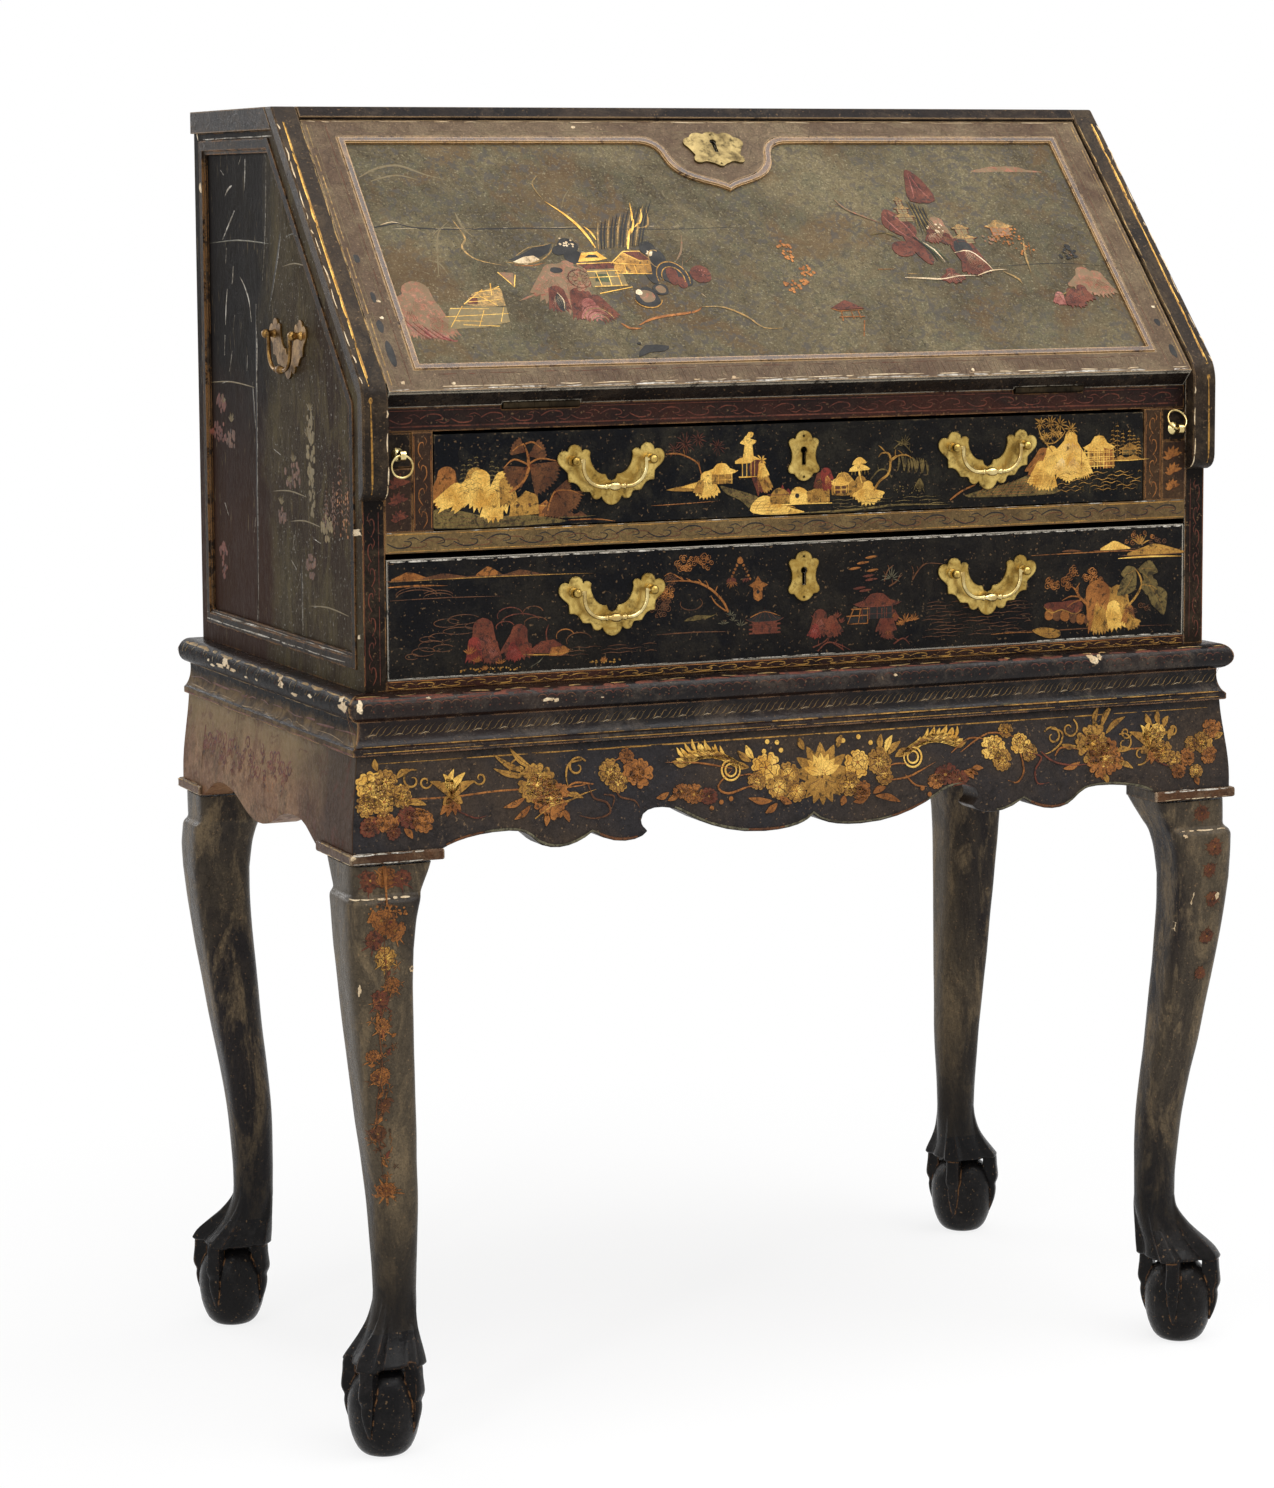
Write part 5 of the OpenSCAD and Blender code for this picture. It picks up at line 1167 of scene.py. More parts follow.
    def crest(self, x, z, side):
        """A feathered leaf: slanting plumes, ragged spikes above them and a scroll at its inner end."""
        for k in range(15):
            t = k / 14
            self.leaf(x + side * (2 + 44 * t), z + 5 + 11 * math.sin(math.pi * (0.15 + 0.75 * t)),
                      90 + side * (122 - 22 * t), 19 - 5 * t, 2.6, "gold" if k % 2 else "ochre", "brown",
                      0.16 * side)
        for k in range(11):
            t = k / 10
            self.leaf(x + side * (2 + 34 * t), z + 3 + 11 * math.sin(math.pi * (0.15 + 0.6 * t)),
                      90 - side * self.some(10, 50), self.some(7, 11), 1.3, "gold", None, -0.15 * side)
        for reach in (7.5, 4.5):
            self.ring(x - side * 1, z - 1, reach, reach, "gold", 1.5, 90, 90 - side * 300)
        self.stroke([(x - side * 5, z - 6), (x - side * 16, z - 5), (x - side * 26, z - 8)], 1.1, "amber", 3)

    def scroll_row(self, x0, x1, z, step, rise, colour, width=0.7, edge=None):
        """A running border of curls and small leaves, turned up and down in turn."""
        count = max(int(round((x1 - x0) / step)), 1)
        step = (x1 - x0) / count
        for first, hand in enumerate((-rise, rise)[:count]):
            x = x0 + step * (first + 0.5)

            def at(*places):
                return [(x + step * across, z + hand * up) for across, up in places]
            curl = Paintwork("curl", None, None)
            curl.lift = self.lift
            curl.stroke(at((-0.5, 0), (-0.2, 0.75), (0.15, 0.6), (0.22, -0.1), (0, -0.3)), width, colour, 3,
                        (0.7, 0.4))
            curl.stroke(at((0.1, -0.5), (0.3, -0.8), (0.5, -0.2)), width * 0.8, colour, 2)
            curl.stroke(at((-0.35, -0.4), (-0.2, -0.9)), width * 0.8, colour, 1)
            self.repeat(curl, (count + 1 - first) // 2, 2 * step, colour)
        for level in edge or ():
            x = x0
            while x < x1:
                end = min(x + self.some(20, 90), x1)
                self.stroke([(x, level), (end, level)], 0.55, colour, 1, (0.9, 0.9))
                x = end + self.some(0.5, 4)

    def shell(self, x, z, reach, angle, spread, face, line, ribs=6):
        """A stone painted as a fan of lobes that spreads from its crest, each lobe lined."""
        middle, wide, rim = math.radians(angle), math.radians(spread), []
        for i in range(ribs * 2 + 1):
            far = reach * (1.0 if i % 2 else 0.86) * self.some(0.92, 1.06)
            rim.append(around(x, z, middle + wide * (i / (ribs * 2) - 0.5), far))
        crown = [around(x, z, middle + k, reach * 0.34) for k in (1.35, 2.2, math.pi, -2.2, -1.35)]
        self.fill(rim + crown, face, 2)
        for i in range(ribs * 2 - 1):
            turn = middle + wide * ((i + 1) / (ribs * 2) - 0.5)
            low, high = self.some(0.1, 0.35), self.some(0.7, 0.9)
            self.stroke([around(x, z, turn, reach * low), around(x, z, turn + 0.05, reach * high)],
                        0.6 if i % 2 else 0.9, line, 1)

    MOTIFS = {motif.__name__: motif for motif in (
        stroke, fill, dot, ring, oval, blossoms, flakes, dabs, spray, clump, hills, ground, ripples, branches,
        fan, pine, pavilion, leaf, flower, bloom, curl, crest, scroll_row, shell
        )}


# Where painted work lies. Each gives a point from its place across, up and out of the surface.

def on_front(y):
    return lambda u, v, out: mm(u, y - out, v)


def on_fall(off):
    c, s = math.cos(SLOPE_ANGLE), math.sin(SLOPE_ANGLE)
    return lambda u, v, out: mm(u, SLOPE_Y + v * c - (out + off) * s, SLOPE_Z + v * s + (out + off) * c)


def laid_on(names, start, way):
    """A place on the named pieces, found by looking along a straight way from the start."""
    points, faces = [], []
    for name in names:
        mesh = bpy.data.objects[name].data
        base = len(points)
        points.extend(vert.co.copy() for vert in mesh.vertices)
        faces.extend([base + i for i in face.vertices] for face in mesh.polygons)
    tree = BVHTree.FromPolygons(points, faces)
    way = Vector(way)

    def place(u, v, out):
        origin = start(u, v)
        found = tree.ray_cast(origin, way)[0] or tree.find_nearest(origin)[0]
        return found - way * out / 1000
    return place


def front_of(*names):
    return laid_on(names, lambda u, v: mm(u, -450, v), (0, 1, 0))


def side_of(side, *names):
    """Across is the model's own way from front to back, so the left side is mirrored."""
    return laid_on(names, lambda u, v: mm(side * 500, u, v), (-side, 0, 0))


def slope_of(*names):
    c, s = math.cos(SLOPE_ANGLE), math.sin(SLOPE_ANGLE)
    return laid_on(names, lambda u, v: mm(u, SLOPE_Y + v * c - 60 * s, SLOPE_Z + v * s + 60 * c), (0, s, -c))


def upright(place, middle):
    """The same surface with its length turned upright, about a middle line."""
    return lambda u, v, out: place(middle - v, u, out)


def paint_upper_drawer():
    p = Paintwork("painted_upper_drawer", on_front(DRAWER_Y), "upper_drawer", 3)
    # Left: bank, rocks and leafy tree
    p.draw("""
    ground -293,676.5 -293,690 -272,688 -250,683 -228,684 -204,681 -196,677 olive brown 2.6
    pine -271 694 30 4.5 | -266 694 34 4.5 | -261 694 36 4.5 | -249 694 32 4.5 | -245 694 27 4.5 olive 7
    shell -284 713 23 -92 96 amber ochre 8
    shell -262 712 22 -100 82 ochre brown 7
    shell -276 702 20 -148 34 | -266 704 22 -138 34 gold ochre 4
    shell -258 710 23 -98 62 gold ochre
    shell -240 708 24 -112 62 gold brown 7
    shell -247 698 19 -100 68 gold ochre
    shell -238 706 17 -82 60 ochre gold
    fill -236,683 -235,690 -223,701 -214,698 -212,684 ochre 1
    fill -213,682 -213,690 -207,694 -203,689 -202,682 amber 1
    stroke -235,690 -223,701 | -223,701 -213,697 | -231,684 -231,693 | -212,690 -203,689 0.8 gold 1
    dot -229 691 1.6 | -220 691 1.6 | -208 691 1.6 brown
    branches -236,700 -226,707 -221,716 -221,726 -224,735 2.6 amber
    fan -221 718 206 20 62 | -221 719 232 17 40 | -220 720 -52 24 54 | -220 720 -18 25 44 | -221 726 22 15
        70 | -223 729 150 12 80 | -200 698 -104 18 54 | -200 699 -60 20 50 | -200 700 -22 22 40 | -201 700
        16 14 44 brown rust 7
    stroke -221,720 -212,724 -199,722 | -221,720 -232,724 -240,718 | -224,735 -229,733 -233,730 | -223,735
        -217,736 -210,731 | -206,686 -203,695 -199,700 -188,700 -178,696 1.3 amber 4 1:0.4
    hills -192 -176 681 5 brown olive 2
    stroke -190,678.6 -168,678.4 -152,676.2 0.9 amber
    """)
    # Middle: islands, garden house and tower
    p.draw("""
    stroke -124,686.4 -96,687 -70,688 0.6 amber 2
    branches -112,724 -100,723.5 -87,717 -84,710 -82,703 1.1 amber 2 7 100 170
    clump -96 731 9 rust 14 | -86 734 7 rust 12 | -105 727 6 rust 10 | -70 728 7 rust 12 0.5
    fill -112,697.5 -98,700 -84,703 -82,697 -96,696 ochre 2
    fill -100,699 -90,701.5 -82,703 -82,698 gold 2
    shell -79 705 16 -84 88 gold brown 8
    shell -84 701 9 -110 60 ochre amber 4
    pavilion -67 700.5 22 15 gold ochre gold
    ground -68,699 -60,697 -40,691 -24,683 -6,678 -2,676.5 -28,676 -42,680 -52,688 -63,693 olive brown 2.2
    fill -44,680 -40,687 -33,690.5 -26,689 -20,684 -4,679 0,676.5 -34,676.5 gold 2
    """)
    for k in range(6):
        p.stroke([(-40 + 5 * k, 679 + 0.2 * k), (-36 + 5 * k, 685 - 0.6 * k), (-30 + 5 * k, 687.5 - 1.5 * k)],
                 0.8, "ochre", 3)
    p.draw("""
    fill -52,705 -39,705 -40.5,716 -50,716 black 1
    stroke -50,705 -50,717 | -46.5,705 -46.5,717 | -43,705 -43,717 | -40,705 -40,717 1.1 gold 1 1:1
    stroke -53,705 -38,705 1.2 gold 1 1:1
    fill -56,715 -36,716 -40,720 -52,719 gold 2
    fill -50,717 -40.5,717 -42,729 -48,729 gold 1
    stroke -48,718 -47.6,728 | -45.5,718 -45.1,728 | -43,718 -42.6,728 0.7 ochre 1
    fill -52,730 -46,728.5 -41,729 -38.5,731.5 -43,733 -47,735.5 -49,733 | -47,733 -42,734.5 -41,737.5
        -45,738 gold 2
    shell -38 711 20 -70 44 rust gold | -33 704 12 -64 50 ochre red | -34 712 9 -80 80 gold ochre 5
    clump -34 717 5 gold 7 1.1
    hills -24 -10 691 8 red rust
    fill -27,684 -26,692 -20,696 -12,692 -10,685 ochre 2
    fill -11,684 -9,694 -3,696 4,692 6,684 gold 2
    dot -5 689.5 2.8 black 9
    dot -5 689.5 1.6 cream
    fill 4,684 3,692 12,695 22,694 22,684 ochre 1
    """)
    for k in range(6):
        p.stroke([(3 + 3.4 * k, 685), (4.5 + 3.4 * k, 694)], 0.9, "gold" if k % 2 else "amber", 1)
    p.draw("""
    stroke -28,683 0,683.4 24,683 1 gold 2 0.8:0.6
    shell 14 703 10 -100 60 rust ochre | 19 705 14 -76 56 red gold 5
    """)
    # Right of the middle: small house, umbrella tree and drooping tree
    p.draw("""
    pavilion 32 690 15 15 gold ochre gold 1 3
    fill 24,689 26,700 34,706 40,702 45,695 44,689 ochre 2
    pavilion 31 690 13 12 gold brown gold 1 3
    fill 38,706 42.5,710.5 48.8,711.5 56,707.5 50.6,706.6 | 41,711 44,715.5 48.2,716.5 53,712.5 49.4,711.6
        gold 2
    """)
    for k in range(6):
        p.stroke([(41 + 2.6 * k, 708), (40.4 + 2.8 * k, 703)], 0.9, "gold", 1)
    p.draw("""
    branches 49,697 47,704 47,710 1.5 gold
    shell 48 698 14 -110 74 ochre gold
    shell 54 694 14 -96 128 gold ochre 9
    shell 57 691 11 -64 120 gold amber 7
    branches 59,691 64,698 71,703 73,710 72,718 66,719 63,716 1.8 ochre 3
    branches 72,712 77,716 86,717 92,714 1.2 ochre 2 6
    branches 56,699 63,706 70,706 74,700 1.2 olive 2 6
    branches 76,722 82,726 88,722 91,718 0.9 olive 3 5
    """)
    for k in range(13):
        x = 80 + 1.9 * k
        p.leaf(x, 717 - 0.35 * k + p.wander(1), -75 - p.some(0, 25), 12 - 0.15 * k * p.chance.random(), 1.0,
               "olive")
    p.draw("""
    spray 98 700 12 8 olive -120 -60 0.7
    spray 84 724 8 10 olive 0 180 0.6
    dabs 88 690 14 5 26 0.5 olive
    stroke -2,676.5 40,677.2 80,679.5 124,678.2 1.6 olive 3
    ripples 20 120 685 3 olive 11 0.45
    """)
    # Right: point of land, rocks, tree, houses and water
    p.draw("""
    stroke 124,681.5 134,688 146,692.5 1.5 amber 3 0.7:0.4
    ground 140,683 150,688 176,693 196,700 204,704 214,690 214,683 olive amber 2.2
    """)
    for k in range(16):
        x = 146 + 4.2 * k
        p.stroke([(x, 684), (x + 5, 688 + 0.6 * k * p.chance.random()), (x + 8, 690 + 0.8 * k)], 0.5,
                 "ochre" if k % 2 else "amber", 2)
    p.draw("""
    shell 205 712 20 -112 76 amber gold 7
    shell 203 703 17 -112 60 gold ochre
    shell 208 702 17 -84 64 gold ochre 7
    shell 212 715 15 -90 90 gold brown
    shell 229 724 18 -96 110 | 222 712 18 -104 66 | 231 712 19 -88 70 gold cream 8
    shell 238 709 16 -74 60 | 227 702 11 -94 120 gold ochre 8
    branches 213,715 208,721 203,727 200,735 1.3 ochre 3 7 20 160
    branches 206,722 214,722 221,727 224,731 1 ochre 2 5
    clump 202 737 6 | 211 737 6 | 207 727 5 | 213 730 5 | 219 736 7 | 229 732 7 | 218 729 4 ochre 11 0.8
    pavilion 254 704 24 22 gold ochre gold 1 5
    fill 244,717 248,723 254,725.5 258,722 264,718 262,716 gold 1
    fill 258,701 268,702 267,715 258,717 amber 1
    """)
    for z in (703, 706.5, 710, 713.5):
        p.stroke([(238, z), (268, z)], 0.9, "gold", 1, (0.9, 0.9))
    for k in range(11):
        p.stroke([(238.5 + 2.8 * k, 701), (238.5 + 2.8 * k, 716)], 0.7, "gold" if k % 3 else "amber", 1, (1, 1))
    p.hills(268, 291, 707, 5, "ochre", "gold", 2)
    p.pavilion(281, 711, 16, 8, "ochre", "olive", "ochre", 1, 3)
    for x, up in ((266, 27), (270, 31), (275, 24), (281, 26), (285, 22), (289, 19)):
        p.pine(x, 706, up, 3.5, "ochre", 6)
    p.ripples(214, 292, 698, 6, "ochre", 8, 0.55, 1.4)
    for k in range(9):
        p.stroke([(240 + 6 * k, 683 + p.wander(1)), (240 + 6 * k, 691 + p.wander(2))], 1.2, "olive", 1)
    return p.build()


def paint_lower_drawer():
    p = Paintwork("painted_lower_drawer", on_front(DRAWER_Y), "lower_drawer", 5)
    # Far hills and shores
    p.draw("""
    hills -327 -299 640 6.5 amber | -303 -270 640.5 3.5 brown | -262 -243 641 6.5 amber | -240 -214 640.5
        3.5 brown | 256 282 637.5 7 gold | 280 331 632.5 8 ochre brown 1
    """)
    for x0, x1, z, width, colour in ((-328, -170, 639.6, 0.8, "ochre"), (-330, -284, 635.6, 1.3, "amber"),
                                     (-328, -240, 626, 0.7, "brown"), (195, 330, 636, 0.8, "amber"),
                                     (272, 331, 630.5, 1.3, "gold"), (222, 240, 638, 1.6, "brown"),
                                     (-120, -60, 591, 0.8, "brown"), (196, 320, 577, 0.9, "brown"),
                                     (160, 205, 577, 0.8, "amber")):
        p.stroke([(x0, z), ((x0 + x1) / 2, z + 0.4), (x1, z - 0.6)], width, colour, 2)
    for z in (627, 629):
        p.ring(-308, z, 16, 6, "brown", 0.6, 10, 170)
        p.ring(-292, z - 1, 12, 4, "brown", 0.6, 10, 150)
    p.spray(292, 640, 10, 7, "ochre", 20, 160, 1.2)
    p.blossoms(290, 646, 14, 4, 12, 1.6, "amber")
    p.blossoms(308, 642, 8, 3, 7, 1.4, "brown")
    # Left: clouds, red rocks and roof
    p.draw("""
    ring -285 608 10 3 | -272 610 12 3.5 | -262 605 9 2.5 | -275 602 13 2.5 | -297 592 10 4 | -303 588 9 3 |
        -290 598 9 3 | -288 590 8 2.5 | -300 597 6 2 | -312 585 5 2 brown 0.55 20 330
    ring -236 611 10 6 rust | -228 606 15 6 rust | -216 605 9 4 brown | -240 603 7 4 rust | -193 594 7 5
        amber | -182 590 10 6 brown | -218 612 8 5 brown 0.8 15 200
    shell -257 602 25 -88 62 rust pink | -229 598 20 -102 80 rust red | -264 592 15 -92 60 red rust | -250
        590 14 -88 70 rust pink | -234 588 11 -84 90 red pink | -222 588 8 -96 90 rust red 7
    fill -224,583 -212,591 -202,592 -190,584 -206,582 rust 1
    fill -206,580 -204,586 -194,587 -188,583 -196,580 amber 1
    """)
    for k in range(6):
        p.stroke([(-222 + 5 * k, 583.5), (-214 + 3.4 * k, 590.5)], 0.6, "pink" if k % 2 else "red", 1)
    p.draw("""
    stroke -226,582 -206,581 -190,582 1 ochre 2
    branches -207,590 -208,597 -206,603 1 rust
    spray -268 584 7 6 | -262 578 6 6 | -244 576 5 6 | -256 572 5 6 | -163 573 5 6 amber 20 160 0.9
    dabs -250 572.5 26 2 40 0.7 | -160 574 14 1.6 22 0.7 ochre
    stroke -222,572 -214,576 -210,580 0.8 grey 2
    """)
    # Middle left: bending tree and hanging lanterns
    p.draw("""
    branches -62,605 -66,613 -75,622 -86,628 -98,630 -112,630 1.7 amber 5 7 60 160
    branches -64,606 -72,612 -76,618 1 amber
    branches -98,630 -108,636 -114,634 0.9 amber
    blossoms -96 643 9 5 22 1.7 | -82 643 8 5 16 1.7 amber
    blossoms -108 631 5 5 10 1.7 brown
    blossoms -113 622 8 5 18 1.7 amber
    blossoms -118 610 6 6 14 1.7 | -112 615 6 6 12 1.7 brown
    fill -98,600 -88,604 -76,603 -70,605 -80,601 olive 2
    ring -92 613 9 5 brown 0.6 160 400
    """)
    for k in range(6):
        for side in (-1, 1):
            p.dot(-52 + side * (1.5 + 1.3 * k), 642 - 2.6 * k, 1.1, "amber", 6)
    p.draw("""
    oval -52 643 2.4 2.6 amber
    oval -59 628 4 2.6 rust
    spray -59 628 6 7 amber | -47 630 5 5 rust 190 350 0.9
    fill -45,624 -40,627 -37.5,631 -35,627 -29,624 -34,622 -41,622 | -41,614 -37.5,612 -34,614 -33.5,623
        -41.5,623 amber 1
    dot -37.5 619 2.2 black 8
    pavilion -32 588 26 17 black rust rust 1 5
    stroke -45,588 -19,588 | -45,591 -19,591 | -45,594.5 -19,594.5 1.5 rust 1 0.9:0.9
    stroke -44,600 -32,604 -19,600 1 amber 3
    spray -58 598 5 5 | -52 594 5 5 | -66 596 5 5 | -60 602 5 5 grey 0 180 0.7
    """)
    # Middle right: red garden
    p.draw("""
    shell 14 598 17 -96 70 rust pink
    shell 24 594 13 -74 76 | 70 596 15 -92 84 rust red
    shell 76 598 7 -80 90 rust amber
    shell 10 590 9 -100 90 red pink
    shell 72 586 9 -100 90 rust amber
    spray 10 596 5 5 | 28 596 6 5 | 32 592 5 5 rust 30 150 1
    branches 12,572 20,578 30,576 40,571 | 8,575 18,579 24,586 | 24,578 32,573 34,571 | 76,574 84,578 90,573
        1.1 rust 2 5
    branches 92,622 97,629 104,634 118,633 | 93,628 92,622 | 68,622 71,630 76,634 | 72,618 79,622 82,628 1.1
        brown 2 5
    pavilion 62 594 34 19 rust black rust 1 5
    fill 38,592 36,596 52,596 53,591 black 1
    stroke 38,591 54,591 | 36,597 54,597 | 40,602 56,602 | 37,591 42,602 | 46,591 48,602 | 54,591 54,603 1
        amber 1 0.9:0.9
    stroke 66,595 66,602 | 70,595 70,602 1 rust 1 0.9:0.9
    """)
    for k in range(9):
        p.stroke([(47 + 3.4 * k, 603), (52 + 2.4 * k, 611)], 0.6, "amber" if k % 3 else "pink", 1)
    for x, z in ((57, 641), (50, 637), (43, 633), (58, 631), (57, 624), (47, 618), (52, 616), (55, 627)):
        p.stroke([(x - 5, z - 0.6), (x, z), (x + 5, z + 0.4)], 1.9, "amber" if z > 630 else "rust", 2,
                 (0.3, 0.3))
    p.draw("""
    spray 74 624 9 9 grey -30 200 0.7
    spray 86 590 7 7 | 93 591 6 7 | 82 588 5 7 amber 0 180 1
    ripples 100 196 604 11 brown 13
    ripples -200 -120 585 3 brown 12
    """)
    # Right: flowering tree, table stone, gold rocks and large leaves
    p.draw("""
    branches 248,588 244,596 238,602 234,608 230,611 2 amber 2 5
    branches 238,602 230,603 222,600 | 244,596 252,594 256,602 | 234,608 238,613 | 240,600 232,598 226,594
        1.1 amber
    blossoms 222 613 10 4 16 1.9 | 214 614 7 3 8 1.9 | 232 620 5 6 8 1.9 | 249 619 7 5 14 1.9 | 254 612 6 4
        8 1.9 amber
    fill 206,596 210,599 222,599 236,600 241,595 236,589 222,592 214,591 rust 2
    """)
    for k in range(6):
        p.oval(211 + 7 * k, 590 - 1.2 * k, 4, 4.4, "brown" if k % 2 else "amber")
    p.draw("""
    stroke 206,596 213,591 222,593 234,589 240,594 1 ochre 3
    shell 262 600 27 -104 62 ochre gold | 272 601 27 -84 60 ochre gold | 254 604 32 -92 30 amber gold | 268
        592 18 -94 90 gold ochre | 256 588 16 -92 70 ochre gold | 282 590 12 -92 80 amber gold | 284 583 9
        -70 120 ochre gold 7
    ground 196,578 206,580 220,577 219,572 208,572 ochre brown 2
    branches 280,592 288,600 293,609 291,617 287,622 1.8 ochre
    branches 293,609 302,608 308,604 1.3 ochre
    leaf 287 622 232 26 7 | 288 622 196 14 6 | 290 621 -8 18 6 | 294 618 -52 14 4 | 298 609 -58 29 8 | 292
        611 -36 20 7 olive ochre 0.2
    blossoms 288 591 12 6 12 1.6 brown
    """)
    # Broken pale lines along the top and bottom edges
    p.draw("""
    flakes -328 -120 653.6 white 1.3 | -120 60 653.8 white 0.8 | 60 328 653.8 white 1.2 | -320 -100 569.6
        white 0.5 | -60 60 569.7 white 0.7 | 200 326 569.8 white 1 4 18 0.25
    """)
    return p.build()


def paint_fall():
    p = Paintwork("painted_fall", on_fall(-5.3), "fall", 8)
    # Far hills, old smears and the split in the board
    p.draw("""
    stroke -298,212 -282,221 -264,224 -246,215 -228,208 2.2 drab
    stroke -290,208 -268,214 -250,208 1.6 drab
    stroke 218,216 246,218 282,215 4.5 faded
    stroke 232,220 256,220 268,218 2.6 faded
    stroke -262,112 -256,138 -250,156 -238,168 1.5 drab
    stroke -236,168 -231,150 -236,140 -228,128 -206,121 1.6 tan
    stroke -256,152 -246,160 -226,158 -212,162 1.2 drab
    stroke -232,176 -230,160 -224,150 1.8 drab
    stroke -266,128 -258,124 -254,112 1.6 drab
    stroke -306,160 -290,163 -280,165 -270,161 -240,158.5 -180,159 -120,157.5 -60,156.5 -10,158 1.3 black 3
        1:0.3
    stroke -294,163.5 -284,166.5 -276,163.5 0.9 cream 3
    stroke 196,113 230,115 262,116 300,112 0.8 black 3
    flakes -300 -40 159.6 cream 0.4 30 14 0.4
    """)
    # Left: pink rock, bridge house, boat
    p.draw("""
    shell -284 96 34 -88 60 faded pink | -292 84 34 -102 40 faded red | -280 80 32 -74 46 faded pink 8
    """)
    for k in range(9):
        p.stroke([(-303 + 3 * k, 72 - 1.5 * k), (-295 + 3.4 * k, 58 - 1.2 * k), (-288 + 3 * k, 50)], 1.6,
                 "red" if k % 2 else "pink", 2)
    p.draw("""
    fill -250,84 -240,95 -222,100 -217,98 -218,82 -236,80 tan 1
    fill -269,60 -263,79 -250,82 -218,80 -219,66 -240,61 sand 1
    stroke -266,62 -252,82 | -268,72 -218,74 | -262,80 -232,79 | -244,62 -236,78 | -226,66 -220,80 | -250,84
        -232,98 | -238,95 -218,99 | -246,86 -220,88 | -256,64 -228,62 | -236,92 -224,82 | -244,90 -228,91 |
        -262,68 -240,67 | -224,104 -226,92 | -218,101 -226,97 1.1 gold 1 0.8:0.6
    fill -247,84 -243,92 -238,90 -239,84 rust 1
    """)
    for k in range(7):
        p.stroke([(-262 + 7 * k, 62), (-263 + 7 * k, 54)], 0.9, "sand", 1)
    p.draw("""
    fill -203,127 -192,132 -180,139 -164,143 -169,134 -178,129 -192,125 black 1
    fill -200,125 -190,130 -182,131 -178,127 -190,122 cream 1
    stroke -206,125 -190,123 -176,127 -166,136 -163,143 1.1 tan 3
    stroke -196,131 -184,139 -172,141 -163,144 1 tan 3
    stroke -200,122 -186,121 -174,124 1.2 amber 3
    fill -215,115 -203,114 -206,100 faded 1
    stroke -215,115 -208,104 -206,100 -202,112 1 gold 1 0.8:0.8
    """)
    # Island: rocks, flowers, houses and trees
    p.draw("""
    shell -170 112 32 -118 60 faded rust | -162 110 40 -84 40 faded rust | -174 94 20 -96 60 rust cream |
        -156 90 26 -98 50 rust pink | -146 84 22 -64 50 rust faded | -152 82 17 -84 90 pink rust 7
    ring -148 62 15 18.75 rust | -148 62 12.5 15.625 tan | -148 62 10 12.5 rust | -148 62 7.5 9.375 sand |
        -148 62 5 6.25 green 1.3 20 160
    oval -174 84 3.4 9 black
    stroke -174,94 -171,86 -173,76 1.3 cream 3
    flower -152 107 12 7 faded rust tan
    ring -152 107 9 9 rust 1
    oval -164 116 5 4 | -158 122 5 4 | -146 122 5 4 | -140 112 5 4 faded
    stroke -206,86 -192,92 -184,92 1.8 faded 3
    oval -152 140 8 8 | -150 130 8 7 | -160 136 6 5 | -168 116 5 3 | -88 136 7 8 | -84 126 8 10 | -76 112 12
        12 | -66 106 6 8 | -92 112 6 12 black
    dabs -152 144 7 6 12 1 cream
    oval -88 132 3 3 cream
    fill -148,124 -143,133 -130,134 -124,127 -132,125 gold 1
    fill -142,128 -138,131 -132,131 -130,128 black 1
    fill -150,122 -118,124 -113,116 -142,115 rust 1
    fill -144,98 -144,116 -116,117 -115,99 sand 1
    fill -140,104 -138,112 -128,111 -128,103 green 1
    fill -122,112 -120,122 -109,134 -96,134 -89,126 -92,111 ochre 1
    fill -110,133 -97,135 -89,125 -98,125 rust 1
    stroke -122,122 -109,134 | -109,134 -95,134 | -120,122 -92,120 | -122,112 -92,111 | -110,133 -98,124 |
        -150,122 -118,123 | -144,114 -115,115 | -144,108 -118,109 | -142,99 -115,100 | -128,99 -128,115 |
        -120,99 -120,115 | -136,99 -137,114 1.1 gold 1 0.9:0.7
    stroke -95,112 -96,124 1.1 tan 1 0.9:0.7
    stroke -104,112 -104,121 | -112,112 -112,121 | -146,127 -124,127 | -143,132 -130,134 | -140,92 -112,98
        1.1 gold 1 0.9:0.7
    oval -76 108 5 9 | -70 102 4 6 | -52 109 8.5 9 rust
    ring -76 106 13 16.9 | -76 106 9 11.7 ochre 1 -20 190
    ring -84 126 6 9 tan 1 60 260
    dabs -52 112 4 4 8 0.7 pink
    stroke -130,138 -133,150 -138,162 -146,174 -157,186 2.4 gold
    stroke -127,146 -129,154 -133,160 1.6 gold
    stroke -104,136 -99,150 -92,162 -88,184 2.8 gold
    stroke -93,158 -84,166 -81,178 1.8 gold
    stroke -90,158 -80,161 -76,180 1.5 tan
    stroke -158,188 -162,204 -154,214 1.1 tan
    stroke -146,178 -140,190 -132,200 1 drab
    stroke -68,124 -62,132 -58,142 -56,150 1.6 faded
    stroke -66,116 -62,126 2 faded
    stroke -61,122 -52,130 1.2 faded
    stroke -118,60 -102,67 -70,72 -62,77 2.2 amber
    stroke -62,77 -44,76 -28,66 -18,55 -2,54 1.7 tan
    stroke -132,62 -126,57 -116,57 2 amber
    stroke -58,90 -55,86 2 cream
    """)
    for k in range(15):
        x = -128 + 2.6 * k
        p.stroke([(x, 136 + 0.3 * k), (x + 4 + 0.5 * k, 152 + k), (x + 8 + k, 164 + 1.6 * k)], 1.5,
                 "black" if k % 3 else "tan", 2)
    p.draw("""
    oval -103 88 10.4 9.6 black
    oval -103 88 6.4 6.4 faded
    oval -90 95 6.5 6 black
    oval -90 95 4 4 faded
    oval -108 92 3 3 cream
    ring -103 86 11 9 ochre 1.2 190 350
    fill -128,29 -120,40 -101,39 -106,34 -118,33 black 2
    oval -124 42 1.6 1.2 black
    """)
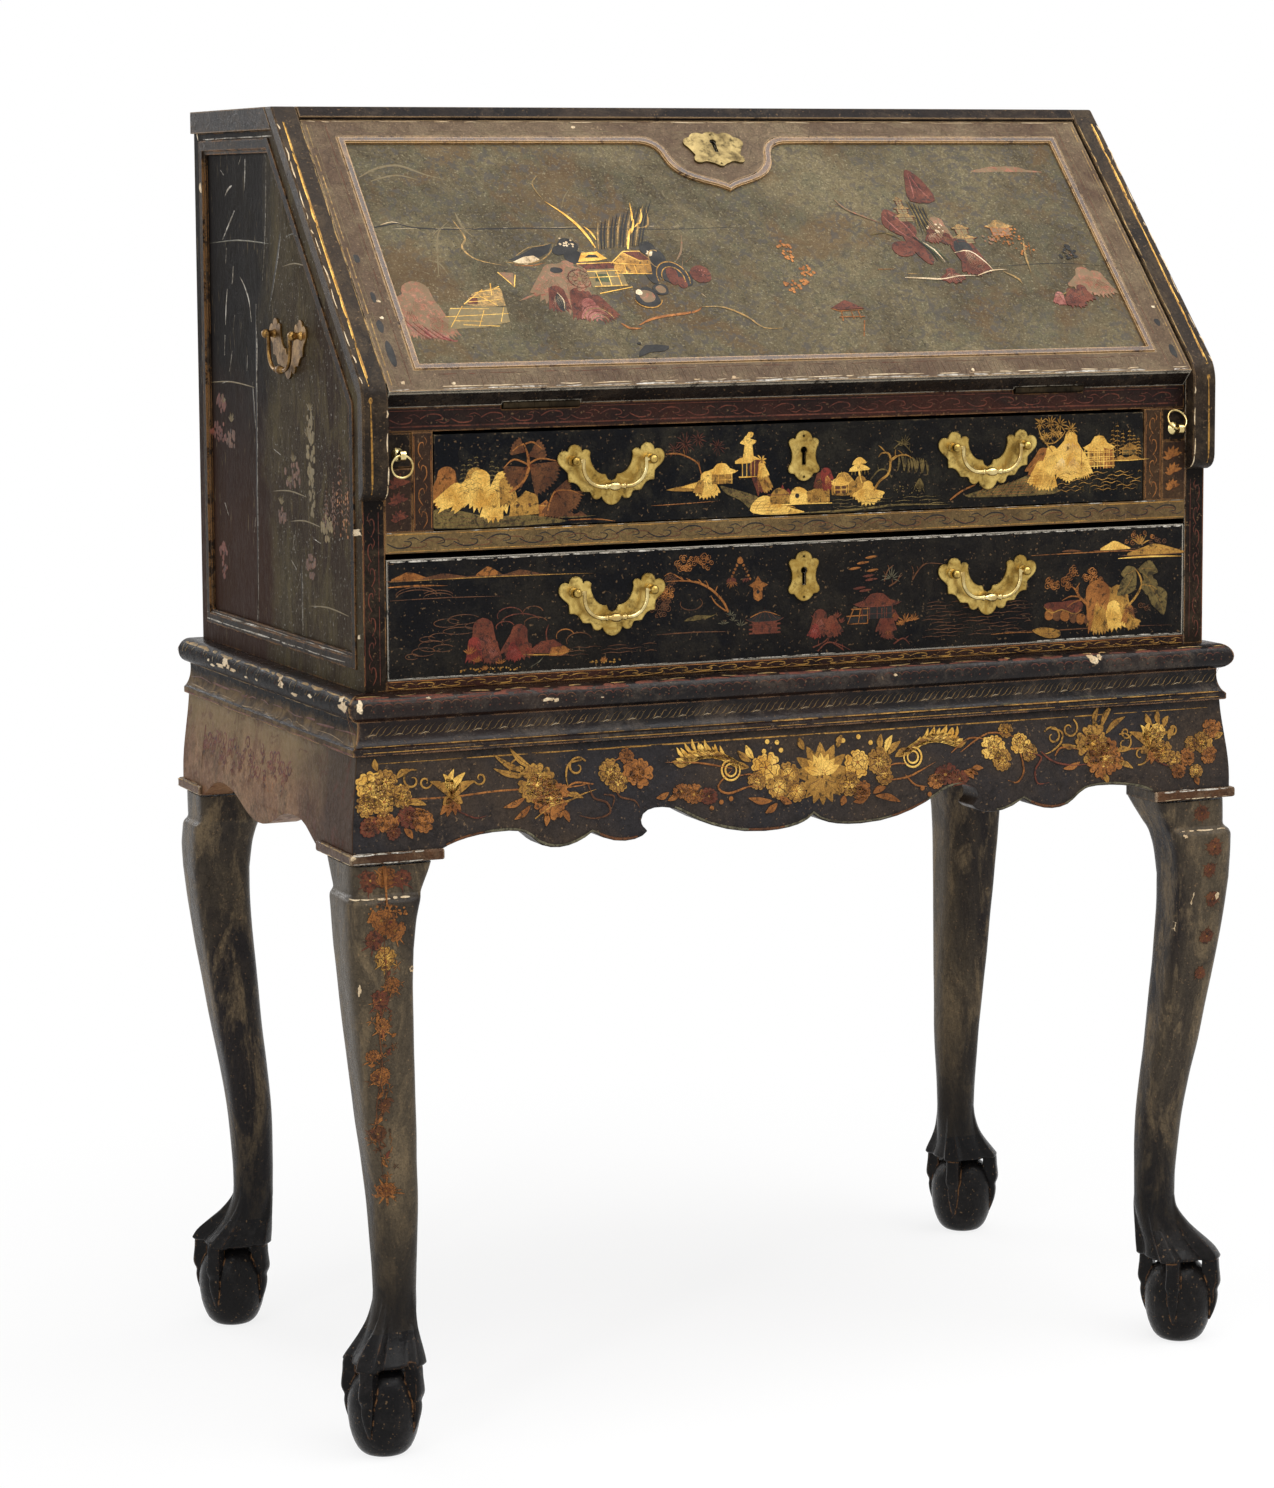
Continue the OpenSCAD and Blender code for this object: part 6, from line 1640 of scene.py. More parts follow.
    # Middle and right: hanging garden
    p.draw("""
    dabs 26 132 6 12 26 1.5 | 38 112 7 7 18 1.5 | 20 96 7 8 18 1.5 | 30 100 4 5 8 1.5 amber
    fill 44,73 58,81 62,79 72,72 64,72 52,71 rust 1
    stroke 44,73 50,70 | 50,70 70,71 | 50,60 52,70 | 60,62 60,70 | 66,62 66,70 | 48,64 70,64 | 68,60 62,44
        1.3 amber 1 0.8:0.6
    fill 119,160 124,174 132,172 146,156 140,144 126,150 | 118,132 122,140 134,140 136,128 124,125 | 132,146
        142,142 150,124 146,116 138,126 | 160,218 155,206 152,184 174,184 170,206 rust
    stroke 122,168 130,152 142,140 | 128,172 138,158 146,136 | 122,136 130,128 | 160,214 158,196 156,186 |
        161,214 164,198 170,186 | 162,208 162,188 | 140,138 146,122 | 126,160 134,150 1.2 pink 2
    pavilion 141 162 17 26 tan sand rust 3 3
    """)
    for k in range(9):
        p.stroke([(148 + 1.8 * k, 184 - k), (150 + 1.4 * k, 166), (147 + 3 * k, 150 - 2 * k)], 1.3,
                 "black" if k % 2 else "olive", 2)
    for k in range(4):
        p.stroke([(140 + 3 * k, 146 - 3 * k), (150 + 2 * k, 132), (153 + 3 * k, 118)], 1.5,
                 ("black", "green", "cream", "green")[k], 2)
    p.draw("""
    shell 166 160 20 -96 80 faded rust | 158 150 12 -92 90 rust cream | 170 146 10 -100 100 rust faded | 180
        134 31 -74 46 rust cream | 182 126 22 -86 80 rust faded 7
    dabs 164 154 8 6 14 1.2 cream
    pavilion 185 138 20 20 tan sand rust 2 3
    fill 172,128 174,140 184,142 188,130 180,132 black 2
    stroke 170,128 184,130 194,118 198,108 1.3 cream 3
    stroke 118,103 134,102 150,101 166,104 182,104 1.7 cream
    stroke 182,104 196,109 210,110 1.3 cream
    stroke 122,107 134,106 2.2 tan
    stroke 86,186 92,176 104,168 118,160 1.7 faded
    stroke 88,180 78,178 1.2 faded
    stroke 104,148 118,150 130,142 1.3 olive
    stroke 98,112 112,112 2 amber
    stroke 206,108 216,100 218,94 1.8 tan
    stroke 240,80 252,84 262,92 1.4 olive
    stroke 236,140 232,124 230,106 2 tan
    stroke 240,138 236,120 1.2 amber
    shell 160 108 13 -90 130 rust cream 5
    pavilion 220 146 22 16 tan faded amber
    dabs 222 146 16 10 46 1.3 amber
    dabs 208 142 8 5 18 1.2 faded
    dabs 234 130 8 8 14 1.1 amber
    dabs 270 127 8 8 20 1.6 black
    dabs 271 126 5 5 6 0.8 faded
    shell 276 104 22 -96 110 faded pink | 286 100 22 -84 70 faded red | 268 88 14 -100 110 rust faded | 258
        84 16 -96 90 rust pink | 246 82 11 -110 70 pink rust 7
    """)
    return p.build()


def paint_fall_frame():
    """Fine lines and worn places on the flat border round the fall."""
    p = Paintwork("painted_fall_frame", on_fall(-2.8), "fall", 9)
    p.draw("""
    flakes -328 -315 1.4 white 1.6 9 | -289 289 1.4 white 1.6 9 | 315 328 1.4 white 1.6 9 | -200 -315 3.6
        cream 0.8 16 | -289 289 3.6 cream 0.8 16 | 315 328 3.6 cream 0.8 16 | -300 -315 15.5 rust 0.5 16 |
        -289 289 15.5 rust 0.5 16 | 315 300 15.5 rust 0.5 16 | -300 300 257 drab 0.5 16 | -326 326 267.4
        cream 0.6 16 24
    """)
    for k in range(150):
        x = -322 + 4.3 * k
        if not 288 < abs(x) < 316:
            p.stroke([(x, 5 + p.wander(2)), (x + p.wander(1), 14 + p.wander(2))], 0.5,
                     ("rust", "brown", "drab")[k % 3], 1)
    for side in (-1, 1):
        for x, width, colour in ((327, 1.2, "tan"), (324, 0.6, "drab"), (314, 0.5, "drab"), (312, 0.5, "rust")):
            z = 6.0
            while z < 262:
                end = min(z + p.some(10, 40), 264)
                p.stroke([(side * x, z), (side * x + p.wander(0.3), end)], width, colour, 1, (0.7, 0.7))
                z = end + p.some(1, 9)
    p.draw("""
    oval -320 36 3 14 | -321 62 2.6 6 | -319 90 2 5 | -322 128 2.6 4 | 322 20 3 7 | 320 50 2.4 4 black
    """)
    for x, z in ((-318, 70), (-316, 86), (323, 66), (-280, 6), (-318, 8), (-60, 5), (140, 6), (-112, 262)):
        p.oval(x, z, 1.7, 1.5, "cream")
    return p.build()


def paint_apron():
    """The garland along the front of the stand."""
    p = Paintwork("painted_apron",
                  front_of("worked_apron_front", "carved_leg_front_left", "carved_leg_front_right"),
                  CASE_BODY, 12)
    p.lift = 0.12
    p.draw("""
    flakes -348 348 511 ochre 0.9 | -300 120 511.4 ochre 0.5 9 90 0.15
    stroke -334,485 -290,484 -250,486 -200,485 -184,486 1.3 amber 4 0.8:0.5
    stroke 262,483 285,483 308,482 1.3 amber 2
    """)
    # Middle: a large open flower with leaves, buds and small flowers on both sides
    p.draw("""
    bloom 8 480 25 ochre brown 3 -5 185
    bloom 8 481 16 gold amber 2 10 170
    bloom 8 478 20 ochre brown 2 188 352
    flower -38 489 11 5 gold | -20 482 9 5 ochre | -28 474 10 5 ochre | -14 470 8 5 ochre | 38 488 11 5 gold
        | 56 488 10 6 ochre | 30 472 10 5 ochre | 40 466 8 5 amber | 60 477 7 5 ochre | -46 480 7 5 ochre |
        155 492 10 6 gold | 162 482 8 5 ochre | 178 494 8 5 gold | 186 486 7 5 ochre | -142 492 11 5 amber |
        -164 494 9 5 ochre | -158 486 8 5 ochre | -150 504 6 5 amber | 166 504 6 4 ochre brown amber none
    leaf -50 494 140 14 2.6 ochre | -48 496 118 12 2.6 gold | -52 490 160 13 2.6 ochre | 62 494 62 14 2.6
        gold | 64 492 40 15 2.6 ochre | 58 496 84 12 2.6 ochre | 70 490 24 14 2.6 ochre | -6 500 110 10 2.6
        ochre | 22 500 66 10 2.6 ochre | 46 462 196 13 2.6 amber | 48 464 160 12 2.6 amber | 52 462 -16 22
        2.6 amber | 50 464 20 12 2.6 amber | -34 464 170 20 2.6 amber | -30 462 214 12 2.6 amber | -18 461
        150 12 2.6 amber | 26 464 250 8 2.6 amber brown 0.1
    dot -36 508 1.9 | -28 507 1.9 | -39 501 1.9 | -25 501 1.9 | 40 507 1.9 | 27 505 1.9 | 50 502 1.9 gold 8
    dot -76 466 1.9 | -84 462 1.9 | -68 468 1.9 | 92 465 1.9 | 98 460 1.9 amber 8
    """)
    # Feathered leaves, one each way
    p.draw("""
    crest -68 490 -1
    crest 86 490 1
    stroke -66,489 -78,478 -70,472 -52,476 -40,474 1.6 amber
    stroke 60,473 78,474 90,478 104,484 1.5 amber
    stroke 78,476 86,468 96,466 | -132,490 -150,504 -168,498 | -66,490 -93,496 -120,498 | 118,490 134,500
        150,498 | 126,490 151,503 176,498 1.3 amber
    flower -98 473 9 6 amber | -108 476 7 6 amber | -86 471 7 6 rust | 112 474 10 6 rust | 124 470 8 6 rust
        | 104 470 7 6 amber brown ochre none 0.85
    leaf -118 476 200 11 2.2 | -110 476 214 11 2.2 | 130 476 -20 11 2.2 | 134 476 4 11 2.2 | 128 476 -38 11
        2.2 amber brown
    """)
    # Ribbons and curls
    p.draw("""
    stroke -182,486 -178,476 -168,472 -166,464 -178,461 -190,464 1.5 brown 4 0.7:0.3
    stroke -170,478 -162,476 -164,468 1.2 brown 4 0.7:0.3
    stroke -160,486 -158,476 -146,472 -142,466 1.3 brown 4 0.7:0.3
    stroke -200,474 -188,479 -176,482 1 ochre 4 0.7:0.3
    stroke -225,464 -212,472 -196,476 -184,480 1.2 ochre 4 0.7:0.3
    stroke 184,486 196,482 190,472 192,462 202,462 | 196,486 206,478 222,474 236,474 1.4 rust 4 0.7:0.3
    stroke 178,486 180,472 174,464 166,466 1.5 amber 4 0.7:0.3
    stroke -178,486 -192,488 -200,484 | 208,482 214,488 228,486 1.4 amber 4 0.7:0.3
    stroke -186,504 -196,502 -199,494 -198,486 | 206,503 215,500 214,492 206,486 200,484 1.5 ochre 4 0.7:0.3
    curl -190 499 8 30 1 | 207 497 8 150 -1 | -236 500 8 100 1 | 222 502 8 60 -1 | 270 488 8 120 -1 | -318
        498 8 60 1 | 284 478 8 250 1 ochre 1.5
    """)
    # Large flowers to the left and right, with long leaves
    for x, z, line in ((-222, 488, "brown"), (242, 489, "brown"), (-212, 478, "brown"), (252, 477, "brown")):
        p.flower(x, z, 15, 7, "ochre" if z > 480 else "amber", line, "gold", p.chance.random() * 3)
        p.flower(x + 1, z + 1, 8, 5, "gold", "amber", "amber", 0.5)
    for x, z, angle, length in ((-228, 498, 152, 30), (-230, 496, 166, 26), (-224, 500, 138, 24),
                                (-232, 480, 200, 18), (-228, 474, 216, 16), (-216, 468, 268, 10),
                                (-204, 470, 300, 12), (-200, 480, -14, 14), (250, 500, 58, 22),
                                (244, 502, 74, 16), (254, 496, 34, 22), (262, 474, -22, 16),
                                (250, 466, -64, 10), (230, 476, 196, 16), (228, 488, 170, 14),
                                (262, 482, 4, 14)):
        p.leaf(x, z, angle, length, 2.2, "ochre" if angle < 180 else "amber", "brown", 0.12)
    # Tulips at the far ends
    for x, side in ((-288, -1), (292, 1)):
        for angle, length in ((60, 22), (84, 22), (108, 20), (34, 22), (140, 22), (200, 8), (-20, 8)):
            p.leaf(x, 482, angle, length, 3.2, "gold" if 50 < angle < 120 else "ochre", "amber",
                   0.25 if angle < 90 else -0.25)
        p.curl(x + 22, 496, 5, 200, 1, "ochre", 1.4)
        p.curl(x - 20, 496, 5, -20, -1, "ochre", 1.4)
        for angle in (240, 262, 290, 310):
            p.leaf(x + side * 3, 484, angle, 14, 2.4, "amber", "brown")
        p.stroke([(x, 476), (x + 16, 468), (x + 26, 469)], 1.1, "rust", 3)
    # Corner blocks
    p.draw("""
    flower -350 494 11 5 gold | -338 498 9 5 ochre | -354 482 8 5 ochre | -340 484 10 5 ochre | -326 487 8 5
        ochre | -352 467 8 5 rust | -340 470 8 5 amber | -322 472 8 5 rust | -312 469 9 5 amber | -334 462 6
        5 rust | 304 480 9 5 ochre | 314 472 7 5 ochre | 326 474 7 5 amber | 340 484 9 5 ochre | 350 494 8 5
        amber | 330 484 6 5 ochre | 318 463 6 5 amber | 334 462 6 5 ochre | 346 474 7 5 amber | 300 494 7 5
        gold brown amber none
    leaf -330 500 30 12 2.4 ochre | -344 506 100 9 2.4 ochre | -324 482 -8 16 2.4 ochre | -318 478 -40 12
        2.4 amber | -330 474 240 12 2.4 amber | -348 474 200 8 2.4 amber | -326 464 -50 10 2.4 amber | 310
        488 60 12 2.4 ochre | 322 468 20 10 2.4 amber | 332 458 -60 8 2.4 amber | 352 486 30 9 2.4 ochre |
        302 500 90 12 2.4 ochre | 306 498 60 10 2.4 ochre | 296 500 120 11 2.4 ochre brown
    dabs -340 488 18 14 40 0.8 gold
    """)
    # The worn line along the scalloped lower edge
    edge = laid_on(("worked_apron_front",), lambda u, v: mm(u, v, 300), (0, 0, 1))
    line = [(x, edge(x, -199, 0).z * 1000 + 1.6) for x in range(-294, 295, 6)]
    for k in range(0, len(line) - 1, 5):
        part = line[k:k + 6]
        if all(abs(a[1] - b[1]) < 6 for a, b in zip(part, part[1:])):
            p.stroke(part, p.some(1.2, 2.0), "grey" if k % 4 else "brown", 1, (0.8, 0.7))
    return p.build(7)


def paint_mouldings():
    """Fine bands and bared places on the stand's moulding."""
    p = Paintwork("painted_mouldings", front_of("worked_stand_moulding"), CASE_BODY, 14)
    p.lift = 0.1
    p.draw("""
    flakes -355 356 523.5 ochre 0.8 | -355 356 519.5 ochre 0.7 10 110 0.1
    """)
    for k in range(140):
        x, far = -352 + 5.05 * k, p.some(0.8, 1.15)
        p.stroke([(x, 530.5), (x + 3.5 * far, 532), (x + 6 * far, 535.5), (x + 9.5 * far, 538)], 0.4, "tan", 2)
        if k % 4 == 0:
            p.stroke([(x + 2, 530.5), (x + 6, 531.8), (x + 9, 531)], 0.4, "cream", 2)
    for k in range(96):
        x = -352 + 7.4 * k
        if p.chance.random() < 0.8:
            p.ring(x, 552.6, 3.4, 2.2, "rust" if k % 3 else "brown", 0.5, 5, 175)
            p.dot(x + 3.7, 549.6, 0.6, "rust", 5)
    p.draw("""
    flakes -360 360 558.6 rust 1.6 9 30
    flakes -350 -150 557 rust 1.8 8 26 0.8
    flakes -360 360 559.8 tan 0.5 30 16 0.3
    flakes -20 356 525 grey 0.8 40 20 1.5
    oval -214 551 5 1.6 | -208 550 2.4 1.4 | 241 555 4.5 4 | 238 558 3 2 | 246 557 2 2.6 | 68 553 1.8 1 |
        -359 553 3 5 | -306 557 2.6 0.8 | -172 550 1.2 0.6 cream
    """)
    p.build(4)
    q = Paintwork("painted_left_moulding", side_of(-1, "worked_stand_moulding"), CASE_BODY, 15, True)
    q.lift = 0.1
    q.draw("""
    oval -194 553 9 4 | -186 557 5 2 | -122 552 5 1.4 | -88 549 8 1.5 | -56 553 6 3 | -50 557 3 2.4 | 2 550
        3 1 | 60 551 8 1.4 | 82 555 8 3.4 | 92 551 10 2 | 72 552 4 2 | 112 549 6 1.2 | 122 552 3 1 | 28 549
        4 1 cream
    """)
    for k in range(46):
        y = -204 + 9 * k + q.wander(4)
        q.stroke([(y, 557 + q.wander(2)), (y + q.wander(4), 553 + q.wander(2))], q.some(0.6, 2.2),
                 ("rust", "tan", "cream")[k % 3], 1)
    q.draw("""
    flakes -205 200 558.6 tan 1.6 12 26 0.6
    flakes -205 200 541 tan 1 10 40
    flakes -205 200 531 rust 1.4 12 40 1.5
    flakes -205 200 518.6 rust 1.2 14 60 0.3
    flakes -205 200 525 tan 0.6 16 50 1.6
    """)
    q.build(4)


def paint_borders():
    """Running scrolls on the rails and stiles, and the lines on the lips."""
    p = Paintwork("painted_rails", on_front(-186.7), CASE_BODY, 16)
    p.scroll_row(-326, 326, 755, 23, 4.2, "rust", 0.9, (749.4, 761))
    p.flakes(-326, 326, 750, "rust", 0.7, 3, 70, 0.1)
    p.build()
    face = front_of("worked_drawer_blade", "worked_base_rail", "worked_front_stiles", "worked_cheek_left",
                    "worked_cheek_right")
    q = Paintwork("painted_frame", face, CASE_BODY, 17)
    q.lift = 0.06
    q.draw("""
    scroll_row -330 330 667 25 4.6 black 1.1
    scroll_row -318 330 666 25 3.4 brown 0.8
    flakes -330 330 673 | -330 330 661 ochre 0.7 5 60 0.1
    flakes -330 330 674.2 white 0.5 30 16 0.1
    scroll_row -330 330 564.4 20 2.2 ochre
    flakes -330 330 567.4 amber 0.7 3 80 | -330 330 562 ochre 0.5 9 60 0.1
    """)
    for side in (-1, 1):
        for x, z, reach in ((320, 712, 9), (321, 700, 8), (320, 688, 7)):
            for angle in range(20, 181, 32):
                q.leaf(side * x, z - 4, angle, reach, 1.5, "rust" if side < 0 else "amber")
            q.stroke([(side * x, z - 8), (side * (x + 1), z)], 0.9, "rust", 2)
    q.build()
    for side in (-1, 1):
        for x0, low, high, reach, colour in ((302.3, 677, 743, 5.4, "amber"), (342, 566, 690, 4.6, "rust")):
            u = Paintwork("painted_strip_%d_%d" % (x0, side + 1), upright(face, side * x0), CASE_BODY,
                          18 + side)
            u.lift = 0.06
            u.scroll_row(low, high, 0, 17, reach - 1.4, colour, 0.8, (-reach - 1, reach + 1))
            u.build()
        lips = ("worked_cheek_lips",)
        v = Paintwork("painted_lip_slope_%d" % (side + 1), upright(slope_of(*lips), side * 341.5), CASE_BODY,
                      21)
        v.flakes(4, 264, -side * 3.4, "ochre", 2.6, 1, 90, 0.3)
        v.flakes(4, 264, -side * 4.2, "gold", 1.1, 5, 50, 0.4)
        v.flakes(6, 262, -side * 8.6, "cream", 1.0, 22, 14, 0.8)
        v.flakes(6, 262, side * 9, "tan", 1.2, 4, 34, 0.5)
        v.build(8)
        v = Paintwork("painted_lip_front_%d" % (side + 1), upright(front_of(*lips), side * 341.5), CASE_BODY,
                      22)
        v.flakes(700, 772, -side * 3.4, "ochre", 2.4, 2, 50, 0.3)
        v.flakes(700, 768, side * 8.8, "cream", 0.9, 18, 10, 0.6)
        v.build(6)


def paint_side(side):
    """Old plants, bared places, splits and painted glints on a cheek."""
    name = "left" if side < 0 else "right"
    p = Paintwork("painted_cheek_" + name,
                  side_of(side, "worked_cheek_" + name, "worked_side_panel_mouldings"), CASE_BODY, 30 + side,
                  side < 0)
    p.lift = 0.1
    for y, z, up, reach in ((-148, 668, 48, 7), (-134, 666, 70, 9), (-120, 666, 44, 7), (-104, 662, 40, 8)):
        p.pine(y, z, up, reach, "brown", 9)
        p.dabs(y, z + up * 0.4, reach, up * 0.4, 20, 1.4, "amber" if up > 45 else "brown")
    p.draw("""
    dabs -104 672 12 9 26 2.6 sand
    dabs -72 700 8 22 26 2.6 | -70 744 8 14 26 2.6 drab
    dabs -68 642 11 9 26 2.6 | -2 674 9 6 26 2.6 | -30 706 20 10 26 2.6 brown
    dabs 146 752 12 7 26 2.6 | 150 730 18 8 26 2.6 | 146 628 10 16 26 2.6 rust
    dabs 120 725 12 7 26 2.6 brown
    dabs -70 720 9 20 26 2.6 sand
    spray -70 756 9 7 | -64 736 10 7 | -30 716 9 7 | -20 700 8 7 | 0 682 8 7 | 120 738 9 7 | 140 752 8 7
        drab 20 170 1.2
    """)
    for a, b, z in ((-90, -20, 672), (-60, 20, 692), (-150, -60, 612), (60, 176, 768), (20, 168, 878),
                    (-70, -10, 862), (-60, -20, 884)):
        p.stroke([(a, z), ((a + b) / 2, z + 2), (b, z - 1)], 1.1, "drab" if z < 870 else "grey", 3)
    # Splits in the lacquer, each drawn black with a white stroke beside it as a painted glint of light on its
    # edge.
    for points, width in ((((54, 832), (55, 790), (56, 740), (58, 690), (59, 640), (61, 585)), 3.0),
                          (((-8, 886), (-2, 872), (8, 852), (24, 826)), 2.6),
                          (((-45, 640), (-46, 615), (-44, 588)), 1.5),
                          (((66, 772), (62, 750), (60, 735)), 2.0),
                          (((24, 950), (27, 910), (31, 880), (38, 850)), 1.2),
                          (((-30, 672), (-32, 655)), 1.8)):
        p.stroke(points, width, "black", 4, (0.4, 0.1))
        p.stroke([(y - 1.7, z) for y, z in points], 0.8, "white", 4, (0.2, 0.1))
    # The short white strokes are painted glints of light on the glossy lacquer; the white flakes are bared
    # edges and the cream ovals chips.
    p.draw("""
    stroke 74,942 75,930 77,918 | 108,922 118,919 126,914 | 102,903 116,893 134,880 | 124,874 127,862 |
        108,860 110,850 112,846 | 65,818 70,834 82,846 92,852 | 124,842 128,828 130,814 | 106,822 112,808 |
        114,794 122,778 | 76,792 78,780 | 54,818 52,800 54,780 56,756 | -44,634 -38,624 | -46,618 -47,592 |
        -30,662 -26,650 | 62,668 66,656 | -34,636 -22,642 | 128,770 140,768 | 132,806 134,790 | 60,600
        63,588 | 136,934 128,930 | 84,944 90,938 | 0,720 14,723 | -90,660 -76,662 | 130,664 140,674 1.9
        white 3 0.3:0.2
    flakes -152 178 584.5 white 0.9 10 50 | -152 178 579 white 1.2 8 50 | 0 170 958 white 0.9 8 40 0.4
    oval 176 920 3 5 | -186 676 9 2.4 | -178 674 6 2 | -180 600 3 1.6 | 130 976 3 1.4 | 186 964 2 2 cream
    """)
    p.build(9)
    q = Paintwork("painted_side_apron_" + name, side_of(side, "worked_apron_" + name), CASE_BODY, 34 + side,
                  side < 0)
    q.lift = 0.1
    for k in range(46):
        y, z = -60 + 5.4 * k + q.wander(3), 486 - 0.05 * k + q.wander(11)
        q.curl(y, z, q.some(3, 7), q.some(0, 360), q.chance.choice((-1, 1)), "rust", 1.9)
        q.spray(y + q.wander(6), z - 4, 6, 4, "brown" if k % 3 else "rust", 200, 340, 1.4)
    q.draw("""
    dabs 100 478 10 4 18 1.3 | 186 474 9 5 18 1.3 | 150 482 5 3 18 1.3 | -16 486 6 4 18 1.3 rust
    dabs -10 472 16 6 26 0.9 amber
    """)
    q.build(8)


def paint_legs():
    """Flowers down the front legs, and the rubbed edges of the collars and ledges."""
    p = Paintwork("painted_left_leg", front_of("carved_leg_front_left", "worked_knee_collars"), CASE_BODY, 40)
    p.lift = 0.15
    for x, z, reach, colour in ((-352, 428, 8, "rust"), (-340, 430, 9, "amber"), (-328, 428, 7, "rust"),
                                (-346, 400, 9, "amber"), (-336, 392, 8, "amber"), (-352, 386, 7, "rust"),
                                (-343, 372, 8, "ochre"), (-338, 352, 6, "amber"), (-346, 342, 7, "rust"),
                                (-344, 322, 6, "amber"), (-350, 300, 5, "amber"), (-344, 284, 7, "amber"),
                                (-340, 262, 5, "brown"), (-344, 240, 6, "brown"), (-336, 196, 6, "amber")):
        p.flower(x, z, reach, 5, colour, "brown", "ochre", p.chance.random() * 3)
        p.spray(x, z - 3, reach * 1.5, 6, colour, 0, 360, 1.1)
    p.draw("""
    stroke -340,412 -344,380 -341,350 -346,320 -343,290 -346,260 -342,230 -338,200 1 brown
    dabs -342 404 16 8 40 1 amber
    dabs -342 300 7 60 50 0.9 brown
    spray -336 194 13 11 amber 0 360 1.2
    """)
    for k in range(34):
        z = 412 - 6.6 * k
        x = -343 + 4.5 * math.sin(k * 0.9) + p.wander(3)
        p.leaf(x, z, p.some(0, 360), p.some(4, 8), 1.2, ("amber", "brown", "rust")[k % 3], None)
        p.spray(x + p.wander(8), z, p.some(3, 6), 5, ("brown", "amber")[k % 2], 0, 360, 0.6)
    p.draw("""
    flakes -366 -312 447.4 white | -366 -312 441 white | -366 -322 415.2 cream 1.3 3 16 0.3
    oval -322 362 2.2 3 | -361 350 1 5 | -366 446 2 2 cream
    """)
    p.build(6)
    q = Paintwork("painted_right_leg", front_of("carved_leg_front_right", "worked_knee_collars"), CASE_BODY, 41)
    q.lift = 0.15
    q.draw("""
    flakes 304 362 447.4 white 1.2 4 16 | 304 362 441 cream 0.9 6 12 | 320 364 415.2 cream 0.9 6 12 0.3
    """)
    for x, z, reach in ((340, 428, 7), (348, 402, 7), (344, 384, 6), (348, 360, 6), (345, 330, 6),
                        (342, 300, 5)):
        q.flower(x, z, reach, 5, "brown", "rust", "amber", q.chance.random() * 3)
        q.spray(x, z, reach * 1.4, 6, "brown", 0, 360, 1.0)
    q.draw("""
    oval 352 362 2 3 | 318 340 1.4 5 | 322 412 2 1.4 cream
    """)
    q.build(6)
    for side in (-1, 1):
        legs = ["carved_" + node for node, _, _ in LEGS]
        r = Paintwork("painted_leg_sides_%d" % (side + 1), side_of(side, "worked_knee_collars", *legs),
                      CASE_BODY, 43 + side, side < 0)
        r.lift = 0.15
        for y0, y1 in ((-208, -142), (142, 208)):
            r.flakes(y0, y1, 447.4, "tan", 1.3, 3, 16, 0.3)
            r.flakes(y0, y1, 441, "cream", 0.9, 6, 12, 0.3)
        r.build(6)


paint_upper_drawer()
paint_lower_drawer()
paint_fall()
paint_fall_frame()
paint_apron()
paint_mouldings()
paint_borders()
for side in (-1, 1):
    paint_side(side)
paint_legs()


# Room, light and camera

def make_world():
    world = bpy.data.worlds.new("studio")
    bpy.context.scene.world = world
    world.use_nodes = True
    w = Wiring(world.node_tree)
    rays = w.add("LightPath").outputs
    seen = w.math("MAXIMUM", w.math("MAXIMUM", rays["Is Camera Ray"], rays["Is Glossy Ray"]),
                  rays["Is Transmission Ray"])
    background = world.node_tree.nodes["Background"]
    background.inputs["Color"].default_value = (1, 1, 1, 1)
    w.put(background.inputs["Strength"], w.span(seen, 0, 1, 0.5, 1.0))


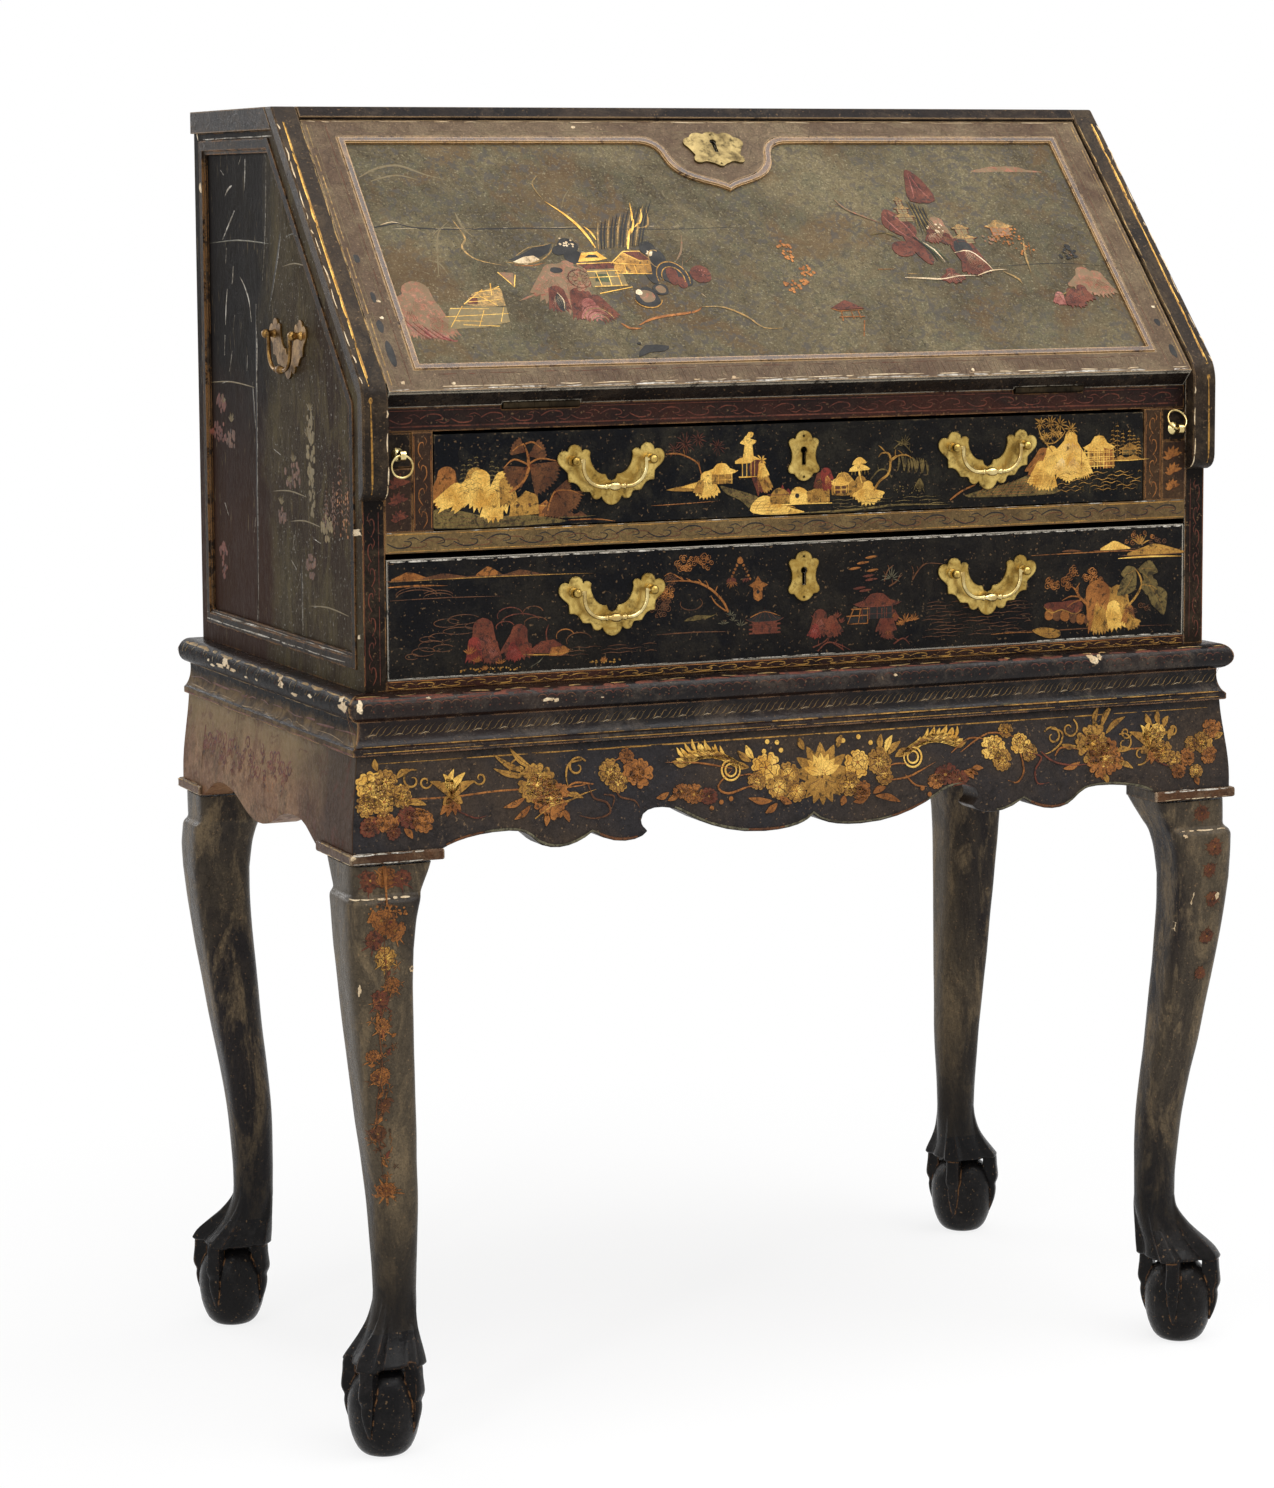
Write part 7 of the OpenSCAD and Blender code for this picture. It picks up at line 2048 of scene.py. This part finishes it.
def make_floor():
    """A pale floor that keeps the object's shadow and fades to white away from it."""
    bm = bmesh.new()
    corners = [(-9, -9), (9, -9), (9, 9), (-9, 9)]
    bm.faces.new([bm.verts.new((x, y, 0)) for x, y in corners])
    mesh = bpy.data.meshes.new("floor")
    bm.to_mesh(mesh)
    bm.free()
    floor = placed("floor", mesh)
    material = bpy.data.materials.new("pale floor")
    material.use_nodes = True
    tree = material.node_tree
    tree.nodes.clear()
    w = Wiring(tree)
    place = w.add("TexCoord").outputs["Object"]
    far = w.add("VectorMath", place, operation="LENGTH").outputs["Value"]
    matte = w.add("BsdfDiffuse", (0.9, 0.9, 0.9, 1))
    white = w.add("Emission", (1, 1, 1, 1), 1.0)
    blend = w.add("MixShader", w.span(far, 0.3, 0.9, 0.8, 1.0), matte.outputs[0], white.outputs[0])
    output = w.add("OutputMaterial")
    tree.links.new(blend.outputs[0], output.inputs[0])
    mesh.materials.append(material)


def softbox(name, place, aim, size, power):
    lamp = bpy.data.lights.new(name, "AREA")
    lamp.shape = "RECTANGLE"
    lamp.size, lamp.size_y = size
    lamp.energy = power
    holder = placed(name, lamp)
    holder.location = place
    holder.rotation_euler = (Vector(aim) - Vector(place)).to_track_quat("-Z", "Y").to_euler()


def make_camera():
    yaw, pitch, roll = (math.radians(a) for a in (-23.692, -6.3666, -0.3395))
    ahead = Vector((math.sin(-yaw) * math.cos(pitch), math.cos(-yaw) * math.cos(pitch), math.sin(pitch)))
    right = Vector((math.cos(-yaw), -math.sin(-yaw), 0))
    up = right.cross(ahead)
    across = right * math.cos(roll) + up * math.sin(roll)
    above = -right * math.sin(roll) + up * math.cos(roll)
    lens = bpy.data.cameras.new("view")
    lens.lens = 92.755
    lens.sensor_width = 36
    lens.shift_y = -0.0806
    camera = placed("view", lens)
    turned = Matrix((across, above, -ahead)).transposed().to_4x4()
    camera.matrix_world = Matrix.Translation(mm(-1259.7, -2750.2, 911.9)) @ turned
    bpy.context.scene.camera = camera


make_world()
make_floor()
softbox("overhead", (0.3, -0.7, 2.9), (0, 0, 0.6), (3.0, 2.4), 70)
softbox("front_high", (1.0, -1.7, 2.5), (0, 0, 0.5), (1.6, 0.3), 15)
softbox("left_front", (-2.6, -1.9, 1.7), (0, 0, 0.5), (0.3, 1.4), 16)
softbox("left_back", (-1.5, 2.6, 1.5), (-0.36, 0, 0.6), (1.6, 0.25), 16)
make_camera()
bpy.context.scene.view_settings.view_transform = "Standard"
